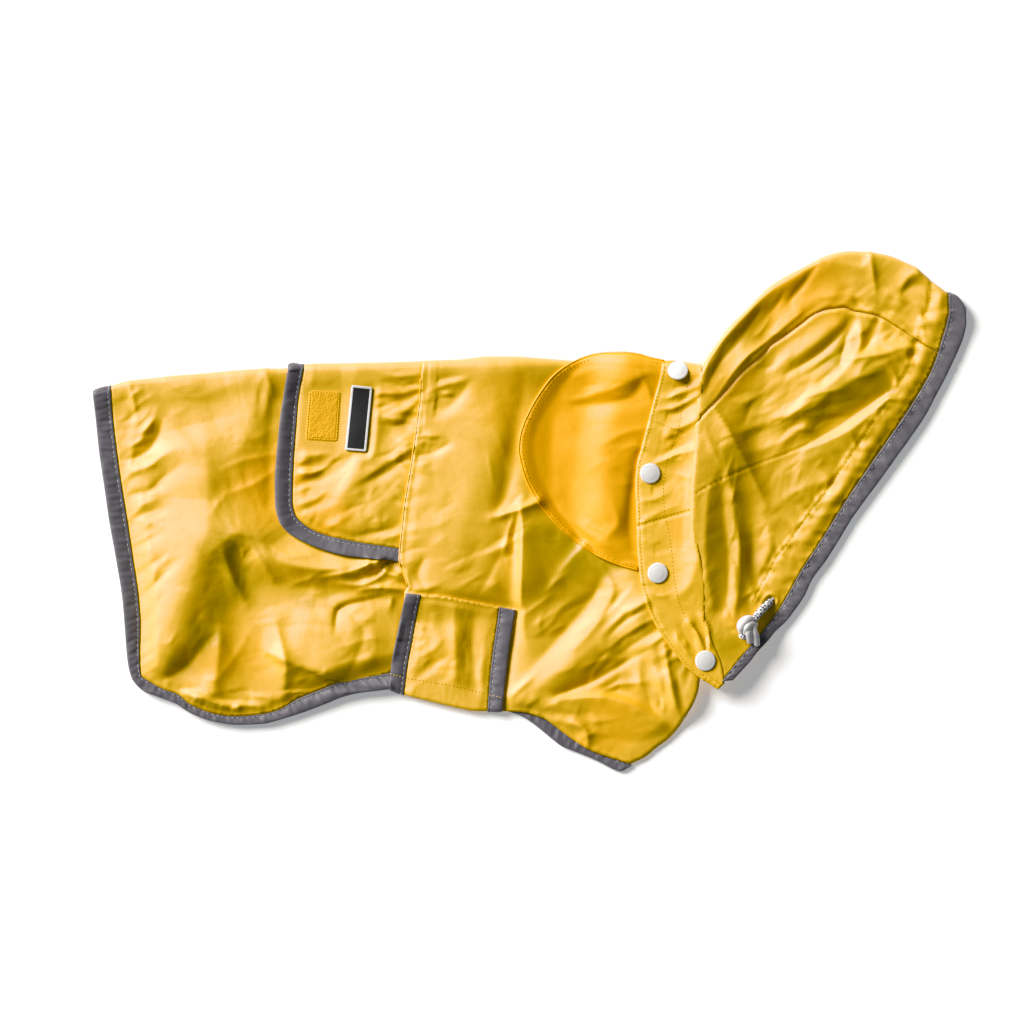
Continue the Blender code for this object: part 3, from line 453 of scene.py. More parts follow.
stack_top = np.hypot(np.where(PAST > 0, PAST / 2.65, np.maximum(0, -PAST - 17)), BELOW_FLAP)
LIFT = blur(np.maximum(np.maximum(flap_lift, 2 * LAYER * fade(stack, 20, 42)), band_lift), 4)
TOP_LIFT = blur(np.maximum(np.maximum(flap_lift, 2 * LAYER * fade(stack_top, 20, 42)), band_lift), 4)
OVER_FLAP = blur(2 * LAYER * fade(np.hypot(np.maximum(0, PAST) / 2.65, BELOW_FLAP), 20, 42), 2)
TURNED = 2 * CLOTH + BETWEEN + SWELL * np.exp(-((BELOW / SWELL_REACH) ** 2))
FLAT = TOP_LIFT + TURNED            # top of the upper body layer
DISC_FLAT = blur(BAND_LIFT * fade(band_away - 16, 17, 42), 4) + TURNED

# ---------------------------------------------------------------- folds of each panel
REAR_FOLDS = [
    # broad pale roll from the tail down to the hem corner
    ([(197, 424, 2.0, 24, 50), (204, 452, 5.6, 22, 60), (206, 490, 7.4, 24, 64), (204, 528, 6.0, 28, 58), (196, 560, 2.4, 28, 50), (190, 588, 0, 26, 50)], 3.0, 1.45),
    ([(206, 500, 0, 26, 56), (204, 528, 3.8, 32, 58), (194, 562, 8.6, 36, 54), (182, 602, 11.4, 37, 44), (170, 642, 9.6, 30, 34), (160, 675, 2.8, 11, 20)], 2.0, 1.75),
    # plateau under the spine, rolling off to the right
    ([(274, 372, 1.2, 20, 44), (264, 394, 3.0, 22, 50), (256, 414, 4.0, 26, 56), (248, 434, 4.0, 30, 56), (232, 452, 3.4, 30, 50),
      (216, 466, 1.6, 26, 40)], 2.0, 1.3),
    ([(263, 374, 0.4, 3, 5), (257, 396, 0.65, 3, 6), (256, 412, 0.4, 3, 6)], 0.6, 1.2),
    ([(270, 378, 0.3, 4, 4), (268, 402, 0.55, 4, 4), (262, 420, 0.2, 5, 5)], 0.6, 1.2),
    # fold that starts at the dark pocket and runs level towards the strap
    ([(208, 556, 1.0, 16, 16), (224, 542, 4.4, 22, 22), (240, 533, 6.4, 26, 26), (256, 537, 6.0, 26, 26), (268, 552, 5.2, 22, 18),
      (284, 562, 6.0, 22, 14), (306, 567, 6.8, 22, 12), (330, 569, 6.0, 16, 11), (352, 566, 4.2, 11, 10), (371, 561, 2.4, 7, 8), (385, 557, 0.8, 5, 6)], 0.9, 1.25),
    ([(236, 552, -0.8, 8, 9), (244, 574, -2.0, 10, 10), (260, 590, -2.4, 12, 10), (300, 593, -2.2, 12, 10), (335, 592, -1.6, 12, 9), (374, 590, -0.6, 8, 8)], 1.6, 1.35),
    ([(224, 552, 1.4, 5, 6), (233, 578, 2.8, 5, 8), (246, 603, 0.8, 6, 7)], 0.8, 1.2),
    ([(254, 548, 1.0, 5, 5), (262, 562, 2.8, 8, 5), (273, 577, 1.2, 8, 5)], 0.8, 1.2),
    # pinched cloth where the front panel's corner holds it
    ([(322, 577, 0.8, 3, 4), (345, 573, 2.8, 3, 6), (368, 565, 3.2, 3, 6), (382, 559, 1.2, 3, 4)], 0.5, 1.15),
    ([(336, 583, 0.6, 3, 4), (358, 585, 2.6, 4, 5), (376, 579, 3.2, 4, 5), (388, 568, 1.6, 3, 4)], 0.5, 1.15),
    ([(358, 591, 0.8, 3, 4), (374, 588, 2.4, 3, 5), (392, 588, 2.8, 3, 5), (406, 590, 1.4, 3, 4)], 0.5, 1.15),
    ([(374, 560, 0.6, 4, 3), (384, 570, 2.6, 5, 3), (396, 576, 2.8, 5, 3), (406, 582, 1.2, 3, 3)], 0.5, 1.15),
    ([(388, 560, -0.4, 3, 3), (380, 572, -1.6, 3, 3), (368, 577, -1.2, 3, 3), (350, 579, -0.3, 3, 3)], 0.5, 1.2),
    # lower field: two upright swells, then the fold over the hem
    ([(163, 680, -1.4, 5, 5), (187, 665, -2.2, 6, 7), (205, 646, -1.8, 7, 8), (216, 627, -0.6, 8, 8)], 0.9, 1.25),
    ([(220, 624, 1.2, 10, 16), (219, 650, 4.2, 12, 22), (214, 690, 3.6, 14, 26)], 1.0, 1.25),
    ([(213, 684, 0.5, 5, 7), (236, 656, 0.8, 6, 8), (250, 632, 0.4, 6, 8)], 0.8, 1.25),
    ([(276, 624, 1.0, 6, 16), (281, 644, 4.0, 7, 20), (286, 662, 4.8, 8, 22), (284, 692, 2.4, 9, 18)], 0.8, 1.25),
    ([(270, 652.5, 1.4, 8, 3), (284, 657, 5.0, 20, 8), (300, 661, 7.0, 34, 14), (328, 669, 7.8, 44, 15), (356, 677, 7.0, 44, 11), (390, 685.5, 4.4, 34, 6)], 0.5, 1.2),
    ([(300, 690, 0.6, 6, 4), (318, 683, 1.8, 7, 4), (336, 678, 0.8, 6, 3)], 0.6, 1.2),
    ([(262, 622, 1.4, 12, 18), (300, 622, 2.6, 18, 26), (350, 630, 2.6, 20, 26), (390, 634, 1.6, 18, 26)], 3.0, 1.6),
    # hooked crease
    ([(386, 596, -0.8, 9, 2.2), (362, 601, -2.0, 12, 2.0), (346, 605, -2.3, 12, 2.0), (337, 611, -2.3, 10, 2.0), (335, 631, -0.5, 8, 2.2)], 0.4, 1.2),
    ([(355, 618, -0.3, 4, 4), (364, 636, -0.9, 5, 5), (356, 660, -0.7, 5, 5), (350, 672, -0.3, 4, 4)], 0.9, 1.3),
    ([(372, 622, 0.2, 6, 6), (376, 644, 0.6, 7, 7), (364, 668, 0.3, 6, 6)], 0.9, 1.3),
    ([(384, 592, 0.5, 2.5, 2.5), (392, 600, 1.3, 2.5, 3), (390, 608, 0.5, 3, 3)], 0.5, 1.2),
    # pinch by the tail's binding
    ([(122, 461, -1.0, 3.4, 4), (138, 457, -2.4, 4, 6), (150, 448, -3.0, 5, 7), (160, 430, -1.4, 5, 6), (163, 418, -0.3, 4, 5)], 0.7, 1.25),
    ([(133, 452, 0.3, 2.5, 3), (130, 466, 1.3, 2.5, 3), (130, 474, 0.4, 3, 3)], 0.5, 1.2),
    ([(122, 447, 0.8, 5, 4), (136, 444, 1.7, 7, 4), (148, 428, 1.4, 8, 4), (156, 412, 0.6, 8, 4)], 0.8, 1.3),
    ([(128, 474, 0.8, 5, 4), (148, 466, 1.6, 7, 5), (168, 452, 1.4, 8, 6), (186, 446, 0.5, 8, 8)], 0.9, 1.3),
    ([(157, 411, 0.4, 5, 8), (172, 428, 1.4, 6, 12), (192, 448, 0.9, 8, 12)], 0.9, 1.3),
    ([(126, 496, -1.1, 3, 3.4), (148, 490, -1.4, 4, 6), (170, 474, -1.0, 5, 8), (186, 462, -0.2, 5, 8)], 0.8, 1.3),
    ([(131, 521, -1.0, 2.6, 3), (146, 513, -1.0, 4, 4), (168, 507, -0.3, 6, 6)], 0.7, 1.3),
    ([(129, 508, 0.8, 3, 3), (146, 503, 0.9, 4, 4), (164, 496, 0.2, 5, 5)], 0.7, 1.3),
    ([(119, 424, -0.8, 2.4, 3), (130, 418, -1.2, 3, 4), (139, 408, -0.4, 4, 4)], 0.6, 1.2),
    ([(115, 404, -0.6, 2.4, 3), (124, 400, -0.7, 3, 4), (134, 399, -0.2, 4, 4)], 0.6, 1.2),
    ([(130, 387, 0.6, 2.6, 2.6), (134, 402, 1.1, 2.6, 2.6), (137, 420, 0.5, 3, 3)], 0.6, 1.2),
    ([(136, 547, -0.8, 3, 3), (150, 539, -0.8, 4, 4), (166, 532, -0.2, 5, 5)], 0.7, 1.3),
    ([(138, 575, -0.6, 3, 3), (158, 560, -0.8, 4, 4), (180, 549, -0.2, 5, 5)], 0.7, 1.3),
    ([(141, 598, -1.0, 3, 3), (158, 581, -1.1, 4, 4), (182, 556, -0.3, 6, 6)], 0.7, 1.3),
    ([(141, 628, -0.8, 3, 3), (152, 612, -0.9, 4, 4), (164, 594, -0.2, 5, 5)], 0.7, 1.3),
    ([(141, 652, -0.6, 3, 3), (150, 640, -0.7, 3, 3), (160, 622, -0.2, 4, 4)], 0.7, 1.3),
    # by the hem
    ([(182, 694, 1.2, 2.6, 3), (206, 699, 2.4, 3, 4), (226, 706, 1.6, 3, 4), (242, 711, 0.3, 3, 3)], 0.6, 1.2),
    ([(196, 697, 0.6, 3, 3), (222, 700, -1.2, 4, 3), (248, 702, -0.9, 4, 3)], 0.7, 1.3),
    ([(228, 712, 0.4, 2.6, 2.6), (244, 705, 1.4, 3, 3), (262, 708, 0.6, 3, 3)], 0.6, 1.2),
    # soft marks of handling
    ([(276, 400, -0.6, 5, 4), (270, 440, -0.9, 8, 5), (270, 505, -0.7, 8, 6)], 1.6, 1.4),
    ([(222, 470, 0.3, 3, 6), (246, 460, 0.7, 3, 7), (274, 455, 0.3, 3, 6)], 0.6, 1.25),
    ([(226, 494, 0.3, 3, 6), (250, 486, 0.7, 3, 7), (276, 470, 0.3, 3, 6)], 0.6, 1.25),
    ([(214, 512, 0.5, 4, 6), (222, 500, 0.9, 4, 6), (232, 508, 0.3, 4, 6)], 0.7, 1.25),
    ([(236, 428, 0.2, 5, 8), (252, 440, 0.7, 5, 8), (272, 430, 0.3, 5, 8)], 0.9, 1.3),
    ([(146, 400, 0.4, 8, 8), (190, 396, 0.9, 10, 10), (238, 384, 0.5, 8, 8)], 1.2, 1.4),
    ([(275, 549, 0.4, 3, 4), (292, 556, 0.9, 3, 4), (310, 556, 0.3, 3, 4)], 0.6, 1.2),
]

FLAP_FOLDS = [
    ([(300, 520, 0.6, 12, 12), (330, 508, 1.6, 16, 14), (352, 480, 1.8, 12, 16), (366, 452, 1.0, 10, 14)], 1.6, 1.4),
    ([(346, 530, 0.6, 14, 10), (372, 512, 1.5, 16, 14), (398, 492, 0.7, 12, 12)], 1.8, 1.5),
    ([(293, 488, -1.0, 2.6, 4), (312, 480, -2.0, 3.4, 5), (334, 468, -2.6, 4, 6), (347, 459, -2.4, 4.4, 6), (355, 449, -1.2, 4, 5)], 0.7, 1.25),
    ([(294, 466, -0.8, 2.4, 3), (316, 466, -1.5, 3, 3.4), (336, 462, -0.8, 3, 4)], 0.6, 1.2),
    ([(294, 474, 0.8, 3, 3), (316, 472, 1.5, 4, 3), (340, 455, 0.9, 5, 3)], 0.6, 1.25),
    ([(296, 456, 0.5, 3, 3), (312, 456, 0.9, 3, 3), (330, 452, 0.3, 4, 3)], 0.6, 1.2),
    ([(350, 486, 0.3, 8, 5), (374, 472, 1.3, 9, 4), (396, 458, 1.4, 8, 4), (414, 450, 0.7, 6, 4)], 0.8, 1.3),
    ([(366, 482, -0.4, 3.4, 4), (384, 472, -1.5, 3.4, 5), (402, 462, -1.2, 3.4, 5), (414, 460, -0.6, 3, 4)], 0.7, 1.25),
    ([(382, 424, -0.6, 3, 4), (394, 427, -1.6, 3.4, 6), (406, 424, -1.8, 4, 6), (417, 414, -0.8, 4, 5)], 0.7, 1.25),
    ([(380, 416, 0.5, 5, 3), (394, 418, 1.4, 6, 3), (408, 410, 1.3, 6, 3), (418, 400, 0.6, 5, 3)], 0.7, 1.25),
    ([(394, 402, -0.5, 3.4, 4), (404, 400, -1.4, 4, 4), (417, 394, -0.7, 4, 4)], 0.7, 1.25),
    ([(386, 382, -0.4, 2.6, 3), (402, 386, -1.3, 3, 4), (419, 384, -0.7, 3, 4)], 0.6, 1.25),
    ([(384, 374, 0.3, 3, 3), (400, 377, 1.1, 4, 3), (420, 375, 0.6, 4, 3)], 0.6, 1.25),
    ([(384, 394, 0.3, 4, 3), (400, 394, 1.1, 4, 3), (419, 389, 0.5, 4, 3)], 0.6, 1.25),
    ([(378, 396, 0.5, 6, 6), (376, 426, 1.3, 6, 8), (370, 456, 0.6, 6, 8)], 1.2, 1.4),
    ([(397, 440, 0.3, 3, 3), (406, 444, 1.0, 3, 3), (415, 442, 0.5, 3, 3)], 0.5, 1.2),
    ([(295, 513, -0.7, 2.6, 3), (310, 508, -0.8, 3, 4), (324, 500, -0.2, 4, 5)], 0.6, 1.25),
    ([(298, 505, 0.5, 3, 3), (314, 500, 0.8, 3.4, 3), (330, 488, 0.2, 4, 4)], 0.6, 1.25),
    ([(345, 541, -0.3, 3, 3), (368, 534, -1.2, 3.4, 5), (398, 525, -0.6, 4, 5)], 0.7, 1.25),
    ([(376, 546, 0.3, 3, 3), (388, 538, 1.0, 3, 3), (402, 533, 0.5, 3, 3)], 0.6, 1.25),
    ([(318, 532, 0.3, 4, 4), (336, 524, 0.9, 5, 4), (352, 512, 0.3, 5, 4)], 0.8, 1.3),
]

FRONT_FOLDS = [
    # pale crown down the shoulder
    ([(494, 364, 1.0, 34, 40), (492, 400, 2.2, 34, 44), (486, 440, 2.8, 36, 46), (476, 484, 3.2, 40, 48), (462, 526, 3.0, 40, 46), (450, 570, 1.8, 34, 38)], 2.4, 1.4),
    ([(428, 410, -0.8, 5, 5), (444, 408, -2.2, 9, 5), (460, 396, -1.6, 8, 5), (468, 384, -0.5, 6, 4)], 0.9, 1.3),
    ([(432, 390, 0.4, 4, 4), (446, 386, 1.3, 5, 3), (466, 380, 0.5, 5, 3)], 0.7, 1.25),
    ([(430, 382, -0.4, 4, 4), (448, 378, -1.2, 4, 4), (464, 376, -0.3, 4, 4)], 0.7, 1.25),
    ([(416, 438, 1.6, 3, 3), (427, 436, 1.4, 3, 2.6), (440, 437, 0.2, 3, 2.6)], 0.5, 1.2),
    ([(418, 456, -1.2, 3, 3), (434, 452, -2.2, 5, 3), (448, 445, -1.0, 5, 3)], 0.7, 1.25),
    ([(412, 468, 0.4, 3, 3), (416, 452, 1.4, 3, 3), (421, 442, 0.6, 3, 3)], 0.5, 1.2),
    ([(424, 396, 0.6, 3, 3), (425, 416, 1.1, 4, 3), (420, 430, 0.5, 4, 3)], 0.7, 1.25),
    # hollow behind the round flap
    ([(524, 386, -0.6, 8, 8), (516, 430, -1.8, 8, 12), (511, 468, -3.0, 7, 10), (504, 498, -2.6, 6, 9), (496, 512, -0.8, 5, 6)], 1.2, 1.35),
    ([(492, 517, 1.0, 4, 5), (512, 512, 2.4, 4, 6), (538, 501, 2.2, 4, 6)], 0.6, 1.25),
    ([(515, 514, 0.8, 3, 3), (509, 532, 1.5, 3, 3), (504, 552, 0.4, 3, 3)], 0.5, 1.2),
    ([(521, 506, 1.6, 18, 3), (522, 530, 6.0, 48, 3.4), (521.5, 560, 7.2, 58, 4), (521, 596, 5.6, 46, 5), (526, 640, 1.6, 16, 7)], 0.6, 1.3),
    ([(500, 556, -0.4, 3, 4), (490, 575, -0.7, 3, 5), (480, 592, -0.2, 4, 5)], 0.7, 1.25),
    ([(480, 556, 0.3, 3, 4), (500, 548, 0.9, 3, 5), (520, 537, 0.5, 3, 4)], 0.5, 1.2),
    ([(446, 566, -0.2, 3, 4), (478, 552, -0.5, 3, 5), (506, 536, -0.3, 3, 5)], 0.6, 1.25),
    # olive slope under the round flap
    ([(548, 590, 0.27, 4, 16), (566, 566, 1.35, 4, 26), (590, 540, 2.07, 4, 34), (612, 520, 1.53, 4, 30), (628, 506, 0.45, 4, 16)], 0.6, 1.3),
    ([(532, 668, -0.8, 8, 8), (558, 640, -2.2, 8, 12), (584, 610, -2.4, 8, 14), (604, 578, -1.2, 7, 12)], 1.4, 1.35),
    ([(602, 566, 0.8, 4, 8), (612, 590, 2.2, 5, 12), (600, 618, 2.0, 5, 12), (574, 648, 1.0, 5, 10)], 1.0, 1.3),
    # broad lit fold across the chest
    ([(652, 602, 1.8, 8, 12), (618, 626, 4.0, 20, 26), (580, 655, 5.2, 26, 30), (543, 684, 4.8, 26, 26), (508, 710, 2.0, 12, 14)], 1.6, 1.4),
    ([(648, 601, 0.72, 3, 4), (628, 611, 1.2, 3, 4), (604, 632, 0.48, 3, 5)], 0.5, 1.2),
    ([(645, 609, -0.72, 2.6, 3), (626, 620, -1.32, 2.8, 3.4), (608, 637, -0.48, 3, 4)], 0.5, 1.2),
    ([(657, 617, 0.72, 3, 4), (634, 629, 1.14, 3, 4), (606, 650, 0.48, 3, 4)], 0.5, 1.2),
    ([(660, 628, -0.72, 3, 3), (640, 640, -1.02, 3, 4), (618, 655, -0.42, 3, 4)], 0.6, 1.2),
    ([(664, 634, 0.48, 3, 3), (648, 646, 0.78, 3, 4), (630, 660, 0.24, 3, 4)], 0.6, 1.2),
    # dark crease and the lit triangle below it
    ([(557, 695, -1.0, 4, 2.4), (573, 689, -2.2, 5, 2.4), (592, 682, -2.6, 6, 2.4), (614, 669, -2.0, 6, 3), (646, 650, -1.0, 6, 3)], 0.5, 1.2),
    ([(560, 700, 1.8, 3, 14), (598, 697, 3.6, 3.6, 22), (628, 703, 4.4, 5, 26), (652, 718, 3.8, 6, 22), (674, 735, 1.4, 6, 10)], 0.8, 1.35),
    ([(604, 690, 0.4, 3, 3), (622, 684, 1.2, 3, 4), (646, 682, 0.5, 3, 4)], 0.5, 1.2),
    ([(638, 664, 0.8, 5, 6), (640, 684, 1.9, 6, 7), (656, 700, 1.2, 6, 6)], 0.8, 1.25),
    ([(664, 642, 1.2, 4, 5), (668, 668, 2.6, 3.6, 6), (674, 700, 2.6, 4, 7), (682, 720, 1.0, 4, 6)], 0.6, 1.25),
    ([(676, 668, -0.8, 3, 2.6), (680, 692, -2.2, 4, 2.4), (688, 712, -1.2, 4, 2.4)], 0.5, 1.2),
    ([(652, 660, 0.4, 3, 3), (658, 680, 1.1, 3, 4), (664, 698, 0.5, 3, 4)], 0.5, 1.2),
    # curled hem
    ([(540, 714, 1.0, 2.6, 3), (562, 719, 3.4, 3, 4), (580, 725, 4.4, 3.4, 5), (589, 737, 3.0, 3, 5), (586, 748, 0.5, 3, 3)], 0.5, 1.2),
    ([(548, 722, -0.5, 2.6, 2.6), (564, 728, -1.9, 3, 3), (577, 737, -1.4, 3, 3)], 0.5, 1.2),
    ([(520, 703, 1.4, 5, 5), (548, 706, 1.5, 6, 5), (576, 711, 0.7, 5, 5)], 1.0, 1.3),
    ([(604, 735, -0.5, 6, 6), (632, 742, -0.9, 8, 6), (660, 736, -0.4, 6, 6)], 1.4, 1.4),
    ([(510, 697, 0.8, 3, 3), (524, 684, 1.5, 3, 4), (536, 674, 0.4, 4, 4)], 0.6, 1.2),
    ([(408, 588, 1.6, 4, 3), (422, 590, 1.3, 4, 3), (440, 584, 0.3, 4, 3)], 0.6, 1.2),
    ([(402, 560, 1.6, 3, 3), (408, 572, 1.9, 3, 3), (408, 584, 1.2, 3, 3)], 0.5, 1.2),
    ([(424, 560, -0.8, 4, 4), (418, 574, -1.5, 5, 4), (424, 586, -0.6, 4, 4)], 0.7, 1.3),
]

DISC_FOLDS = [
    ([(572, 400, 0.48, 16, 5), (600, 392, 2.04, 20, 6), (630, 381, 2.04, 18, 6), (646, 374, 0.72, 10, 5)], 1.0, 1.3),
    ([(576, 405, -0.36, 4, 6), (606, 404, -1.32, 5, 8), (634, 394, -1.32, 5, 7), (642, 380, -0.48, 4, 4)], 0.9, 1.3),
    ([(640, 376, 0.4, 3, 4), (648, 390, 1.0, 3, 4), (652, 402, 0.4, 3, 4)], 0.6, 1.2),
    ([(552, 418, 0.8, 22, 22), (584, 452, 2.6, 34, 26), (604, 500, 2.2, 30, 22), (612, 540, 0.8, 16, 14)], 2.4, 1.6),
    ([(600, 446, 0.2, 4, 5), (628, 432, 0.8, 4, 6), (652, 428, 0.3, 4, 5)], 0.7, 1.25),
    ([(618, 452, 0.2, 4, 4), (636, 446, 0.7, 4, 4), (650, 452, 0.3, 4, 4)], 0.6, 1.25),
    ([(642, 444, -0.5, 6, 4), (634, 480, -1.6, 10, 4), (630, 520, -1.8, 12, 5), (634, 548, -1.0, 10, 6)], 1.2, 1.4),
    ([(606, 538, 0.4, 5, 5), (618, 522, 1.0, 5, 6), (612, 500, 0.3, 5, 6)], 0.8, 1.25),
    ([(560, 512, 0.3, 4, 4), (584, 530, 0.8, 4, 4), (604, 546, 0.3, 4, 4)], 0.7, 1.25),
    ([(590, 470, 0.2, 6, 6), (606, 462, 0.5, 6, 6), (622, 470, 0.2, 6, 6)], 1.0, 1.3),
]

BAND_FOLDS = [
    ([(656, 411, 0.5, 3, 2.6), (674, 408, 1.2, 3, 2.6), (696, 396, 0.9, 3, 2.6)], 0.5, 1.2),
    ([(658, 417, -0.5, 2.6, 2.6), (676, 413, -1.1, 2.6, 2.8), (694, 404, -0.7, 2.6, 2.6)], 0.5, 1.2),
    ([(662, 398, 0.3, 3, 2.6), (680, 394, 0.9, 3, 2.6), (698, 386, 0.6, 3, 2.6)], 0.5, 1.2),
    ([(660, 392, -0.3, 2.6, 2.6), (680, 387, -0.7, 2.6, 2.6), (697, 378, -0.4, 2.6, 2.6)], 0.5, 1.2),
    ([(656, 463, 0.8, 3, 3), (670, 457, 2.0, 3, 7), (684, 452, 2.0, 3, 8), (695, 449, 0.8, 3, 8)], 0.6, 1.25),
    ([(664, 455, -0.6, 3, 3), (678, 446, -1.5, 5, 3), (690, 440, -0.9, 8, 3)], 0.8, 1.25),
    ([(662, 430, 0.5, 4, 4), (680, 428, 1.4, 5, 3), (694, 420, 1.4, 5, 3)], 0.7, 1.25),
    ([(643, 488, -0.6, 2.6, 2.6), (656, 489, -0.9, 3, 3), (668, 481, -0.3, 3, 3)], 0.6, 1.2),
    ([(678, 474, 0.4, 3, 3), (687, 478, 1.1, 3, 3), (688, 492, 0.7, 3, 3)], 0.5, 1.2),
    ([(684, 482, -0.4, 2.4, 2.4), (685, 492, -0.7, 2.4, 2.4), (684, 502, -0.3, 2.4, 2.4)], 0.5, 1.2),
    ([(682, 546, -0.5, 4, 4), (686, 528, -1.8, 5, 5), (688, 508, -1.4, 5, 5)], 0.8, 1.3),
    ([(678, 596, 0.6, 6, 8), (690, 582, 1.8, 8, 10), (694, 562, 1.4, 8, 8)], 1.0, 1.35),
    ([(642, 522, 0.4, 4, 4), (656, 514, 0.7, 4, 4), (676, 506, 0.3, 4, 4)], 0.6, 1.25),
    ([(642, 548, -0.3, 3, 3), (652, 552, -0.8, 4, 3), (670, 548, -0.3, 4, 3)], 0.6, 1.25),
    ([(640, 502, 0.3, 3, 3), (652, 500, 0.7, 3, 3), (668, 494, 0.2, 3, 3)], 0.5, 1.2),
    ([(648, 592, 0.3, 3, 3), (660, 596, 0.7, 3, 3), (674, 592, 0.2, 3, 3)], 0.6, 1.2),
    ([(686, 618, 0.5, 2.6, 2.6), (697, 634, 1.8, 2.6, 2.6), (703, 648, 0.9, 2.6, 2.6)], 0.4, 1.15),
    ([(680, 626, -0.5, 2.4, 2.4), (690, 642, -1.6, 2.4, 2.4), (697, 652, -0.7, 2.4, 2.4)], 0.4, 1.15),
    ([(676, 634, 0.5, 2.6, 2.6), (685, 650, 1.3, 2.6, 2.6), (694, 660, 0.5, 2.6, 2.6)], 0.4, 1.15),
    ([(700, 614, 0.5, 2.6, 2.6), (708, 630, 1.7, 2.6, 2.6), (709, 648, 0.8, 2.6, 2.6)], 0.4, 1.15),
    ([(696, 618, -0.4, 2.4, 2.4), (704, 636, -1.4, 2.4, 2.4), (706, 648, -0.6, 2.4, 2.4)], 0.4, 1.15),
]

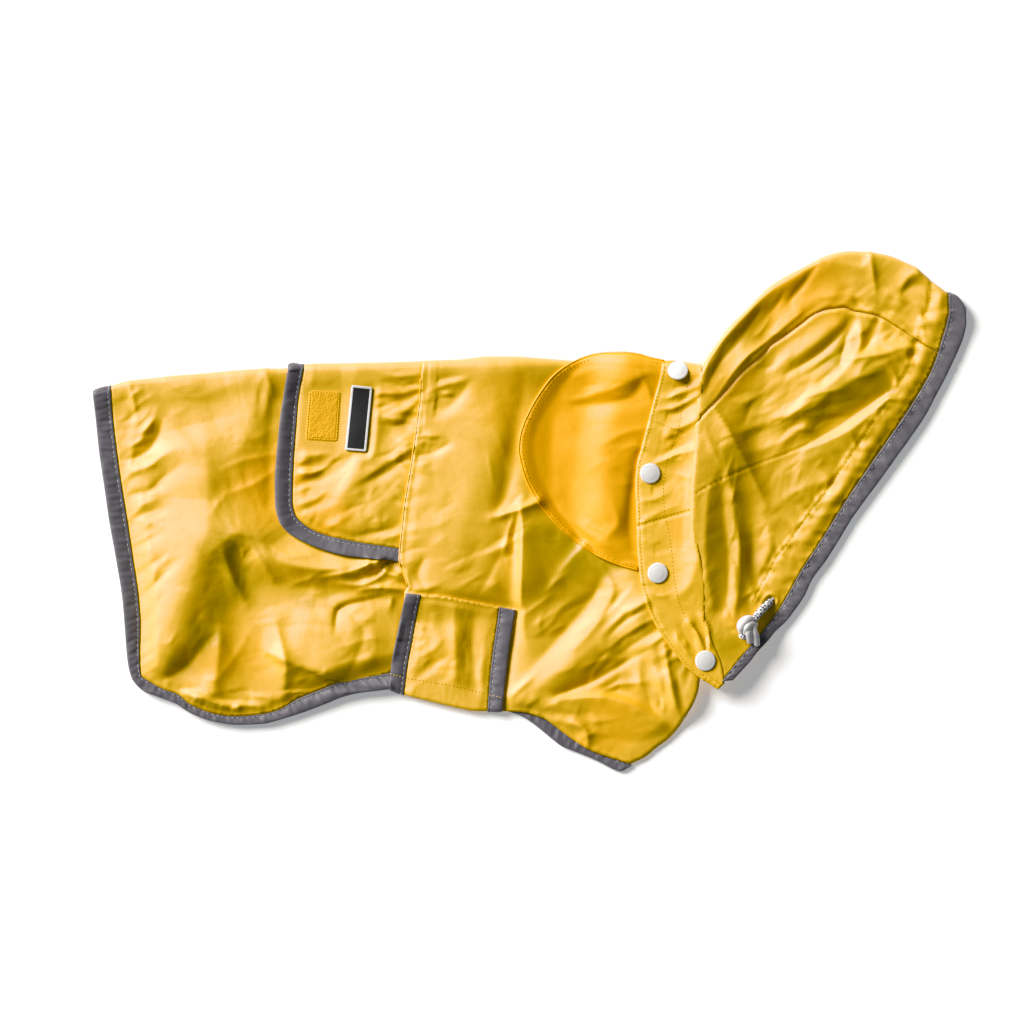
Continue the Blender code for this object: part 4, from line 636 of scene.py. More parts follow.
HOOD_FOLDS = [
    ([(716, 470, 0.3, 6, 6), (707, 500, 0.9, 6, 5), (705, 560, 1.2, 6, 5), (712, 605, 0.8, 5, 5)], 1.0, 1.3),
    ([(722, 468, -0.4, 5, 6), (722, 510, -1.6, 6, 8), (726, 560, -2.2, 6, 8), (722, 610, -1.2, 5, 7)], 1.0, 1.3),
    ([(722, 452, 0.6, 6, 6), (733, 500, 2.2, 8, 7), (739, 550, 3.2, 8, 8), (737, 595, 2.6, 6, 7), (732, 625, 0.8, 5, 5)], 0.9, 1.25),
    ([(752, 530, -0.4, 5, 6), (752, 560, -1.4, 5, 6), (756, 578, -1.8, 6, 5), (770, 573, -0.6, 5, 4)], 0.8, 1.25),
    ([(742, 598, 0.6, 4, 4), (752, 592, 1.6, 4, 4), (757, 600, 0.9, 4, 4)], 0.6, 1.2),
    ([(762, 512, 0.5, 7, 7), (770, 540, 1.5, 7, 8), (764, 566, 0.7, 6, 7)], 0.9, 1.3),
    # hollow that runs down from the seam, its far side lit
    ([(714, 409, 0.8, 4, 12), (724, 424, 3.4, 6, 18), (738, 448, 5.2, 8, 24), (752, 476, 4.6, 10, 26), (766, 506, 1.6, 10, 22)], 0.5, 1.15),
    # lit folds that fan out to the casing, on a broad rise that falls towards it
    ([(776, 392, 0.8, 30, 50), (820, 366, 1.6, 30, 60), (862, 344, 0.7, 24, 56)], 2.0, 1.5),
    ([(742, 431, 0.8, 9, 6), (780, 417, 2.8, 16, 12), (822, 397, 4.8, 22, 18), (864, 374, 4.8, 20, 20), (906, 352, 2.0, 10, 12)], 0.6, 1.25),
    ([(805, 446, -0.8, 8, 2.4), (836, 428, -2.6, 12, 2.6), (868, 406, -2.8, 12, 2.8), (893, 389, -1.2, 8, 2.6)], 0.4, 1.15),
    ([(806, 450, 1.0, 3, 7), (846, 432, 2.6, 3.6, 14), (878, 408, 2.6, 3.6, 14), (897, 391, 1.4, 3, 8)], 0.7, 1.3),
    ([(800, 400, 0.5, 3, 7), (830, 384, 1.4, 3.4, 8), (862, 356, 1.4, 4, 9), (902, 346, 0.8, 4, 6)], 0.6, 1.25),
    ([(786, 374, -0.8, 6, 3.4), (820, 353, -2.8, 9, 4), (851, 323, -1.8, 7, 4)], 0.6, 1.25),
    ([(840, 364, -0.8, 3, 3), (845, 344, -2.4, 4, 3), (853, 322, -1.4, 4, 3)], 0.5, 1.2),
    ([(862, 354, -0.6, 4, 3), (872, 338, -2.6, 5, 3), (879, 319, -1.4, 4, 3)], 0.5, 1.2),
    ([(860, 322, 0.6, 3, 4), (861, 340, 1.6, 4, 4), (852, 360, 0.8, 4, 4)], 0.5, 1.2),
    ([(770, 372, 1.2, 10, 9), (806, 350, 2.8, 12, 10), (838, 325, 1.8, 10, 8)], 1.2, 1.35),
    ([(842, 358, 0.6, 5, 3), (874, 356, 2.0, 7, 3.4), (906, 347, 1.0, 6, 3.4)], 0.6, 1.25),
    ([(888, 326, -0.5, 5, 5), (898, 336, -1.2, 6, 5), (906, 344, -0.5, 5, 4)], 0.8, 1.3),
    ([(886, 366, 0.3, 3, 3), (896, 378, 1.0, 3, 3), (894, 392, 0.4, 3, 3)], 0.5, 1.2),
    # lower field
    ([(740, 454, 0.3, 5, 6), (772, 446, 1.2, 6, 8), (804, 428, 1.4, 6, 8)], 0.9, 1.3),
    ([(784, 470, 0.6, 8, 10), (816, 456, 1.6, 8, 12), (842, 446, 0.8, 8, 10)], 1.2, 1.35),
    ([(776, 505, 0.5, 7, 8), (800, 490, 1.5, 7, 9), (826, 480, 0.8, 6, 8)], 1.0, 1.3),
    ([(820, 500, -0.3, 4, 4), (834, 480, -1.0, 4, 4), (842, 462, -0.5, 4, 4)], 0.7, 1.25),
    ([(744, 402, 0.5, 9, 10), (776, 384, 1.8, 12, 12), (802, 374, 0.9, 10, 10)], 1.6, 1.4),
    ([(744, 424, -0.3, 3, 3), (752, 404, -0.7, 3, 4), (764, 396, -0.2, 4, 4)], 0.7, 1.25),
    ([(704, 428, 0.4, 4, 4), (712, 450, 0.9, 4, 5), (724, 470, 0.4, 4, 5)], 0.7, 1.25),
    # crown
    ([(706, 364, 0.54, 5, 5), (716, 346, 0.99, 6, 6), (738, 320, 1.26, 7, 7), (766, 294, 1.26, 8, 8), (800, 276, 0.99, 8, 10)], 0.9, 1.3),
    ([(704, 392, -0.3, 2.6, 3), (718, 364, -1.2, 2.8, 3.4), (736, 342, -1.7, 3, 4), (751, 322, -1.6, 3.4, 4), (759, 311, -0.7, 3, 4)], 0.5, 1.2),
    ([(704, 404, 0.6, 7, 8), (724, 376, 1.32, 9, 9), (752, 350, 1.68, 12, 11), (786, 320, 1.68, 14, 12), (822, 299, 1.56, 14, 12), (852, 294, 1.32, 16, 14), (892, 306, 0.72, 14, 12)], 1.2, 1.35),
    ([(716, 396, 0.4, 3, 3), (742, 362, 1.3, 3.4, 3), (766, 342, 1.3, 3.4, 3), (800, 314, 0.6, 3.4, 3)], 0.5, 1.2),
    ([(815, 268, -0.6, 3, 4), (803, 284, -1.6, 4, 4), (790, 300, -0.8, 4, 4)], 0.7, 1.25),
    ([(764, 318, -0.3, 3, 3), (776, 306, -0.9, 3.4, 4), (784, 292, -0.3, 3.4, 4)], 0.6, 1.25),
    ([(834, 262, 0.6, 6, 10), (862, 268, 1.4, 4, 16), (871, 258, 0.8, 3, 10)], 0.9, 1.3),
    ([(870, 256, 0.7, 3, 4), (873, 274, 1.7, 3, 5), (876, 292, 0.6, 4, 5)], 0.5, 1.2),
    ([(854, 298, -0.8, 3, 3), (858, 303, -1.6, 3, 3), (864, 308, -0.8, 3, 3)], 0.5, 1.2),
    ([(898, 296, 0.5, 5, 4), (908, 278, 1.8, 5, 4), (924, 271, 1.4, 5, 4)], 0.7, 1.25),
    ([(903, 292, -0.6, 3, 4), (912, 284, -1.3, 3, 4), (930, 288, -0.6, 3, 4)], 0.6, 1.25),
    ([(880, 306, -0.6, 4, 5), (900, 316, -1.5, 5, 5), (914, 328, -0.8, 5, 4)], 0.8, 1.3),
    ([(862, 314, 0.3, 3, 3), (884, 321, 0.7, 3, 3), (912, 337, 0.4, 3, 3)], 0.5, 1.2),
]

# The standing fold where the hood's cloth leaves the collar: x, y, height, reach over the hood, reach over the collar.
SHOULDER = [
    (704, 370, 1.0, 8, 6), (700, 392, 1.8, 14, 8), (697.5, 420, 2.6, 20, 8), (696.5, 445, 3.4, 24, 7), (694.5, 472, 3.8, 26, 9),
    (692.5, 500, 3.8, 28, 10), (692.5, 530, 3.6, 28, 11), (696, 556, 3.4, 26, 13), (702, 578, 2.8, 22, 15), (702, 595, 2.0, 18, 14), (703, 612, 0.8, 12, 12)]

STRAP_FOLDS = [
    ([(454, 602, 1.0, 14, 12), (455, 636, 3.2, 12, 11), (456, 676, 2.0, 9, 8)], 1.0, 1.3),
    ([(434, 600, 0.5, 6, 6), (436, 632, 1.0, 8, 7), (444, 664, 0.6, 7, 7)], 1.2, 1.6),
    ([(474, 612, -0.4, 6, 6), (473, 650, -1.6, 8, 6), (476, 686, -1.4, 7, 6)], 0.9, 1.3),
    ([(484, 656, 0.3, 6, 5), (480, 676, 0.9, 7, 5), (484, 690, 0.4, 6, 4)], 1.0, 1.5),
    ([(418, 676, -0.5, 4, 4), (432, 666, -1.1, 5, 4), (446, 656, -0.3, 5, 4)], 0.8, 1.5),
    ([(416, 660, 0.5, 4, 4), (430, 652, 0.9, 5, 4), (442, 640, 0.3, 5, 4)], 0.8, 1.5),
]


# Small creases: x, y, reach across, reach down, angle, count, length, height mm, reach of each.
REAR_SMALL = [
    (140, 420, 16, 30, -35, 9, 26, 0.9, 2.6), (146, 478, 18, 26, -28, 9, 28, 0.8, 2.8), (158, 545, 22, 40, -38, 10, 30, 0.6, 3.2),
    (160, 620, 20, 36, -48, 8, 26, 0.5, 3.0), (378, 576, 24, 14, -18, 14, 24, 1.2, 2.4), (318, 586, 34, 10, -10, 7, 34, 0.7, 3.0),
    (356, 632, 36, 26, -20, 9, 34, 0.6, 3.6), (300, 612, 40, 18, -8, 6, 40, 0.5, 4.2), (230, 690, 44, 14, 8, 10, 26, 0.8, 2.6),
    (300, 676, 30, 12, -24, 7, 22, 0.9, 2.4), (266, 396, 12, 26, 84, 6, 24, 0.6, 2.6), (250, 470, 30, 40, 62, 6, 36, 0.35, 4.0),
    (190, 400, 40, 14, -12, 6, 34, 0.4, 4.0), (208, 640, 30, 26, -52, 6, 26, 0.6, 3.2), (246, 572, 16, 22, 50, 5, 22, 0.8, 3.0)]
FLAP_SMALL = [
    (396, 395, 20, 26, -14, 12, 26, 0.9, 2.4), (400, 448, 16, 24, -22, 9, 24, 0.9, 2.4), (312, 478, 16, 26, -22, 8, 24, 0.7, 2.6),
    (350, 498, 34, 20, -30, 8, 30, 0.7, 3.4), (376, 530, 26, 12, -22, 7, 24, 0.7, 2.6), (348, 462, 26, 16, -20, 6, 30, 0.6, 3.2)]
FRONT_SMALL = [
    (436, 396, 18, 22, -8, 9, 24, 0.9, 2.6), (430, 450, 16, 18, -12, 8, 24, 0.9, 2.4), (470, 560, 36, 34, -30, 9, 34, 0.5, 3.6),
    (512, 520, 20, 24, -28, 8, 26, 0.9, 2.4), (508, 545, 8, 26, 82, 5, 26, 0.8, 2.4), (568, 610, 34, 30, -42, 10, 34, 0.7, 3.2),
    (624, 618, 26, 22, -42, 10, 30, 0.9, 2.4), (600, 668, 40, 26, -34, 10, 34, 0.8, 3.0), (660, 676, 18, 36, 72, 10, 30, 0.9, 2.6),
    (610, 722, 50, 18, -14, 8, 32, 0.6, 3.4), (540, 700, 24, 10, -24, 7, 22, 0.8, 2.4), (500, 440, 14, 44, 70, 6, 34, 0.5, 3.6),
    (560, 540, 26, 16, 34, 5, 30, 0.5, 3.4), (436, 520, 22, 34, -40, 6, 34, 0.4, 4.0), (566, 722, 24, 8, 20, 6, 18, 0.8, 2.2)]
DISC_SMALL = [
    (606, 398, 34, 16, -12, 6, 28, 0.5, 3.0), (622, 470, 18, 34, -30, 6, 24, 0.4, 3.0), (570, 470, 26, 44, 50, 5, 34, 0.3, 4.2),
    (600, 530, 24, 16, 30, 5, 22, 0.4, 2.8)]
BAND_SMALL = [
    (674, 404, 14, 18, -16, 8, 18, 0.6, 2.0), (670, 450, 14, 18, -22, 6, 18, 0.7, 2.0), (656, 520, 10, 40, -18, 7, 16, 0.4, 2.2),
    (690, 636, 14, 14, 62, 7, 18, 0.8, 1.9), (666, 600, 12, 16, 30, 4, 16, 0.4, 2.4)]
HOOD_SMALL = [
    (840, 392, 50, 34, -30, 16, 40, 1.0, 2.8), (800, 424, 46, 22, -24, 9, 36, 0.8, 3.0), (866, 340, 34, 16, -30, 9, 28, 0.9, 2.6),
    (724, 530, 20, 60, 84, 10, 34, 0.9, 2.8), (760, 560, 22, 34, 96, 7, 26, 0.7, 2.8), (800, 480, 34, 26, -42, 8, 34, 0.6, 3.4),
    (750, 350, 34, 34, -44, 9, 36, 0.8, 2.8), (830, 290, 44, 20, -16, 8, 34, 0.6, 3.4), (896, 304, 20, 18, 32, 7, 22, 0.8, 2.6),
    (738, 440, 20, 30, -30, 6, 28, 0.6, 3.2), (738, 622, 18, 18, 66, 8, 20, 0.8, 2.2), (780, 400, 34, 20, -28, 6, 34, 0.6, 3.4)]
STRAP_SMALL = [
    (428, 640, 10, 36, -24, 8, 18, 0.4, 2.2), (470, 650, 14, 36, 78, 7, 26, 0.35, 2.8), (440, 670, 22, 12, -34, 6, 20, 0.4, 2.2)]

# Light painted into the cloth's colour, as x, y, reach, strength. Spots pushed to orange are painted warm light,
# standing in for light that shines through a second layer or bounces deep between folds. Spots pushed to dark olive are
# painted shade.
PAINTED_WARM_LIGHT = [
    (268, 478, 62, 0.9), (236, 650, 52, 0.6), (330, 518, 42, 0.8), (402, 396, 30, 0.5), (503, 402, 46, 0.55), (508, 450, 36, 0.4),
    (612, 718, 62, 0.8), (792, 296, 74, 0.9), (724, 384, 34, 0.6), (440, 664, 32, 0.6), (744, 606, 28, 0.4), (160, 566, 26, 0.4)]
# painted shade: the cloth's colour darkened to olive in pockets, valleys and slopes that lie in shade
PAINTED_SHADE = [
    (232, 556, 32, 0.95), (244, 578, 34, 0.95), (218, 600, 34, 0.8), (200, 630, 28, 0.75), (184, 656, 22, 0.7), (262, 592, 34, 0.6),
    (300, 590, 26, 0.5), (336, 588, 22, 0.5), (300, 692, 24, 0.6), (326, 690, 18, 0.5),
    (546, 536, 42, 0.6), (580, 548, 50, 0.8), (614, 552, 44, 0.75), (560, 590, 44, 0.35), (684, 668, 28, 0.7), (672, 700, 26, 0.4), (620, 684, 28, 0.35),
    (800, 350, 30, 0.45), (834, 346, 32, 0.7), (822, 412, 40, 0.65), (856, 404, 44, 0.8), (880, 380, 30, 0.6), (812, 448, 44, 0.5), (796, 500, 44, 0.4),
    (742, 462, 30, 0.55), (730, 540, 34, 0.45), (744, 590, 30, 0.35), (720, 640, 28, 0.55), (480, 660, 22, 0.3), (430, 676, 20, 0.3)]
# painted warm light on the collar band
PAINTED_BAND_WARM_LIGHT = [(682, 444, 24, 0.8), (686, 528, 30, 0.9), (690, 384, 22, 0.6)]


def panel_relief(rows, puff=0.0):
    return ridges(rows, puff)


rear = panel_relief(REAR_FOLDS, 0.7)
creases(rear, REAR_SMALL, 201)
puckers(rear, [(r[0], r[1]) for r in TAIL_TAPE[:10]], 3, 6.5, 20, 0.8, 1.7, slant=0.5, inward=-1.0, keep=0.9)
puckers(rear, [(r[0], r[1]) for r in TAIL_TAPE[9:20]], 5, 5.5, 12, 0.9, 1.6, slant=0.0, inward=-1.0, keep=0.9)
puckers(rear, [(408, 562), (392, 562), (376, 559), (364, 558)], 6, 5.0, 16, 1.0, 1.6, inward=-1.0)
rear += 0.35 * (crumple(40, 21, 1.6, 0.9) - 0.4) + 0.07 * (crumple(13, 25) - 0.4)
edge_rear = distance(np.vstack([np.array(TAIL_TAPE)[:, :2]]), 60, 5)
rear = smax(rear, 0.0, 1.4) * (0.12 + 0.88 * ease(edge_rear / np.where(Y > 690, 11.0, 20.0)))
hem_over = np.zeros(X.shape)

flap = panel_relief(FLAP_FOLDS, 1.0)
creases(flap, FLAP_SMALL, 202)
puckers(flap, [(r[0], r[1]) for r in FLAP_TAPE], 9, 6.0, 15, 0.55, 1.6, slant=0.3, inward=-1.0, keep=0.85)
puckers(flap, FRONT_EDGE[1:8], 12, 6.5, 22, 0.7, 2.0, slant=-0.3, inward=1.0, keep=0.8)
flap += 0.3 * (crumple(30, 31, 1.7, -0.5) - 0.4) + 0.07 * (crumple(12, 35) - 0.4)
flap_edge = distance(flap_inner, 60, 5)
flap = smax(flap, 0.0, 0.8) * (0.1 + 0.9 * ease(flap_edge / 12.0))
patch_rows = [(305, 390), (372, 388), (366, 452), (302, 441)]
patch_in = inside(patch_rows, X, Y)
patch_soft = ease(1 - distance(patch_rows, 20, 4, True) / 9.0)
patch_soft = np.where(patch_in, 1.0, patch_soft)
flap = flap * (1 - patch_soft) + patch_soft * (0.75 + 0.35 * noise(26, 44))

front = panel_relief(FRONT_FOLDS, 0.8)
creases(front, FRONT_SMALL, 203)
puckers(front, FRONT_EDGE[1:12], 15, 8.0, 26, 0.6, 2.6, slant=0.25, inward=-1.0, keep=0.8)
puckers(front, [(655, 625), (663, 638), (672, 650), (683, 664), (693, 673)], 17, 5.0, 22, 0.9, 1.8, slant=0.2, inward=1.0, keep=0.9)
puckers(front, [(h[0], h[1]) for h in HEM_FRONT[5:]], 18, 5.0, 12, 0.8, 1.7, slant=0.0, inward=-1.0, keep=0.9)
front += 0.35 * (crumple(42, 51, 1.5, 0.7) - 0.4) + 0.07 * (crumple(14, 55) - 0.4)
front = smax(front, 0.0, 1.2)
front_rim = distance(np.vstack([curve(HEM_FRONT[4:], 5), curve(CHEST_FOLD, 5)[1:]]), 60, 5)
front *= 0.25 + 0.75 * ease(front_rim / 18.0)
front_back = distance(FRONT_EDGE, 40, 5)
front *= 0.35 + 0.65 * ease(front_back / 14.0)
front += 0.3 * fade(front_back, 4.0, 5.4) - 0.15 * np.exp(-(((front_back - 4.9) / 0.9) ** 2))

disc = panel_relief(DISC_FOLDS, 1.2)
creases(disc, DISC_SMALL, 204)
disc += 0.3 * (crumple(50, 61, 1.4, 0.3) - 0.4) + 0.04 * (crumple(12, 65) - 0.4)
disc_edge = distance(DISC, 60, 4)
disc = smax(disc, 0.0, 0.8) * (0.15 + 0.85 * ease(disc_edge / 16.0))
disc -= 0.3 * np.exp(-(((disc_edge - 3.8) / 1.4) ** 2))

band = panel_relief(BAND_FOLDS, 0.5)
creases(band, BAND_SMALL, 205)
puckers(band, [(r[0], r[1]) for r in BAND_TAPE[:-1]], 71, 5.5, 9, 0.35, 1.4, inward=-1.0, keep=0.8)
band += 0.15 * (crumple(16, 73, 1.4, 0.2) - 0.4)
band_edge = distance([(r[0], r[1]) for r in BAND_TAPE], 60, 4)
shoulder = ridges([(SHOULDER, 0.9, 1.3)])
band_keep = 0.15 + 0.85 * ease(band_edge / 8.0)
band = smax(band, 0.0, 0.6) * band_keep + shoulder * band_keep
BAND_JOINS = [[(647, 421), (665, 428), (683, 434.5)], [(637, 526.5), (662, 519), (690, 511)]]
for join in BAND_JOINS:
    band -= 0.4 * np.exp(-((distance(join, 12, 3) / 1.3) ** 2))
band -= 0.22 * np.exp(-(((band_edge - 3.2) / 1.3) ** 2))

hood = panel_relief(HOOD_FOLDS, 1.0)
creases(hood, HOOD_SMALL, 206)
casing_out = [(r[0], r[1]) for r in HOOD_TAPE]
puckers(hood, CASING[3:], 81, 8.0, 24, 0.7, 2.6, slant=-0.35, inward=1.0, keep=0.85)
puckers(hood, CASING[:6], 82, 5.0, 12, 0.8, 1.7, slant=0.0, inward=1.0, keep=0.85)
hood += 0.35 * (crumple(36, 91, 1.7, -0.6) - 0.4) + 0.07 * (crumple(12, 95) - 0.4)
band_near = distance(band_front, 60, 5)
hood = smax(hood, 0.0, 1.0) + shoulder
hood_rim = distance(casing_out, 60, 5)
hood *= 0.2 + 0.8 * ease(hood_rim / 26.0)
# casing: a soft tube between its stitch line and the binding, gathered on the cord
casing_d = distance(CASING, 40, 4)
casing_in = ease(1 - np.abs(casing_d - hood_rim) / (casing_d + hood_rim + 1e-6)) * fade(casing_d + hood_rim, 22, 34)
tube = 1.5 * casing_in
gather = np.zeros(X.shape)
puckers(gather, CASING, 84, 9.5, 20, 1.15, 2.8, slant=0.45, inward=-1.0, keep=0.95)
puckers(gather, casing_out[1:], 85, 9.5, 16, 0.95, 2.3, slant=0.45, inward=1.0, keep=0.9)
hood += tube + gather * fade(casing_d + hood_rim, 24, 40)
# pressed seams
crown_d = distance(CROWN, 30, 4)
hood -= 0.8 * np.exp(-((crown_d / 1.7) ** 2)) - 0.4 * np.exp(-((crown_d / 6.0) ** 2))
dart_d = distance(DART, 20, 4)
hood -= 0.55 * np.exp(-((dart_d / 1.3) ** 2)) - 0.25 * np.exp(-((dart_d / 4.5) ** 2))
hood -= 0.4 * np.exp(-((casing_d / 1.2) ** 2))
SLIT = [(770.8, 601.2), (767.5, 604.8)]
slit_d = distance(SLIT, 20, 1.0)
hood -= 2.4 * np.exp(-((slit_d / 4.6) ** 4)) - 0.7 * np.exp(-(((slit_d - 6.4) / 1.8) ** 2))
hood = smax(hood, 0.0, 0.5)
hood += (2 * LAYER - 0.5) * ease(1 - band_near / 44.0)          # its seam lies on the collar band

# ---------------------------------------------------------------- tops of the stacked layers
under_flap = inside(flap_loop, X, Y)
flap_out_d = distance(flap_outer, 60, 5)
rear_mask = np.where(under_flap, 1 - 0.85 * ease((flap_out_d - 2) / 12.0), 1.0)
rear_top = FLAT + rear * rear_mask
flap_mask = fade(PAST, -1.0, 5.0)
flap_top_free = FLAT + LAYER + rear * rear_mask * 0.9 + flap
flap_top_free = smax(flap_top_free, rear_top + 0.8, 0.5)
front_over = np.where(PAST > -16, 1.0, 0.0)
front_top = FLAT + OVER_FLAP + front
front_top = smax(front_top, np.where((PAST < 10) & (Y < 566), flap_top_free + 0.9, -50), 0.6)
front_top = smax(front_top, np.where((PAST < 10) & (Y < 640), rear_top + 0.9, -50), 0.6)
flap_top = flap_top_free - 1.2 * (1 - flap_mask)
rear_top = rear_top - 1.2 * ease((PAST - 1) / 6.0)

disc_in = inside(np.vstack([curve(DISC, 5), [(700, 570), (700, 361)]]), X, Y)
front_mask = np.where(disc_in, 1 - 0.85 * ease((disc_edge - 2) / 14.0), 1.0)
band_out_d = distance([(r[0], r[1]) for r in BAND_TAPE], 60, 5)
in_band = inside(np.vstack([band_rear, [(730, 689), (730, 335), (662, 335)]]), X, Y)
front_mask = front_mask * np.where(in_band, 1 - 0.9 * ease((band_out_d - 2) / 10.0), 1.0)
front_low = FLAT + OVER_FLAP + (front_top - FLAT - OVER_FLAP) * front_mask
disc_top = smax(DISC_FLAT + LAYER + disc, front_low + 0.8, 0.6)
band_top = FLAT + 2 * LAYER + band
band_top = smax(band_top, np.where(band_out_d < 16, front_low + 0.9, -50), 0.6)
band_top = smax(band_top, np.where((band_out_d < 16) & (Y < 585), disc_top + 0.7, -50), 0.6)
front_top = front_low
hood_top = FLAT + hood
hood_top = smax(hood_top, np.where(band_near < 14, band_top - 0.1 - 0.1 * band_near, -50), 0.3)
strap = panel_relief(STRAP_FOLDS, 0.9)
creases(strap, STRAP_SMALL, 207)
puckers(strap, [(r[2], r[3]) for r in STRAP_LEFT], 101, 4.5, 13, 0.6, 1.5, slant=-0.35, inward=-1.0, keep=0.9)
puckers(strap, [(r[0], r[1]) for r in STRAP_RIGHT], 102, 6.0, 9, 0.4, 1.5, slant=0.3, inward=1.0, keep=0.8)
strap += 0.2 * (crumple(20, 103, 1.6, 1.3) - 0.4)
strap_edge = np.minimum(distance([(r[2], r[3]) for r in STRAP_LEFT], 40, 5), distance([(r[0], r[1]) for r in STRAP_RIGHT], 40, 5))
strap_edge = np.minimum(strap_edge, distance(STRAP_TOP, 40, 5))
strap = smax(strap, 0.0, 0.6) * (0.1 + 0.9 * ease(strap_edge / 10.0))
strap_ext = np.vstack([curve(STRAP_TOP, 5), curve([(516, 610), (509.5, 650), (502.5, 711.5)], 5), [(502, 740), (380, 740)], curve([(388.5, 689), (396, 640), (406, 593)], 5)])
on_strap = inside(strap_ext, X, Y)
strap_out = distance(np.vstack([strap_ext, strap_ext[:1]]), 60, 6)
front_mask2 = np.where(on_strap, 1 - 0.95 * ease((strap_out - 1) / 8.0), 1 - 0.45 * ease(1 - strap_out / 10.0))
front_top = FLAT + OVER_FLAP + (front_top - FLAT - OVER_FLAP) * front_mask2
rear_top = FLAT + (rear_top - FLAT) * np.where(on_strap, 1 - 0.9 * ease(strap_out / 8.0), 1.0)
strap_top = FLAT + OVER_FLAP + LAYER + strap
strap_top = smax(strap_top, np.where(strap_out < 10, np.maximum(front_top, rear_top) + 0.7, -50), 0.6)

# rounded turn of the chest into the lower side
chest_d = distance(CHEST_FOLD, 40, 4) * UNIT
LOWER = LIFT + GROUND
low_folds = [
    ([(150, 440, 0.5, 10, 10), (200, 520, 1.0, 14, 12), (220, 640, 0.6, 10, 10)], 2.0, 1.6),
    ([(240, 400, 0.4, 8, 8), (300, 470, 0.9, 10, 12), (330, 600, 0.6, 9, 9)], 2.0, 1.6),
    ([(150, 600, 0.5, 8, 8), (230, 640, 0.9, 9, 10), (330, 650, 0.5, 8, 8)], 2.0, 1.6),
    ([(430, 400, 0.4, 8, 8), (480, 500, 0.9, 12, 12), (520, 640, 0.6, 9, 9)], 2.0, 1.6),
    ([(540, 660, 0.4, 7, 7), (600, 620, 0.9, 9, 10), (650, 590, 0.6, 8, 8)], 1.6, 1.6),
    ([(560, 720, 0.4, 6, 6), (610, 700, 0.9, 8, 8), (680, 690, 0.5, 6, 6)], 1.6, 1.6),
    ([(540, 400, 0.4, 9, 9), (590, 470, 0.9, 12, 12), (620, 560, 0.5, 9, 9)], 2.0, 1.6),
    ([(720, 400, 0.5, 8, 8), (745, 480, 1.0, 10, 10), (740, 590, 0.6, 8, 8)], 1.6, 1.6),
    ([(760, 440, 0.5, 8, 8), (830, 390, 1.0, 10, 10), (900, 350, 0.6, 8, 8)], 1.6, 1.6),
    ([(760, 340, 0.4, 8, 8), (830, 300, 0.8, 9, 9), (900, 300, 0.4, 8, 8)], 1.6, 1.6),
    ([(780, 540, 0.4, 7, 7), (830, 470, 0.9, 8, 8), (880, 410, 0.5, 7, 7)], 1.6, 1.6),
]
lower_relief = ridges(low_folds, 0.15) + 0.45 * (crumple(30, 111, 1.5, 0.6) - 0.3)
lower_relief = np.clip(smax(lower_relief, 0.0, 0.3), 0, 1.15) * np.clip(BELOW / 8.0, 0, 1)
LOWER = LOWER + lower_relief
half_gap = 0.5 * (FLAT + OVER_FLAP - LIFT - GROUND)
roll = np.clip(chest_d / 2.6, 0, 1)
roll = np.sqrt(np.clip(1 - (1 - roll) ** 2, 0, 1))
middle = 0.5 * (FLAT + OVER_FLAP + LIFT + GROUND)
chest_side = inside(np.vstack([[(560, 800)], [(560, 640)], [(690, 600)], curve(CHEST_FOLD, 6)[::-1]]), X, Y) | (chest_d < 9)
front_top = np.where(chest_side, middle + (front_top - middle) * roll, front_top)


# ---------------------------------------------------------------- pushes sideways, where a fold hangs over
def pushes(rows_list):
    dx, dy = np.zeros(X.shape), np.zeros(X.shape)
    for rows, e, p, ax, ay in rows_list:
        field = np.zeros(X.shape)
        ridge(field, rows, e, p)
        dx += field * ax
        dy += field * ay
    return dx, dy


BAND_PUSH = pushes([
    ([(701, 386, 0.3, 2, 6), (697.5, 430, 0.9, 2, 7), (694, 500, 1.2, 2, 8), (697, 560, 1.0, 2, 8), (702, 600, 0.3, 2, 6)], 1.0, 1.5, 1.0, 0.0),
])
REAR_PUSH = pushes([
    ([(272, 655, 0.4, 6, 4), (300, 662, 2.0, 8, 4), (340, 675, 2.6, 8, 4), (388, 686, 2.2, 8, 4)], 1.5, 1.8, -0.15, -1.0),
])
FRONT_PUSH = pushes([
    ([(528, 710, 0.6, 9, 3), (556, 723, 2.6, 10, 3), (584, 742, 2.8, 10, 3), (606, 754, 1.4, 9, 3), (622, 760, 0.4, 8, 3)], 1.0, 1.5, -0.3, -0.85),
])


# ---------------------------------------------------------------- sheets in space
def mapped(top, low, push=None):
    """Places points of a sheet, given by x and by their depth below the spine's turn, in mm."""

    def at(x, s, h=0.0):
        x, s = np.asarray(x, float), np.asarray(s, float)
        h = np.broadcast_to(np.asarray(h, float), x.shape)
        turn = mm_y(turn_px(px_x(x)))
        depth = np.where(s >= 0, s, np.maximum(0, -s - FOLD_LEN))
        y = turn - depth
        zu, zl = look_up(top, x, y), look_up(low, x, y)
        angle = math.pi * np.clip(-s / FOLD_LEN, 0, 1)
        mid, half = 0.5 * (zu + zl), 0.5 * (zu - zl)
        out_y = y + (half + h) * np.sin(angle)
        z = np.maximum(mid + (half + h) * np.cos(angle), 0.03)
        out_x = x
        if push is not None:
            keep = ease((s + 0.0) / 6.0) * (s > 0)
            out_x = x + look_up(push[0], x, y) * keep
            out_y = out_y + look_up(push[1], x, y) * keep
        return np.stack([out_x, out_y, z], axis=-1)

    return at


def to_sheet(px_pts):
    """Grid points to sheet coordinates (x mm, depth below the turn mm)."""
    px_pts = np.asarray(px_pts, float)
    return np.stack([mm_x(px_pts[:, 0]), (px_pts[:, 1] - turn_px(px_pts[:, 0])) * UNIT], axis=1)


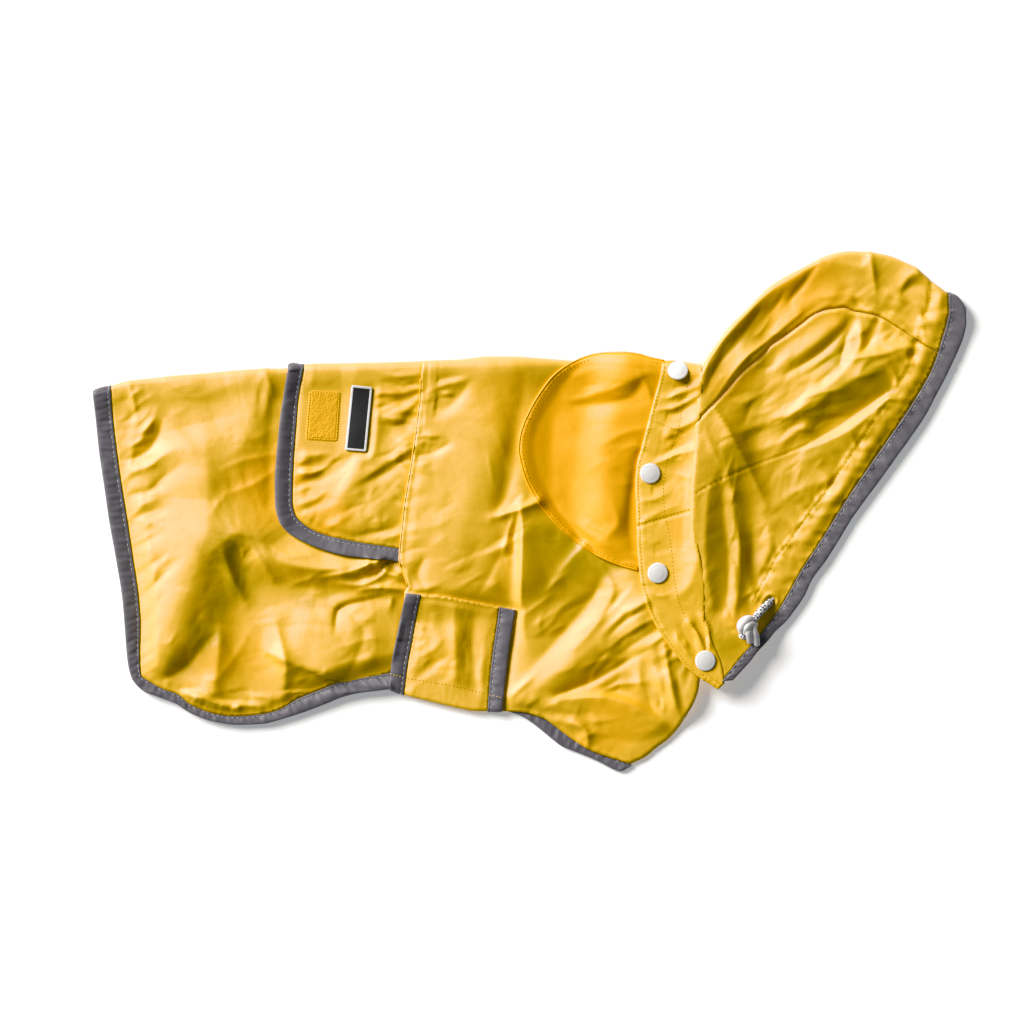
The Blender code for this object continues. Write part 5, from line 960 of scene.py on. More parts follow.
def spaced(loop, near, far):
    """The closed loop with points near mm apart on the near side and far mm apart on the hidden one."""
    out = []
    for a, b in zip(loop, np.roll(loop, -1, axis=0)):
        gap = near if min(a[1], b[1]) > -FOLD_LEN - 1 else far
        n = max(1, int(math.ceil(math.hypot(*(b - a)) / gap)))
        for k in range(n):
            out.append(a + (b - a) * k / n)
    kept = [out[0]]
    for p in out[1:]:
        if math.hypot(*(p - kept[-1])) > 0.25:
            kept.append(p)
    if math.hypot(*(kept[-1] - kept[0])) <= 0.25:
        kept.pop()
    return np.array(kept)


def fill(loop, near, far):
    """Points inside the loop and triangles over it, in sheet coordinates."""
    lo, hi = loop.min(axis=0), loop.max(axis=0)
    rows, s = [], hi[1] - near * 0.5
    while s > lo[1]:
        on_near = s > -FOLD_LEN - 0.5
        gap = near if on_near else far
        xs = np.arange(lo[0] + (0.5 * gap if len(rows) % 2 else 0), hi[0], gap)
        rows.append(np.stack([xs, np.full(xs.shape, s)], axis=1))
        s -= gap * 0.866
    pts = np.vstack(rows)
    rng = np.random.RandomState(5)
    pts = pts + rng.uniform(-0.08, 0.08, pts.shape) * near
    pts = pts[inside(loop, pts[:, 0], pts[:, 1])]
    # leave a free strip along the loop, so that no sliver forms there
    dense = []
    for a, b in zip(loop, np.roll(loop, -1, axis=0)):
        n = max(1, int(math.ceil(math.hypot(*(b - a)) / 0.3)))
        dense.append(a + (b - a) * (np.arange(n) / n)[:, None])
    dense = np.vstack(dense)
    cell = 0.55 * near
    keys = set()
    cells = np.floor(dense / cell).astype(np.int64)
    for di in (-1, 0, 1):
        for dj in (-1, 0, 1):
            keys.add((di, dj))
    taken = np.unique(np.concatenate([(cells[:, 0] + di) * 100003 + cells[:, 1] + dj for di, dj in keys]))
    mine = np.floor(pts / cell).astype(np.int64)
    pts = pts[~np.isin(mine[:, 0] * 100003 + mine[:, 1], taken)]
    every = np.vstack([loop, pts])
    verts, _, faces, _, _, _ = delaunay_2d_cdt([Vector(p) for p in every], [], [list(range(len(loop)))], 1, 1e-5)
    return np.array([tuple(v) for v in verts]), faces


def new_object(name, verts_mm, faces, material, smooth=True):
    data = bpy.data.meshes.new(name)
    data.from_pydata((np.asarray(verts_mm, float) / 1000.0).tolist(), [], [tuple(f) for f in faces])
    data.validate()
    if smooth:
        data.shade_smooth()
    made = bpy.data.objects.new(name, data)
    bpy.context.scene.collection.objects.link(made)
    data.materials.append(material)
    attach(made, "root")
    return made


def upwards(verts, faces, up):
    """How much each face looks up, times up: the z of its unnormalised normal, positive where a face of the near side
    looks up (or down, for a lower sheet with up of -1).
    """
    verts = np.asarray(verts)
    a, b, c = (verts[[f[k] for f in faces]] for k in range(3))
    n = np.cross(b - a, c - a)
    return n[:, 2] * up


def make_sheet(name, near_px, at, material, near=1.25, far=3.2, mirror=True, thickness=SHELL, closed=False):
    """A cloth piece. near_px is the outline of its near side in grid units: an open run from spine to
    spine where the piece turns over there, or a closed loop."""
    near_mm = near * 1.0
    pts = to_sheet(near_px)
    if mirror:
        pts[:, 1] = np.maximum(pts[:, 1], 0.0)
        back = pts[::-1].copy()
        back[:, 1] = -FOLD_LEN - back[:, 1]
        loop = np.vstack([pts, back])
    else:
        loop = pts
    loop = spaced(loop, near_mm, far)
    flat, faces = fill(loop, near_mm, far)
    verts = at(flat[:, 0], flat[:, 1])
    # in (x, depth) a counter-clockwise face looks down on the near side
    tri = np.array([f[:3] for f in faces])
    a, b, c = flat[tri[:, 0]], flat[tri[:, 1]], flat[tri[:, 2]]
    turn = (b[:, 0] - a[:, 0]) * (c[:, 1] - a[:, 1]) - (b[:, 1] - a[:, 1]) * (c[:, 0] - a[:, 0])
    tri = np.where((turn > 0)[:, None], tri[:, ::-1], tri)
    made = new_object(name, verts, tri.tolist(), material)
    if thickness:
        solid = made.modifiers.new("wall", "SOLIDIFY")
        solid.thickness = thickness / 1000
        solid.offset = -1.0
    return made


def swept(name, stations, section, at, material, wobble=None, caps=True):
    """A tape along stations (inner x, s, outer x, s) with a closed cross-section of (across, height)."""
    st = np.asarray(stations, float)
    sec = np.asarray(section, float)
    v, h = sec[:, 0][None, :], sec[:, 1][None, :]
    x = st[:, 0][:, None] * (1 - v) + st[:, 2][:, None] * v
    s = st[:, 1][:, None] * (1 - v) + st[:, 3][:, None] * v
    height = np.broadcast_to(h, x.shape).copy()
    if wobble is not None:
        height = height + wobble(np.arange(len(st))[:, None], v) * (h > -0.2)
    rings = at(x, s, height)
    n, m = x.shape
    verts = rings.reshape(-1, 3)
    faces = []
    for i in range(n - 1):
        for k in range(m):
            q = (k + 1) % m
            faces.append((i * m + k, i * m + q, (i + 1) * m + q, (i + 1) * m + k))
    if caps:
        faces.append(tuple(range(m - 1, -1, -1)))
        faces.append(tuple((n - 1) * m + k for k in range(m)))
    made = new_object(name, verts, faces, material)
    mesh = bmesh.new()
    mesh.from_mesh(made.data)
    bmesh.ops.recalc_face_normals(mesh, faces=mesh.faces)
    if mesh.calc_volume(signed=True) < 0:
        bmesh.ops.reverse_faces(mesh, faces=mesh.faces)
    mesh.to_mesh(made.data)
    mesh.free()
    made.data.shade_smooth()
    return made


def tube_mesh(pts, radius, sides=10, bumps=None):
    """Vertices and quads of a tube along points in mm. radius is one number or one for each point;
    bumps(turn, place mm) adds to it."""
    pts = np.asarray(pts, float)
    n = len(pts)
    run = np.concatenate([[0], np.cumsum(np.linalg.norm(np.diff(pts, axis=0), axis=1))])
    go = np.gradient(pts, axis=0)
    go /= np.linalg.norm(go, axis=1)[:, None] + 1e-12
    up = np.array([0.0, 0.0, 1.0]) - go * go[:, 2:3]
    up /= np.linalg.norm(up, axis=1)[:, None] + 1e-12
    across = np.cross(go, up)
    r = np.broadcast_to(np.asarray(radius, float), (n,))
    turn = np.linspace(0, 2 * math.pi, sides, endpoint=False)
    reach = r[:, None] + (bumps(turn[None, :], run[:, None]) if bumps else 0.0)
    ring = across[:, None, :] * np.cos(turn)[None, :, None] + up[:, None, :] * np.sin(turn)[None, :, None]
    verts = (pts[:, None, :] + ring * reach[..., None]).reshape(-1, 3)
    faces = [(i * sides + k, i * sides + (k + 1) % sides, (i + 1) * sides + (k + 1) % sides, (i + 1) * sides + k)
             for i in range(n - 1) for k in range(sides)]
    faces.append(tuple(range(sides - 1, -1, -1)))
    faces.append(tuple((n - 1) * sides + k for k in range(sides)))
    return verts, faces, turn, run


def outwards(made):
    mesh = bmesh.new()
    mesh.from_mesh(made.data)
    bmesh.ops.recalc_face_normals(mesh, faces=mesh.faces)
    if mesh.calc_volume(signed=True) < 0:
        bmesh.ops.reverse_faces(mesh, faces=mesh.faces)
    mesh.to_mesh(made.data)
    mesh.free()
    made.data.shade_smooth()
    return made


def piping(name, line, at, radius, height, material, sides=8):
    """A rolled edge: a thin tube along a line in grid units."""
    pts = to_sheet(curve(line, 1.6))
    place = at(pts[:, 0], pts[:, 1], height)
    verts, faces, _, _ = tube_mesh(place, radius, sides)
    return outwards(new_object(name, verts, faces, material))


def tape_stations(rows, step=1.9, mirror=True, first=0):
    """Stations of a binding, from its far end under the coat over the spine to its near end."""
    pts = curve(rows, step)
    near_in, near_out = to_sheet(pts[:, :2]), to_sheet(pts[:, 2:4])
    near_in[:, 1] = np.maximum(near_in[:, 1], 0) if mirror else near_in[:, 1]
    near_out[:, 1] = np.maximum(near_out[:, 1], 0) if mirror else near_out[:, 1]
    st = np.hstack([near_in, near_out])
    if not mirror:
        return st
    st[0, 1] = st[0, 3] = 0.0
    turn = []
    for t in np.linspace(0, 1, 11)[1:-1]:
        row = st[0].copy()
        row[1] = row[3] = -FOLD_LEN * t
        turn.append(row)
    under = st.copy()
    under[:, 1] = -FOLD_LEN - under[:, 1]
    under[:, 3] = -FOLD_LEN - under[:, 3]
    return np.vstack([under[::-1][::1], np.array(turn)[::-1], st])


TAPE_SECTION = [
    (0.0, -0.1), (0.0, 0.3), (0.02, 0.5), (0.08, 0.62), (0.14, 0.5), (0.18, 0.4), (0.22, 0.5), (0.32, 0.66),
    (0.5, 0.74), (0.68, 0.74), (0.84, 0.66), (0.94, 0.44), (0.99, 0.1), (1.0, -0.3), (0.97, -0.75),
    (0.8, -0.95), (0.5, -1.0), (0.2, -0.95), (0.02, -0.85), (0.0, -0.6),
]


def tape_wobble(seed, tall=0.35, size=7.0):
    rng = np.random.RandomState(seed)
    phase = rng.rand(64) * 2 * np.pi

    def f(i, v):
        out = 0.0
        for k in range(6):
            wave = size * (0.6 + 0.45 * k)
            lean = (phase[k + 10] / np.pi - 1) * 2.2
            out = out + np.sin(2 * np.pi * (i * 1.2 / wave) + lean * v * 3 + phase[k]) / (1 + 0.5 * k)
        sharp = np.abs(out) ** 1.3 * np.sign(out)
        return tall * 0.5 * sharp * np.clip(v * 5, 0, 1) * np.clip((1.02 - v) * 3, 0, 1)

    return f


# ---------------------------------------------------------------- materials
def node_material(name, base, rough, metallic=0.0):
    made = bpy.data.materials.new(name)
    made.use_nodes = True
    shader = made.node_tree.nodes["Principled BSDF"]
    shader.inputs["Base Color"].default_value = (*base, 1)
    shader.inputs["Roughness"].default_value = rough
    shader.inputs["Metallic"].default_value = metallic
    made.diffuse_color = (*base, 1)
    return made, made.node_tree, shader


def add(tree, kind, **values):
    node = tree.nodes.new(kind)
    for key, value in values.items():
        if key in node.inputs:
            node.inputs[key].default_value = value
        else:
            setattr(node, key, value)
    return node


def ramp(tree, source, stops):
    node = tree.nodes.new("ShaderNodeValToRGB")
    while len(node.color_ramp.elements) > 2:
        node.color_ramp.elements.remove(node.color_ramp.elements[-1])
    for k, (at, colour) in enumerate(stops):
        element = node.color_ramp.elements[k] if k < 2 else node.color_ramp.elements.new(at)
        element.position = at
        element.color = colour if len(colour) == 4 else (*colour, 1)
    tree.links.new(source, node.inputs["Fac"])
    return node


def coated(name, light, deep, rough=0.4, weave=1.0, painted_warm_light=(), painted_warm_colour=(0.955, 0.475, 0.055), shine=1.0, painted_shade_spots=(), painted_shade_colour=(0.50, 0.33, 0.026)):
    """Coated nylon: a fine plain weave under a satin coat, with faint mottling and small handling creases; optional
    spots paint warm light (orange) and shade (dark olive) into its colour.
    """
    made, tree, shader = node_material(name, light, rough)
    link = tree.links.new
    where = tree.nodes.new("ShaderNodeTexCoord").outputs["Object"]
    cloud = add(tree, "ShaderNodeTexNoise", Scale=45.0, Detail=4.0, Roughness=0.6)
    link(where, cloud.inputs["Vector"])
    tint = ramp(tree, cloud.outputs["Fac"], [(0.36, deep), (0.62, light)])
    fine = add(tree, "ShaderNodeTexNoise", Scale=900.0, Detail=2.0, Roughness=0.5)
    link(where, fine.inputs["Vector"])
    shade = ramp(tree, fine.outputs["Fac"], [(0.3, (0.955, 0.955, 0.955)), (0.7, (1, 1, 1))])
    mixed = tree.nodes.new("ShaderNodeMix")
    mixed.data_type = "RGBA"
    mixed.blend_type = "MULTIPLY"
    mixed.inputs["Factor"].default_value = 1.0
    base = tint.outputs["Color"]
    # Painted light: listed spots mix the base colour towards orange (painted warm light) and towards dark olive
    # (painted shade), on the near side only.
    if painted_warm_light:
        upright = tree.nodes.new("ShaderNodeSeparateXYZ")
        link(tree.nodes.new("ShaderNodeTexCoord").outputs["Normal"], upright.inputs["Vector"])
        drift = add(tree, "ShaderNodeTexNoise", Scale=28.0, Detail=2.0, Roughness=0.5)
        link(where, drift.inputs["Vector"])
        centred = add(tree, "ShaderNodeVectorMath", operation="SUBTRACT")
        link(drift.outputs["Color"], centred.inputs[0])
        centred.inputs[1].default_value = (0.5, 0.5, 0.5)
        scaled = add(tree, "ShaderNodeVectorMath", operation="SCALE")
        link(centred.outputs["Vector"], scaled.inputs[0])
        scaled.inputs["Scale"].default_value = 0.05
        moved = add(tree, "ShaderNodeVectorMath", operation="ADD")
        link(where, moved.inputs[0])
        link(scaled.outputs["Vector"], moved.inputs[1])
        for spots, colour in ((painted_warm_light, painted_warm_colour), (painted_shade_spots, painted_shade_colour)):
            total = None
            for gx, gy, reach, strength in spots:
                away = add(tree, "ShaderNodeVectorMath", operation="DISTANCE")
                link(moved.outputs["Vector"], away.inputs[0])
                away.inputs[1].default_value = (float(mm_x(gx)) / 1000, float(mm_y(gy)) / 1000, 0.012)
                spot = add(tree, "ShaderNodeMapRange", interpolation_type="SMOOTHSTEP")
                link(away.outputs["Value"], spot.inputs["Value"])
                spot.inputs["From Min"].default_value = 0.15 * reach * UNIT / 1000
                spot.inputs["From Max"].default_value = reach * UNIT / 1000
                spot.inputs["To Min"].default_value = strength
                spot.inputs["To Max"].default_value = 0.0
                if total is None:
                    total = spot.outputs["Result"]
                else:
                    both = add(tree, "ShaderNodeMath", operation="MAXIMUM")
                    link(total, both.inputs[0])
                    link(spot.outputs["Result"], both.inputs[1])
                    total = both.outputs["Value"]
            if total is None:
                continue
            near_side = add(tree, "ShaderNodeMapRange", interpolation_type="SMOOTHSTEP")
            link(upright.outputs["Z"], near_side.inputs["Value"])
            near_side.inputs["From Min"].default_value = -0.05
            near_side.inputs["From Max"].default_value = 0.30
            gated = add(tree, "ShaderNodeMath", operation="MULTIPLY")
            link(total, gated.inputs[0])
            link(near_side.outputs["Result"], gated.inputs[1])
            total = gated.outputs["Value"]
            # mix that paints the warm light or the shade into the base colour
            painted_light_mix = tree.nodes.new("ShaderNodeMix")
            painted_light_mix.data_type = "RGBA"
            link(total, painted_light_mix.inputs["Factor"])
            link(base, painted_light_mix.inputs["A"])
            painted_light_mix.inputs["B"].default_value = (*colour, 1)
            base = painted_light_mix.outputs["Result"]
    link(base, mixed.inputs["A"])
    link(shade.outputs["Color"], mixed.inputs["B"])
    link(mixed.outputs["Result"], shader.inputs["Base Color"])
    gloss = ramp(tree, cloud.outputs["Fac"], [(0.3, (rough + 0.05,) * 3), (0.7, (rough - 0.04,) * 3)])
    link(gloss.outputs["Color"], shader.inputs["Roughness"])
    shader.inputs["Specular IOR Level"].default_value = shine
    shader.inputs["Sheen Weight"].default_value = 0.12
    shader.inputs["Sheen Roughness"].default_value = 0.4
    # weave, then handling creases
    waves = []
    for turn in (0.0, math.pi / 2):
        map_node = tree.nodes.new("ShaderNodeMapping")
        map_node.inputs["Rotation"].default_value = (0, 0, turn + 0.03)
        link(where, map_node.inputs["Vector"])
        wave = add(tree, "ShaderNodeTexWave", Scale=330.0, Distortion=0.3)
        link(map_node.outputs["Vector"], wave.inputs["Vector"])
        waves.append(wave)
    woven = add(tree, "ShaderNodeMath", operation="ADD")
    link(waves[0].outputs["Fac"], woven.inputs[0])
    link(waves[1].outputs["Fac"], woven.inputs[1])
    bump1 = add(tree, "ShaderNodeBump", Strength=0.10 * weave, Distance=0.0002)
    link(woven.outputs["Value"], bump1.inputs["Height"])
    handled = add(tree, "ShaderNodeTexNoise", Scale=240.0, Detail=3.0, Roughness=0.55, Distortion=0.6)
    link(where, handled.inputs["Vector"])
    bump2 = add(tree, "ShaderNodeBump", Strength=0.12, Distance=0.0006)
    link(handled.outputs["Fac"], bump2.inputs["Height"])
    link(bump1.outputs["Normal"], bump2.inputs["Normal"])
    link(bump2.outputs["Normal"], shader.inputs["Normal"])
    return made


def tape_material(name, light, deep):
    """Grey woven binding: fine ribs across it and a satin face."""
    made, tree, shader = node_material(name, light, 0.5)
    link = tree.links.new
    where = tree.nodes.new("ShaderNodeTexCoord").outputs["Object"]
    cloud = add(tree, "ShaderNodeTexNoise", Scale=160.0, Detail=4.0, Roughness=0.6)
    link(where, cloud.inputs["Vector"])
    tint = ramp(tree, cloud.outputs["Fac"], [(0.32, deep), (0.68, light)])
    link(tint.outputs["Color"], shader.inputs["Base Color"])
    waves = []
    for turn in (math.radians(40), math.radians(130)):
        map_node = tree.nodes.new("ShaderNodeMapping")
        map_node.inputs["Rotation"].default_value = (0, 0, turn)
        link(where, map_node.inputs["Vector"])
        wave = add(tree, "ShaderNodeTexWave", Scale=260.0, Distortion=0.4)
        link(map_node.outputs["Vector"], wave.inputs["Vector"])
        waves.append(wave)
    woven = add(tree, "ShaderNodeMath", operation="ADD")
    link(waves[0].outputs["Fac"], woven.inputs[0])
    link(waves[1].outputs["Fac"], woven.inputs[1])
    bump = add(tree, "ShaderNodeBump", Strength=0.25, Distance=0.0003)
    link(woven.outputs["Value"], bump.inputs["Height"])
    rough = add(tree, "ShaderNodeTexNoise", Scale=420.0, Detail=3.0)
    link(where, rough.inputs["Vector"])
    bump2 = add(tree, "ShaderNodeBump", Strength=0.15, Distance=0.0006)
    link(rough.outputs["Fac"], bump2.inputs["Height"])
    link(bump.outputs["Normal"], bump2.inputs["Normal"])
    link(bump2.outputs["Normal"], shader.inputs["Normal"])
    shader.inputs["Sheen Weight"].default_value = 0.2
    return made


def plain_material(name, light, deep, rough, scale, bump_mm=0.1, strength=0.3, sheen=0.0, coat=0.0):
    made, tree, shader = node_material(name, light, rough)
    link = tree.links.new
    where = tree.nodes.new("ShaderNodeTexCoord").outputs["Object"]
    cloud = add(tree, "ShaderNodeTexNoise", Scale=scale, Detail=3.0)
    link(where, cloud.inputs["Vector"])
    tint = ramp(tree, cloud.outputs["Fac"], [(0.35, deep), (0.65, light)])
    link(tint.outputs["Color"], shader.inputs["Base Color"])
    bump = add(tree, "ShaderNodeBump", Strength=strength, Distance=bump_mm / 1000)
    link(cloud.outputs["Fac"], bump.inputs["Height"])
    link(bump.outputs["Normal"], shader.inputs["Normal"])
    shader.inputs["Sheen Weight"].default_value = sheen
    shader.inputs["Coat Weight"].default_value = coat
    return made


# The body cloth carries painted warm light and painted shade in listed spots; the band's cloth carries painted warm
# light.
YELLOW = coated("coated_yellow", (0.94, 0.56, 0.09), (0.925, 0.535, 0.08), 0.55, painted_warm_light=PAINTED_WARM_LIGHT, painted_shade_spots=PAINTED_SHADE)
ORANGE = coated("coated_collar", (0.96, 0.465, 0.06), (0.94, 0.44, 0.052), 0.6, shine=0.6)
BANDY = coated("coated_band", (0.94, 0.55, 0.08), (0.92, 0.52, 0.07), 0.55, painted_warm_light=PAINTED_BAND_WARM_LIGHT)
GREY = tape_material("binding_grey", (0.142, 0.138, 0.170), (0.112, 0.108, 0.134))
WHITE_THREAD = plain_material("thread_white", (0.66, 0.66, 0.68), (0.5, 0.5, 0.53), 0.6, 2500, 0.05)
# Gold stitch thread, much darker than the cloth: its own gold colour plus painted shade of the stitch holes, so the
# rows read as dark dots.
GOLD_THREAD_PAINTED_SHADE = plain_material("thread_gold_painted_shade", (0.34, 0.21, 0.015), (0.24, 0.15, 0.01), 0.6, 2500, 0.05)
PALE_THREAD = plain_material("thread_pale", (0.92, 0.66, 0.2), (0.8, 0.5, 0.1), 0.6, 2500, 0.05)
LOOP = plain_material("loop_pile", (0.94, 0.51, 0.08), (0.87, 0.44, 0.052), 0.85, 1500, 0.5, 0.8, sheen=0.4)
BLACK = plain_material("label_black", (0.022, 0.022, 0.026), (0.014, 0.014, 0.017), 0.45, 900, 0.05, 0.2)
PALE = plain_material("label_frame", (0.80, 0.80, 0.82), (0.70, 0.70, 0.73), 0.5, 900, 0.05, 0.2)
CORD_WHITE = plain_material("cord_white", (0.80, 0.80, 0.82), (0.66, 0.66, 0.70), 0.6, 1600, 0.12, 0.5, sheen=0.3)
CORD_NAVY = plain_material("cord_navy", (0.055, 0.06, 0.12), (0.035, 0.04, 0.085), 0.6, 1600, 0.12, 0.5, sheen=0.2)
DARK_THREAD = plain_material("thread_dark", (0.16, 0.10, 0.02), (0.10, 0.06, 0.012), 0.7, 2500, 0.05)
SNAP = plain_material("snap_white", (0.80, 0.80, 0.81), (0.77, 0.77, 0.79), 0.22, 600, 0.02, 0.15, coat=0.5)

# ---------------------------------------------------------------- camera, light and floor
scene = bpy.context.scene
scene.view_settings.view_transform = "Standard"
scene.view_settings.look = "None"
scene.view_settings.exposure = 0.0
scene.view_settings.gamma = 1.0


def grade():
    """Deepens the blue of saturated colours in the shade, as a contrasty studio picture does. Greys stay as they are."""
    scene.use_nodes = True
    tree = scene.node_tree
    tree.nodes.clear()
    link = tree.links.new
    layers = tree.nodes.new("CompositorNodeRLayers")
    parts = tree.nodes.new("CompositorNodeSeparateColor")
    whole = tree.nodes.new("CompositorNodeCombineColor")
    out = tree.nodes.new("CompositorNodeComposite")

    def sum_(kind, a, b, clamp=False):
        node = tree.nodes.new("CompositorNodeMath")
        node.operation = kind
        node.use_clamp = clamp
        for socket, value in zip(node.inputs, (a, b)):
            if isinstance(value, (int, float)):
                socket.default_value = value
            else:
                link(value, socket)
        return node.outputs[0]

    def soft(value, low, high):
        t = sum_("DIVIDE", sum_("SUBTRACT", value, low), high - low, True)
        return sum_("MULTIPLY", sum_("MULTIPLY", t, t), sum_("SUBTRACT", 3.0, sum_("MULTIPLY", t, 2.0)))

    link(layers.outputs["Image"], parts.inputs[0])
    red, green, blue = parts.outputs[0], parts.outputs[1], parts.outputs[2]
    colourful = sum_("DIVIDE", sum_("SUBTRACT", red, blue), sum_("MAXIMUM", red, 0.001))
    strong = soft(colourful, 0.30, 0.70)
    bent = sum_("MULTIPLY", sum_("MULTIPLY", blue, 1.5), soft(blue, 0.045, 0.185))
    new_blue = sum_("ADD", blue, sum_("MULTIPLY", sum_("SUBTRACT", bent, blue), strong))
    tinted = soft(colourful, 0.24, 0.42)

    def shoulder_(value, start, ease_off):
        over = sum_("MAXIMUM", sum_("SUBTRACT", value, start), 0.0)
        return sum_("SUBTRACT", value, sum_("MULTIPLY", sum_("MULTIPLY", over, ease_off), tinted))

    white = sum_("MULTIPLY", sum_("SUBTRACT", 1.0, tinted), soft(red, 0.80, 0.97))

    def bleached(value):
        return sum_("ADD", value, sum_("MULTIPLY", sum_("MAXIMUM", sum_("SUBTRACT", red, value), 0.0), white))

    link(red, whole.inputs[0])
    link(bleached(shoulder_(green, 0.64, 0.5)), whole.inputs[1])
    link(bleached(shoulder_(new_blue, 0.32, 0.45)), whole.inputs[2])
    link(parts.outputs[3], whole.inputs[3])
    link(whole.outputs[0], out.inputs[0])


grade()

camera_data = bpy.data.cameras.new("camera")
camera = bpy.data.objects.new("camera", camera_data)
scene.collection.objects.link(camera)
AWAY = 3.2
camera_data.sensor_width = 36.0
camera_data.lens = 36.0 * (AWAY - 0.004) / 0.640
camera_data.clip_end = 20
camera.location = (float(mm_x(512)) / 1000, float(mm_y(512)) / 1000, AWAY)
camera.rotation_euler = (0, 0, 0)
scene.camera = camera


def sun(name, azimuth, elevation, spread, strength, colour=(1, 1, 1)):
    data = bpy.data.lights.new(name, "SUN")
    data.angle = math.radians(spread)
    data.energy = strength
    data.color = colour
    made = bpy.data.objects.new(name, data)
    a, e = math.radians(azimuth), math.radians(elevation)
    spot = Vector((math.cos(a) * math.cos(e), math.sin(a) * math.cos(e), math.sin(e)))
    made.rotation_euler = (-spot).to_track_quat("-Z", "Y").to_euler()
    scene.collection.objects.link(made)
    return made


sun("key", 143, 28.5, 32, 5.9, (1.0, 0.95, 0.87))

world = bpy.data.worlds.new("room")
scene.world = world
world.use_nodes = True
world.node_tree.nodes["Background"].inputs["Color"].default_value = (0.86, 1.0, 1.1, 1)
world.node_tree.nodes["Background"].inputs["Strength"].default_value = 0.075

floor_data = bpy.data.meshes.new("floor")
R = 6.0
floor_data.from_pydata([(-R, -R, -0.0001), (R, -R, -0.0001), (R, R, -0.0001), (-R, R, -0.0001)], [], [(0, 1, 2, 3)])
floor = bpy.data.objects.new("floor", floor_data)
scene.collection.objects.link(floor)
floor_material, _, floor_shader = node_material("floor_white", (0.93, 0.93, 0.93), 0.9)
floor_shader.inputs["Specular IOR Level"].default_value = 0.1
floor_shader.inputs["Emission Color"].default_value = (1, 1, 1, 1)
floor_shader.inputs["Emission Strength"].default_value = 0.30
floor_data.materials.append(floor_material)

# ---------------------------------------------------------------- build the cloth
rear_at = mapped(rear_top, LOWER, REAR_PUSH)
flap_at = mapped(flap_top, LOWER - LAYER)
front_at = mapped(front_top, LOWER - 0.4, FRONT_PUSH)
disc_at = mapped(disc_top, LOWER)
band_at = mapped(band_top, LOWER - 2 * LAYER, BAND_PUSH)
hood_at = mapped(hood_top, LOWER)

rear_run = np.vstack([
    [(111, 380)], curve([(r[0], r[1]) for r in TAIL_TAPE[:-1]], 3), [(404, 668), (411, 640), (411, 592)],
    [(x + 11, y) for x, y in curve(FRONT_EDGE, 5)[::-1]]])
body_rear = make_sheet("body_rear_cloth", rear_run, rear_at, YELLOW)
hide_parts("body_rear")

flap_run = np.vstack([curve([(r[0], r[1]) for r in FLAP_TAPE], 3)[:-2], [(x + 9, y) for x, y in curve(FRONT_EDGE[:10], 5)[::-1]]])
back_flap = make_sheet("back_flap_cloth", flap_run, flap_at, YELLOW)
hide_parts("back_flap")

front_run = np.vstack([curve(FRONT_EDGE, 3), [(404.5, 592)], curve(HEM_FRONT, 3), curve(CHEST_FOLD, 3)[1:], curve(NECK, 4)[1:]])
body_front = make_sheet("body_front_cloth", front_run, front_at, YELLOW)
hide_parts("body_front")

tail_tape = swept("binding_tail_tape", tape_stations(TAIL_TAPE), TAPE_SECTION, mapped(rear_top, LOWER), GREY, tape_wobble(1))
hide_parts("binding_tail")
flap_tape = swept("back_flap_tape", tape_stations(FLAP_TAPE), TAPE_SECTION, flap_at, GREY, tape_wobble(2, 0.2))
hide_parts("back_flap_binding")


def disc_place(x, s, h=0.0):
    """The round flap stands a little out over the spine."""
    x, s = np.asarray(x, float), np.asarray(s, float)
    turn = mm_y(turn_px(px_x(x)))
    depth = np.maximum(s, 0)
    z = look_up(disc_top, x, turn - depth)
    over = np.maximum(-s, 0)
    return np.stack([x, turn - s, z + h - over ** 2 / 26.0], axis=-1)


collar_flap = make_sheet("collar_flap_cloth", disc_loop, disc_place, ORANGE, mirror=False, thickness=0.8)
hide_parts("collar_flap")

band_run = np.vstack([[(661.5, 360)], band_rear, band_front[::-1], [(701, 360)]])
collar_band = make_sheet("collar_band_cloth", band_run, band_at, BANDY, near=1.0, thickness=0.7)
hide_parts("collar_band")

# hood: the crown panel turns over at the spine, the side panels meet it at the curved seam
crown_pts = curve(CROWN, 3)
hood_in = curve([(r[0], r[1]) for r in HOOD_TAPE], 3)
front_of_band = band_front + np.array([-4.0, 0.0])


def split_at(line, other):
    """Index on a line of the place nearest to another line, and that place on the other."""
    best = min(((math.hypot(*(p - q)), i, j) for i, p in enumerate(line[:, :2]) for j, q in enumerate(other[:, :2])))
    return best[1], best[2]


i_in, j_in = split_at(hood_in, crown_pts)
i_band, j_band = split_at(front_of_band, crown_pts)
seam = crown_pts[j_band:j_in + 1]
crown_run = np.vstack([[(948.5, 290)], hood_in[: i_in + 1], seam[::-1] + np.array([0, -0.25]), front_of_band[: i_band][::-1], [(701.8, 360)]])
hood_centre = make_sheet("hood_crown_cloth", crown_run, hood_at, YELLOW)
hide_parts("hood_centre")
side_loop = np.vstack([seam + np.array([0, 0.25]), hood_in[i_in + 1:], front_of_band[i_band + 1:][::-1]])
side_left = make_sheet("hood_side_left_cloth", side_loop, hood_at, YELLOW, mirror=False)
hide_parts("hood_side_left")


def lower_at(x, s, h=0.0):
    return hood_at(x, -FOLD_LEN - np.maximum(s, 0.0), h)


side_right = make_sheet("hood_side_right_cloth", side_loop, lower_at, YELLOW, near=3.0, mirror=False)
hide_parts("hood_side_right")
for_flip = side_right.data
for_flip.flip_normals()

hood_tape = swept("hood_tape", tape_stations(HOOD_TAPE), TAPE_SECTION, mapped(hood_top, LOWER), GREY, tape_wobble(4, 0.4, 7.0))
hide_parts("hood_binding")

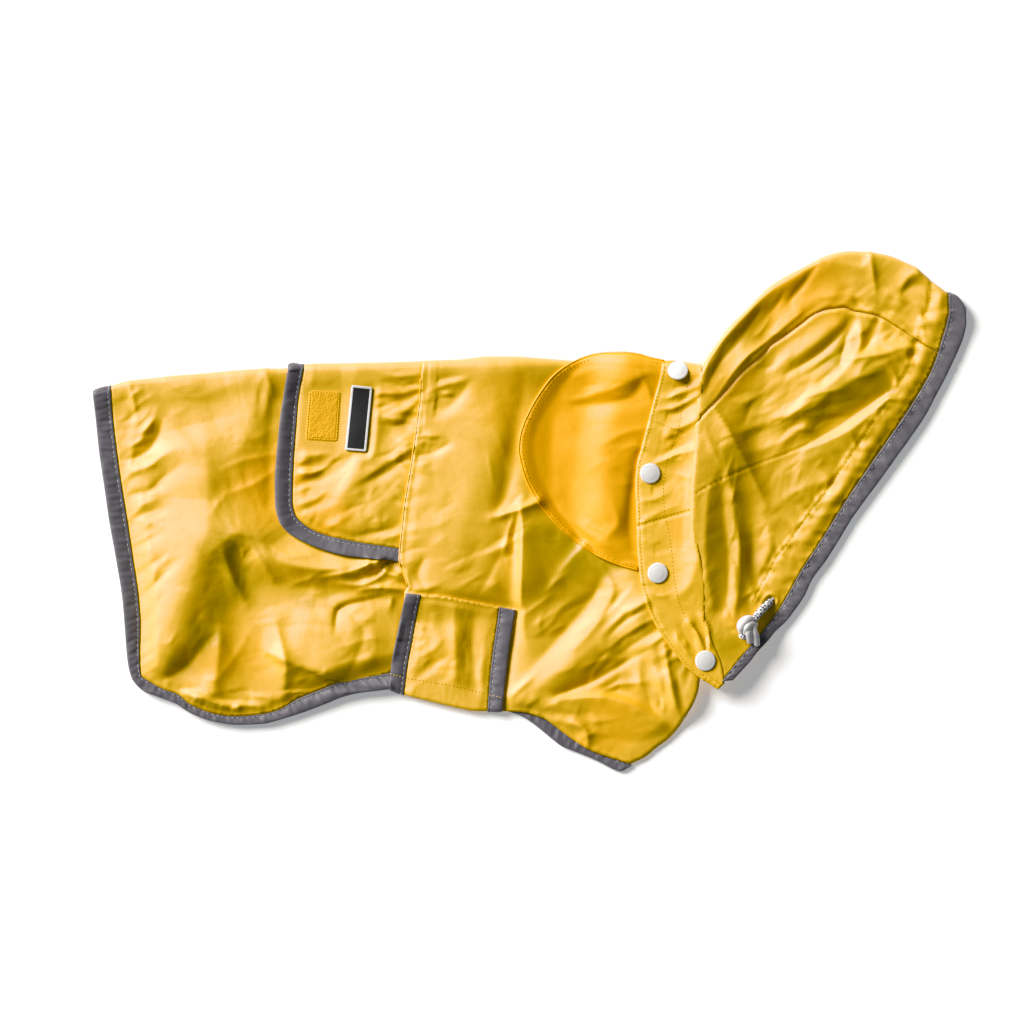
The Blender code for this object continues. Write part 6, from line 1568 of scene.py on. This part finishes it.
for side, flip in (("left", 1), ("right", -1)):
    st = tape_stations(CHEST_TAPE, mirror=False)
    place = mapped(np.maximum(front_top - 1.5, LOWER + 0.6), LOWER)
    if flip < 0:
        st = st.copy()
        st[:, 1] = -FOLD_LEN - st[:, 1]
        st[:, 3] = -FOLD_LEN - st[:, 3]
    tape = swept(f"chest_tape_{side}", st, TAPE_SECTION, place, GREY, tape_wobble(5, 0.5, 5.0))
    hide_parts(f"chest_binding_{side}")

# ---------------------------------------------------------------- belly strap
strap_left_pts = curve(STRAP_LEFT, 3)
strap_right_pts = curve(STRAP_RIGHT, 3)
strap_low = curve(STRAP_LOW, 3)


def strap_low_mm(x):
    return mm_y(along([p[0] for p in STRAP_LOW], [p[1] for p in STRAP_LOW], np.clip(px_x(x), 388.5, 502.5)))


def strap_at(x, s, h=0.0):
    """The strap runs down over the coat's side and turns under its edge."""
    x, s = np.asarray(x, float), np.asarray(s, float)
    h = np.broadcast_to(np.asarray(h, float), x.shape)
    turn = mm_y(turn_px(px_x(x)))
    low_y = strap_low_mm(x)
    zu, zl = look_up(strap_top, x, low_y + 2.0), look_up(LOWER, x, low_y + 2.0) + 0.1
    half = 0.5 * (zu - zl)
    edge_y = low_y + half
    y = turn - s
    over = np.maximum(0, edge_y - y)
    arc = math.pi * half
    angle = math.pi * np.clip(over / arc, 0, 1)
    back = np.maximum(0, over - arc)
    calm = ease((edge_y + 3.0 - y) / 3.0)
    z_up = look_up(strap_top, x, np.maximum(y, edge_y)) * (1 - calm) + zu * calm
    up_y, up_z = np.maximum(y, edge_y), z_up + h
    out_y = edge_y - (half + h) * np.sin(angle) + back
    out_z = 0.5 * (zu + zl) + (half + h) * np.cos(angle)
    turned = over > 0
    return np.stack([x, np.where(turned, out_y, up_y), np.maximum(np.where(turned, out_z, up_z), 0.03)], axis=-1)


def strap_edge_line(pts, pick):
    """One long edge of the strap or its binding, from the top to where it ends under the coat."""
    x, y = pts[:, pick], pts[:, pick + 1]
    out = to_sheet(np.stack([x, y], axis=1))
    xe = out[-1, 0]
    low_y = float(strap_low_mm(np.array(xe)))
    zu = float(look_up(strap_top, np.array([xe]), np.array([low_y + 2.0]))[0])
    zl = float(look_up(LOWER, np.array([xe]), np.array([low_y + 2.0]))[0]) + 0.1
    half = 0.5 * (zu - zl)
    turn = float(mm_y(turn_px(float(px_x(xe)))))
    end = turn - (low_y + half) + math.pi * half + 1.0
    start = out[-1, 1]
    steps = max(2, int((end - start) / 1.4))
    down = np.array([[xe, start + (end - start) * (k + 1) / steps] for k in range(steps)])
    keep = out[out[:, 1] <= start]
    return np.vstack([keep, down])


rear_in, rear_out = strap_edge_line(strap_left_pts, 2), strap_edge_line(strap_left_pts, 0)
fore_in, fore_out = strap_edge_line(strap_right_pts, 0), strap_edge_line(strap_right_pts, 2)


def sheet_in_mm(name, loop, at, material, near=1.1, thickness=SHELL):
    near = near * 1.0
    loop = spaced(loop, near, near)
    flat, faces = fill(loop, near, near)
    tri = np.array([f[:3] for f in faces])
    a, b, c = flat[tri[:, 0]], flat[tri[:, 1]], flat[tri[:, 2]]
    turn = (b[:, 0] - a[:, 0]) * (c[:, 1] - a[:, 1]) - (b[:, 1] - a[:, 1]) * (c[:, 0] - a[:, 0])
    tri = np.where((turn > 0)[:, None], tri[:, ::-1], tri)
    made = new_object(name, at(flat[:, 0], flat[:, 1]), tri.tolist(), material)
    solid = made.modifiers.new("wall", "SOLIDIFY")
    solid.thickness = thickness / 1000
    solid.offset = -1.0
    return made


top_mid = to_sheet(curve(STRAP_TOP[1:-1], 3))
strap_loop = np.vstack([rear_in[::-1], top_mid[1:], fore_in])
belly_strap = sheet_in_mm("belly_strap_cloth", strap_loop, strap_at, YELLOW)
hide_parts("belly_strap")


def matched(inner, outer, step=1.2):
    """Stations across two long edges, matched by the share of their lengths."""
    rows = []
    for line in (inner, outer):
        run = np.concatenate([[0], np.cumsum(np.hypot(*np.diff(line, axis=0).T))])
        at = np.linspace(0, run[-1], max(3, int(run[-1] / step)) if not rows else len(rows[0]))
        rows.append(np.stack([np.interp(at, run, line[:, 0]), np.interp(at, run, line[:, 1])], axis=1))
    return np.hstack(rows)


strap_tape_rear = swept("strap_tape_rear", matched(rear_in, rear_out), TAPE_SECTION, strap_at, GREY, tape_wobble(6, 0.25))
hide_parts("strap_binding_rear")
strap_tape_front = swept("strap_tape_front", matched(fore_in, fore_out), TAPE_SECTION, strap_at, GREY, tape_wobble(7, 0.25))
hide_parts("strap_binding_front")


# ---------------------------------------------------------------- patches on the back flap
def bilinear(corners, u, v):
    c = np.array(corners, float)
    u, v = np.asarray(u)[..., None], np.asarray(v)[..., None]
    return c[0] * (1 - u) * (1 - v) + c[1] * u * (1 - v) + c[2] * u * v + c[3] * (1 - u) * v


def slab(name, corners, columns, rows, height, material, round_mm=1.0, edge_mm=0.35, feet=-0.35):
    """A patch with rounded corners: columns by rows quads over four corners, `height` over (u, v, mm from the edge)."""
    c = np.array([[mm_x(p[0]), mm_y(p[1])] for p in corners])
    wide = 0.5 * (math.hypot(*(c[1] - c[0])) + math.hypot(*(c[2] - c[3])))
    deep = 0.5 * (math.hypot(*(c[3] - c[0])) + math.hypot(*(c[2] - c[1])))
    u = np.concatenate([[0, edge_mm / wide], np.linspace(0, 1, columns + 1)[1:-1], [1 - edge_mm / wide, 1]])
    v = np.concatenate([[0, edge_mm / deep], np.linspace(0, 1, rows + 1)[1:-1], [1 - edge_mm / deep, 1]])
    u, v = np.sort(u), np.sort(v)
    uu, vv = np.meshgrid(u, v)
    # corners drawn in
    px_, py_ = (uu - 0.5) * wide, (vv - 0.5) * deep
    hx, hy = 0.5 * wide - round_mm, 0.5 * deep - round_mm
    ox, oy = np.abs(px_) - hx, np.abs(py_) - hy
    corner = (ox > 0) & (oy > 0)
    size = np.hypot(ox, oy)
    reach = np.maximum(ox, oy)
    scale = np.where(corner, reach / np.maximum(size, 1e-9), 1.0)
    px_ = np.where(corner, np.sign(px_) * (hx + ox * scale), px_)
    py_ = np.where(corner, np.sign(py_) * (hy + oy * scale), py_)
    inset = np.where(corner, round_mm - np.hypot(np.abs(px_) - hx, np.abs(py_) - hy), np.minimum(0.5 * wide - np.abs(px_), 0.5 * deep - np.abs(py_)))
    uu2, vv2 = px_ / wide + 0.5, py_ / deep + 0.5
    xy = bilinear(c, uu2, vv2)
    base = look_up(flap_top, xy[..., 0], xy[..., 1])
    top = base + height(uu2, vv2, np.maximum(inset, 0))
    n, m = uu.shape
    verts = np.dstack([xy, top]).reshape(-1, 3).tolist()
    faces = [(j * m + i, (j + 1) * m + i, (j + 1) * m + i + 1, j * m + i + 1) for j in range(n - 1) for i in range(m - 1)]
    # a wall down to the cloth
    rim = [(0, i) for i in range(m)] + [(j, m - 1) for j in range(1, n)] + [(n - 1, i) for i in range(m - 2, -1, -1)] + [(j, 0) for j in range(n - 2, 0, -1)]
    start = len(verts)
    for j, i in rim:
        verts.append([xy[j, i, 0], xy[j, i, 1], base[j, i] + feet])
    k = len(rim)
    for q in range(k):
        j0, i0 = rim[q]
        j1, i1 = rim[(q + 1) % k]
        faces.append((j0 * m + i0, j1 * m + i1, start + (q + 1) % k, start + q))
    faces.append(tuple(start + q for q in range(k - 1, -1, -1)))
    made = new_object(name, verts, faces, material)
    mesh = bmesh.new()
    mesh.from_mesh(made.data)
    bmesh.ops.recalc_face_normals(mesh, faces=mesh.faces)
    if mesh.calc_volume(signed=True) < 0:
        bmesh.ops.reverse_faces(mesh, faces=mesh.faces)
    mesh.to_mesh(made.data)
    mesh.free()
    made.data.shade_smooth()
    return made


LOOP_CORNERS = [(309.5, 390.5), (341.5, 391), (338, 442), (305, 440)]
pile_rng = np.random.RandomState(301)


def pile(u, v, inset):
    rough = pile_rng.normal(0, 0.055, u.shape)
    lumps = 0.10 * noise(3.2, 303, u * 32, v * 51) + 0.16 * noise(7.0, 304, u * 32, v * 51)
    body = 0.04 + 0.42 * ease(inset / 1.8) - 0.22 * np.exp(-(((inset - 1.5) / 0.45) ** 2))
    return body + (rough + lumps) * ease((inset - 0.5) / 1.0) * (1 - 0.6 * np.exp(-(((inset - 1.55) / 0.5) ** 2)))


n_pile = 1
loop_patch = slab("loop_patch_pile", LOOP_CORNERS, 76 // n_pile, 120 // n_pile, pile, LOOP, 2.6, 0.3, feet=-0.15)
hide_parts("loop_patch")

LABEL_CORNERS = [(351.8, 385.3), (372.9, 387.4), (366.6, 452), (345.1, 450.2)]


def label_height(u, v, inset):
    frame_up = 1 - ease((inset - 1.40) / 0.2)
    return 1.0 + 0.32 * frame_up - 0.30 * (1 - ease(inset / 0.35))


label_patch = slab("label_patch_body", LABEL_CORNERS, 78, 200, label_height, BLACK, 1.1, 0.12, feet=-0.2)
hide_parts("label_patch")
label_patch.data.materials.append(PALE)
label_c = np.array([[mm_x(p[0]), mm_y(p[1])] for p in LABEL_CORNERS])
for face in label_patch.data.polygons:
    middle_at = np.mean([label_patch.data.vertices[i].co[:] for i in face.vertices], axis=0) * 1000
    if face.normal.z < 0.3:
        continue
    gap = 1e9
    for k in range(4):
        a0, b0 = label_c[k], label_c[(k + 1) % 4]
        d0 = (b0 - a0) / math.hypot(*(b0 - a0))
        gap = min(gap, abs(d0[0] * (middle_at[1] - a0[1]) - d0[1] * (middle_at[0] - a0[0])))
    if gap < 1.52:
        face.material_index = 1


# ---------------------------------------------------------------- snaps
def spun(name, profile, steps, place, material):
    """A turned body from (radius, height) rows, starting and ending on its axis."""
    rows = np.array(profile, float)
    verts, faces = [], []
    for k, (r, z) in enumerate(rows):
        for i in range(steps):
            a = 2 * math.pi * i / steps
            verts.append((r * math.cos(a), r * math.sin(a), z))
    for k in range(len(rows) - 1):
        for i in range(steps):
            j = (i + 1) % steps
            faces.append((k * steps + i, k * steps + j, (k + 1) * steps + j, (k + 1) * steps + i))
    faces.append(tuple(range(steps - 1, -1, -1)))
    faces.append(tuple((len(rows) - 1) * steps + i for i in range(steps)))
    moved = [tuple(place @ Vector(v)) for v in verts]
    return new_object(name, moved, faces, material)


CAP = [
    (3.4, -0.35), (5.6, -0.30), (6.15, -0.10), (6.4, 0.22), (6.42, 0.5), (6.28, 0.82), (5.95, 1.06), (5.55, 1.18),
    (5.2, 1.25), (4.9, 1.27), (4.6, 1.31), (4.1, 1.42), (3.3, 1.55), (2.3, 1.66), (1.2, 1.72), (0.25, 1.74),
]
SNAP_ROWS = [("snap_1", 677.5, 371.2, 24.0), ("snap_2", 650, 473.5, 0.0), ("snap_3", 657.5, 573, 0.0), ("snap_4", 705, 660.5, 0.0)]
for name, gx, gy, lean in SNAP_ROWS:
    x, y = float(mm_x(gx)), float(mm_y(gy))
    r = 5.2
    ring = np.array([(r * math.cos(a), r * math.sin(a)) for a in np.linspace(0, 2 * math.pi, 17)[:-1]])
    turn_here = float(mm_y(turn_px(gx)))
    spots = band_at(x + ring[:, 0], turn_here - (y + ring[:, 1]))
    middle_at = band_at(np.array([x]), np.array([turn_here - y]))[0]
    centre = spots.mean(axis=0)
    _, _, axes = np.linalg.svd(spots - centre)
    normal = Vector(axes[2] if axes[2][2] > 0 else -axes[2]).normalized()
    if lean:
        normal = Vector((0.0, math.sin(math.radians(lean)), math.cos(math.radians(lean))))
        centre[2] = spots[:, 2].max() - 0.4
    seat = Vector((x, y, 0.5 * (centre[2] + max(middle_at[2], centre[2]))))
    turned = Vector((0, 0, 1)).rotation_difference(normal).to_matrix().to_4x4()
    cap = spun(f"{name}_cap", CAP, 56, Matrix.Translation(seat) @ turned, SNAP)
    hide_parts(name)
    if not lean:
        lower = float(look_up(LOWER, np.array([x]), np.array([y]))[0]) - 2 * LAYER
        flip = Matrix.Translation((x, y, lower - 0.1)) @ Matrix.Rotation(math.pi, 4, "X")
        number = name.split("_")[1]
        cap = spun(f"snap_right_{number}_cap", CAP, 40, flip, SNAP)
        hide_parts(f"snap_right_{number}")


# ---------------------------------------------------------------- stitches
def stitch_row(name, line, at, material, pitch=3.2, length=2.3, radius=0.2, height=0.12, inset=0.0, seed=0, skip_far=True):
    """Sewing thread along a line in grid units, or in sheet mm when it comes as a tuple ("mm", points)."""
    rng = np.random.RandomState(seed + 400)
    pts = line[1] if isinstance(line, tuple) else to_sheet(curve(line, 1.2))
    run = np.concatenate([[0], np.cumsum(np.hypot(*np.diff(pts, axis=0).T))])
    verts, faces = [], []
    sides, rings = 6, 5
    here = 0.6
    while here + length < run[-1]:
        size = length * rng.uniform(0.92, 1.06)
        ts = np.linspace(here, here + size, rings)
        xs, ss = np.interp(ts, run, pts[:, 0]), np.interp(ts, run, pts[:, 1])
        if inset:
            dx, ds = np.gradient(xs), np.gradient(ss)
            n = np.hypot(dx, ds) + 1e-9
            xs, ss = xs - ds / n * inset, ss + dx / n * inset
        if ss.min() < -FOLD_LEN * 0.6 and skip_far:
            here += pitch
            continue
        lift_up = height - 0.45 * radius * 2 * np.abs(np.linspace(-1, 1, rings)) ** 3 * 2
        mid = at(xs, ss, lift_up)
        high = at(xs, ss, lift_up + 1.0)
        up = high - mid
        up /= np.linalg.norm(up, axis=1)[:, None] + 1e-9
        go = np.gradient(mid, axis=0)
        go /= np.linalg.norm(go, axis=1)[:, None] + 1e-9
        across = np.cross(go, up)
        across /= np.linalg.norm(across, axis=1)[:, None] + 1e-9
        rr = radius * np.array([0.45, 0.95, 1.05, 0.95, 0.45])
        base = len(verts)
        for k in range(rings):
            for q in range(sides):
                a = 2 * math.pi * q / sides
                verts.append(mid[k] + rr[k] * (math.cos(a) * across[k] + math.sin(a) * up[k]))
        for k in range(rings - 1):
            for q in range(sides):
                w = (q + 1) % sides
                faces.append((base + k * sides + q, base + k * sides + w, base + (k + 1) * sides + w, base + (k + 1) * sides + q))
        faces.append(tuple(base + q for q in range(sides - 1, -1, -1)))
        faces.append(tuple(base + (rings - 1) * sides + q for q in range(sides)))
        here += pitch
    if not verts:
        return None
    return new_object(name, verts, faces, material)


def tape_line(rows, share):
    """A line along a binding, a share of the way from its inner to its outer edge."""
    rows = np.array(rows, float)
    return [tuple(r[:2] * (1 - share) + r[2:4] * share) for r in rows]


STITCH_SHARE = 0.18
stitch_row("stitch_tail", tape_line(TAIL_TAPE[:-1], STITCH_SHARE), mapped(rear_top, LOWER), WHITE_THREAD, height=0.44, seed=1)
stitch_row("stitch_flap", tape_line(FLAP_TAPE, STITCH_SHARE), flap_at, WHITE_THREAD, height=0.44, seed=2)
stitch_row("stitch_hood", tape_line(HOOD_TAPE, STITCH_SHARE), mapped(hood_top, LOWER), WHITE_THREAD, height=0.44, seed=3)
stitch_row("stitch_strap_rear", ("mm", matched(rear_in, rear_out)[:, :2] * 0.82 + matched(rear_in, rear_out)[:, 2:] * 0.18), strap_at, WHITE_THREAD, height=0.44, seed=4)
stitch_row("stitch_strap_front", ("mm", matched(fore_in, fore_out)[:, :2] * 0.82 + matched(fore_in, fore_out)[:, 2:] * 0.18), strap_at, WHITE_THREAD, height=0.44, seed=5)
stitch_row("stitch_chest", tape_line(CHEST_TAPE, STITCH_SHARE), mapped(np.maximum(front_top - 1.5, LOWER + 0.6), LOWER), WHITE_THREAD, height=0.44, seed=6)
stitch_row("stitch_disc", DISC, disc_place, GOLD_THREAD_PAINTED_SHADE, pitch=2.5, length=1.8, radius=0.17, height=0.0, inset=-2.4, seed=7)
stitch_row("stitch_band_rear", [(r[0], r[1]) for r in BAND_TAPE], band_at, GOLD_THREAD_PAINTED_SHADE, pitch=2.3, length=1.6, radius=0.17, height=0.0, inset=-2.0, seed=8)
BAND_SEAM = [
    (690, 371), (685, 395), (681, 410), (678, 430), (672, 445), (667, 460), (664, 475), (663, 490), (664, 510),
    (668, 530), (671, 550), (673, 570), (675, 585), (678, 600), (684, 615), (692, 625), (700, 635), (712, 648)]
stitch_row("stitch_band_front", BAND_SEAM, band_at, GOLD_THREAD_PAINTED_SHADE, pitch=2.3, length=1.6, radius=0.17, height=0.0, seed=9)
stitch_row("stitch_casing", CASING, hood_at, GOLD_THREAD_PAINTED_SHADE, pitch=2.6, length=1.8, radius=0.18, height=0.0, seed=10)
for number, join in enumerate(BAND_JOINS):
    stitch_row(f"stitch_band_join_{number + 1}", join, band_at, GOLD_THREAD_PAINTED_SHADE, pitch=2.3, length=1.6, radius=0.15, height=0.0, inset=-1.3, seed=20 + number)
stitch_row("stitch_loop_patch", [(310.5, 393), (325, 392.8), (339.5, 393.5), (338, 417), (336.3, 440), (321, 439.3), (307, 438), (308.6, 415), (310.5, 393)],
           flap_at, PALE_THREAD, pitch=1.7, length=1.25, radius=0.17, height=0.42, seed=30)
STRAP_CROSS = [(388.8, 674), (403, 678), (430, 682), (460, 687.5), (488, 694.5), (505, 698)]
stitch_row("stitch_strap_cross_rear", [(388.9, 673.6), (396, 675.4), (404, 677.6)], strap_at, PALE_THREAD, pitch=2.0, length=1.9, radius=0.2, height=0.86, seed=12)
stitch_row("stitch_strap_cross", [(406, 678.2), (430, 682), (460, 687.5), (486, 694)], strap_at, GOLD_THREAD_PAINTED_SHADE, pitch=2.4, length=1.7, radius=0.17, height=0.02, seed=13)
stitch_row("stitch_strap_cross_front", [(488.5, 694.6), (496, 696.3), (503.2, 697.8)], strap_at, PALE_THREAD, pitch=2.0, length=1.9, radius=0.2, height=0.86, seed=14)

piping("collar_flap_edge", DISC, disc_place, 0.62, -0.3, ORANGE)
piping("front_edge_roll", FRONT_EDGE[1:], front_at, 0.5, -0.25, YELLOW)

# ---------------------------------------------------------------- drawcord and knot
# Route as in the part, from inside the casing out through its opening and through the knot: x, y, mm over the hood's cloth.
CORD_ROUTE = [
    (774, 598, -0.9), (771, 601, 0.0), (768.5, 603.5, 1.2), (763, 608.5, 2.6), (757.5, 614.5, 3.0), (753.5, 619.5, 3.6),
    (750.5, 623.5, 4.4), (747.5, 627.5, 5.0), (744.6, 632, 4.2), (742.2, 635.8, 3.0), (741.2, 637.4, 2.5)]
cord_px = curve(CORD_ROUTE, 0.35)
cx, cy = mm_x(cord_px[:, 0]), mm_y(cord_px[:, 1])
cord_ground = look_up(blur(hood_top, 3), cx, cy)
cord_pts = np.stack([cx, cy, cord_ground + cord_px[:, 2]], axis=1)
STRANDS = 8
PICK = 3.4              # mm along the cord in which a strand goes round one place


def braid(turn, place):
    u, v = STRANDS * turn / (2 * math.pi) + place / PICK * 2, STRANDS * turn / (2 * math.pi) - place / PICK * 2
    over = (np.floor(u) + np.floor(v)) % 2 == 0
    crown = np.where(over, np.sin(math.pi * (u % 1)), np.sin(math.pi * (v % 1)))
    return 0.34 * np.clip(crown, 0, 1) ** 0.6 - 0.26


cord_along = np.concatenate([[0], np.cumsum(np.linalg.norm(np.diff(cord_pts, axis=0), axis=1))])
cord_thick = 0.5 * CORD_D * (0.42 + 0.58 * ease(cord_along / 4.5))     # narrower inside the casing, between its two sides
cord_verts, cord_faces, cord_turn, cord_run = tube_mesh(cord_pts, cord_thick, 64, braid)
drawcord = new_object("drawcord_braid", cord_verts, cord_faces, CORD_WHITE)
drawcord.data.materials.append(CORD_NAVY)
sides = len(cord_turn)
for index, face in enumerate(drawcord.data.polygons):
    i, k = divmod(index, sides)
    if i >= len(cord_run) - 1:
        continue
    t, q = cord_turn[k] + math.pi / sides, 0.5 * (cord_run[i] + cord_run[i + 1])
    u, v = STRANDS * t / (2 * math.pi) + q / PICK * 2, STRANDS * t / (2 * math.pi) - q / PICK * 2
    over = (math.floor(u) + math.floor(v)) % 2 == 0
    if (math.floor(u) % 2 == 1 and math.floor(v) % 2 == 1) or (math.floor(u) % 4 == 0 and math.floor(v) % 4 == 2):
        face.material_index = 1
outwards(drawcord)
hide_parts("drawcord")

KNOT_WRAPS = [
    # x, y, mm over the cloth, radius
    [(752.5, 620.5, 2.6, 2.5), (748.5, 619.6, 4.4, 3.0), (744.0, 621.4, 5.4, 3.3), (741.0, 625.6, 5.0, 3.2), (741.2, 630.0, 3.6, 2.6)],
    [(754.0, 624.5, 2.8, 2.3), (750.5, 623.8, 5.0, 2.7), (746.0, 626.5, 6.3, 2.9), (744.6, 631.2, 4.6, 2.4)],
    [(746.0, 625.5, 5.6, 2.3), (747.2, 631.0, 5.8, 2.45), (748.6, 636.5, 4.2, 2.4), (749.4, 640.6, 2.4, 2.2)],
    [(750.6, 625.0, 5.0, 2.2), (753.4, 631.0, 5.2, 2.35), (755.4, 638.0, 3.7, 2.3), (756.2, 643.2, 2.2, 2.1)],
    [(751.0, 628.0, 2.0, 2.6), (747.5, 632.0, 2.2, 2.8), (746.0, 636.0, 1.8, 2.3)],
]
knot_verts, knot_faces = [], []
for wrap in KNOT_WRAPS:
    w = curve(wrap, 0.8)
    wx, wy = mm_x(w[:, 0]), mm_y(w[:, 1])
    path = np.stack([wx, wy, look_up(blur(hood_top, 3), wx, wy) + w[:, 2]], axis=1)
    # round ends
    lead, tail = path[0] - path[1], path[-1] - path[-2]
    lead, tail = lead / np.linalg.norm(lead), tail / np.linalg.norm(tail)
    r0, r1 = w[0, 3], w[-1, 3]
    caps = [0.98, 0.85, 0.6, 0.3]
    path = np.vstack([[path[0] + lead * r0 * c for c in caps], path, [path[-1] + tail * r1 * c for c in caps[::-1]]])
    radii = np.concatenate([[r0 * math.sqrt(1 - c * c) for c in caps], w[:, 3], [r1 * math.sqrt(1 - c * c) for c in caps[::-1]]])
    v, f, _, _ = tube_mesh(path, radii, 18)
    base = len(knot_verts)
    knot_verts += v.tolist()
    knot_faces += [tuple(base + k for k in face) for face in f]
knot = outwards(new_object("drawcord_knot_wraps", knot_verts, knot_faces, CORD_WHITE))
melt = knot.modifiers.new("one_body", "REMESH")
melt.mode = "VOXEL"
melt.voxel_size = 0.00026
melt.use_smooth_shade = True
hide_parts("drawcord_knot")

# ---------------------------------------------------------------- quick finish
bpy.context.view_layer.update()
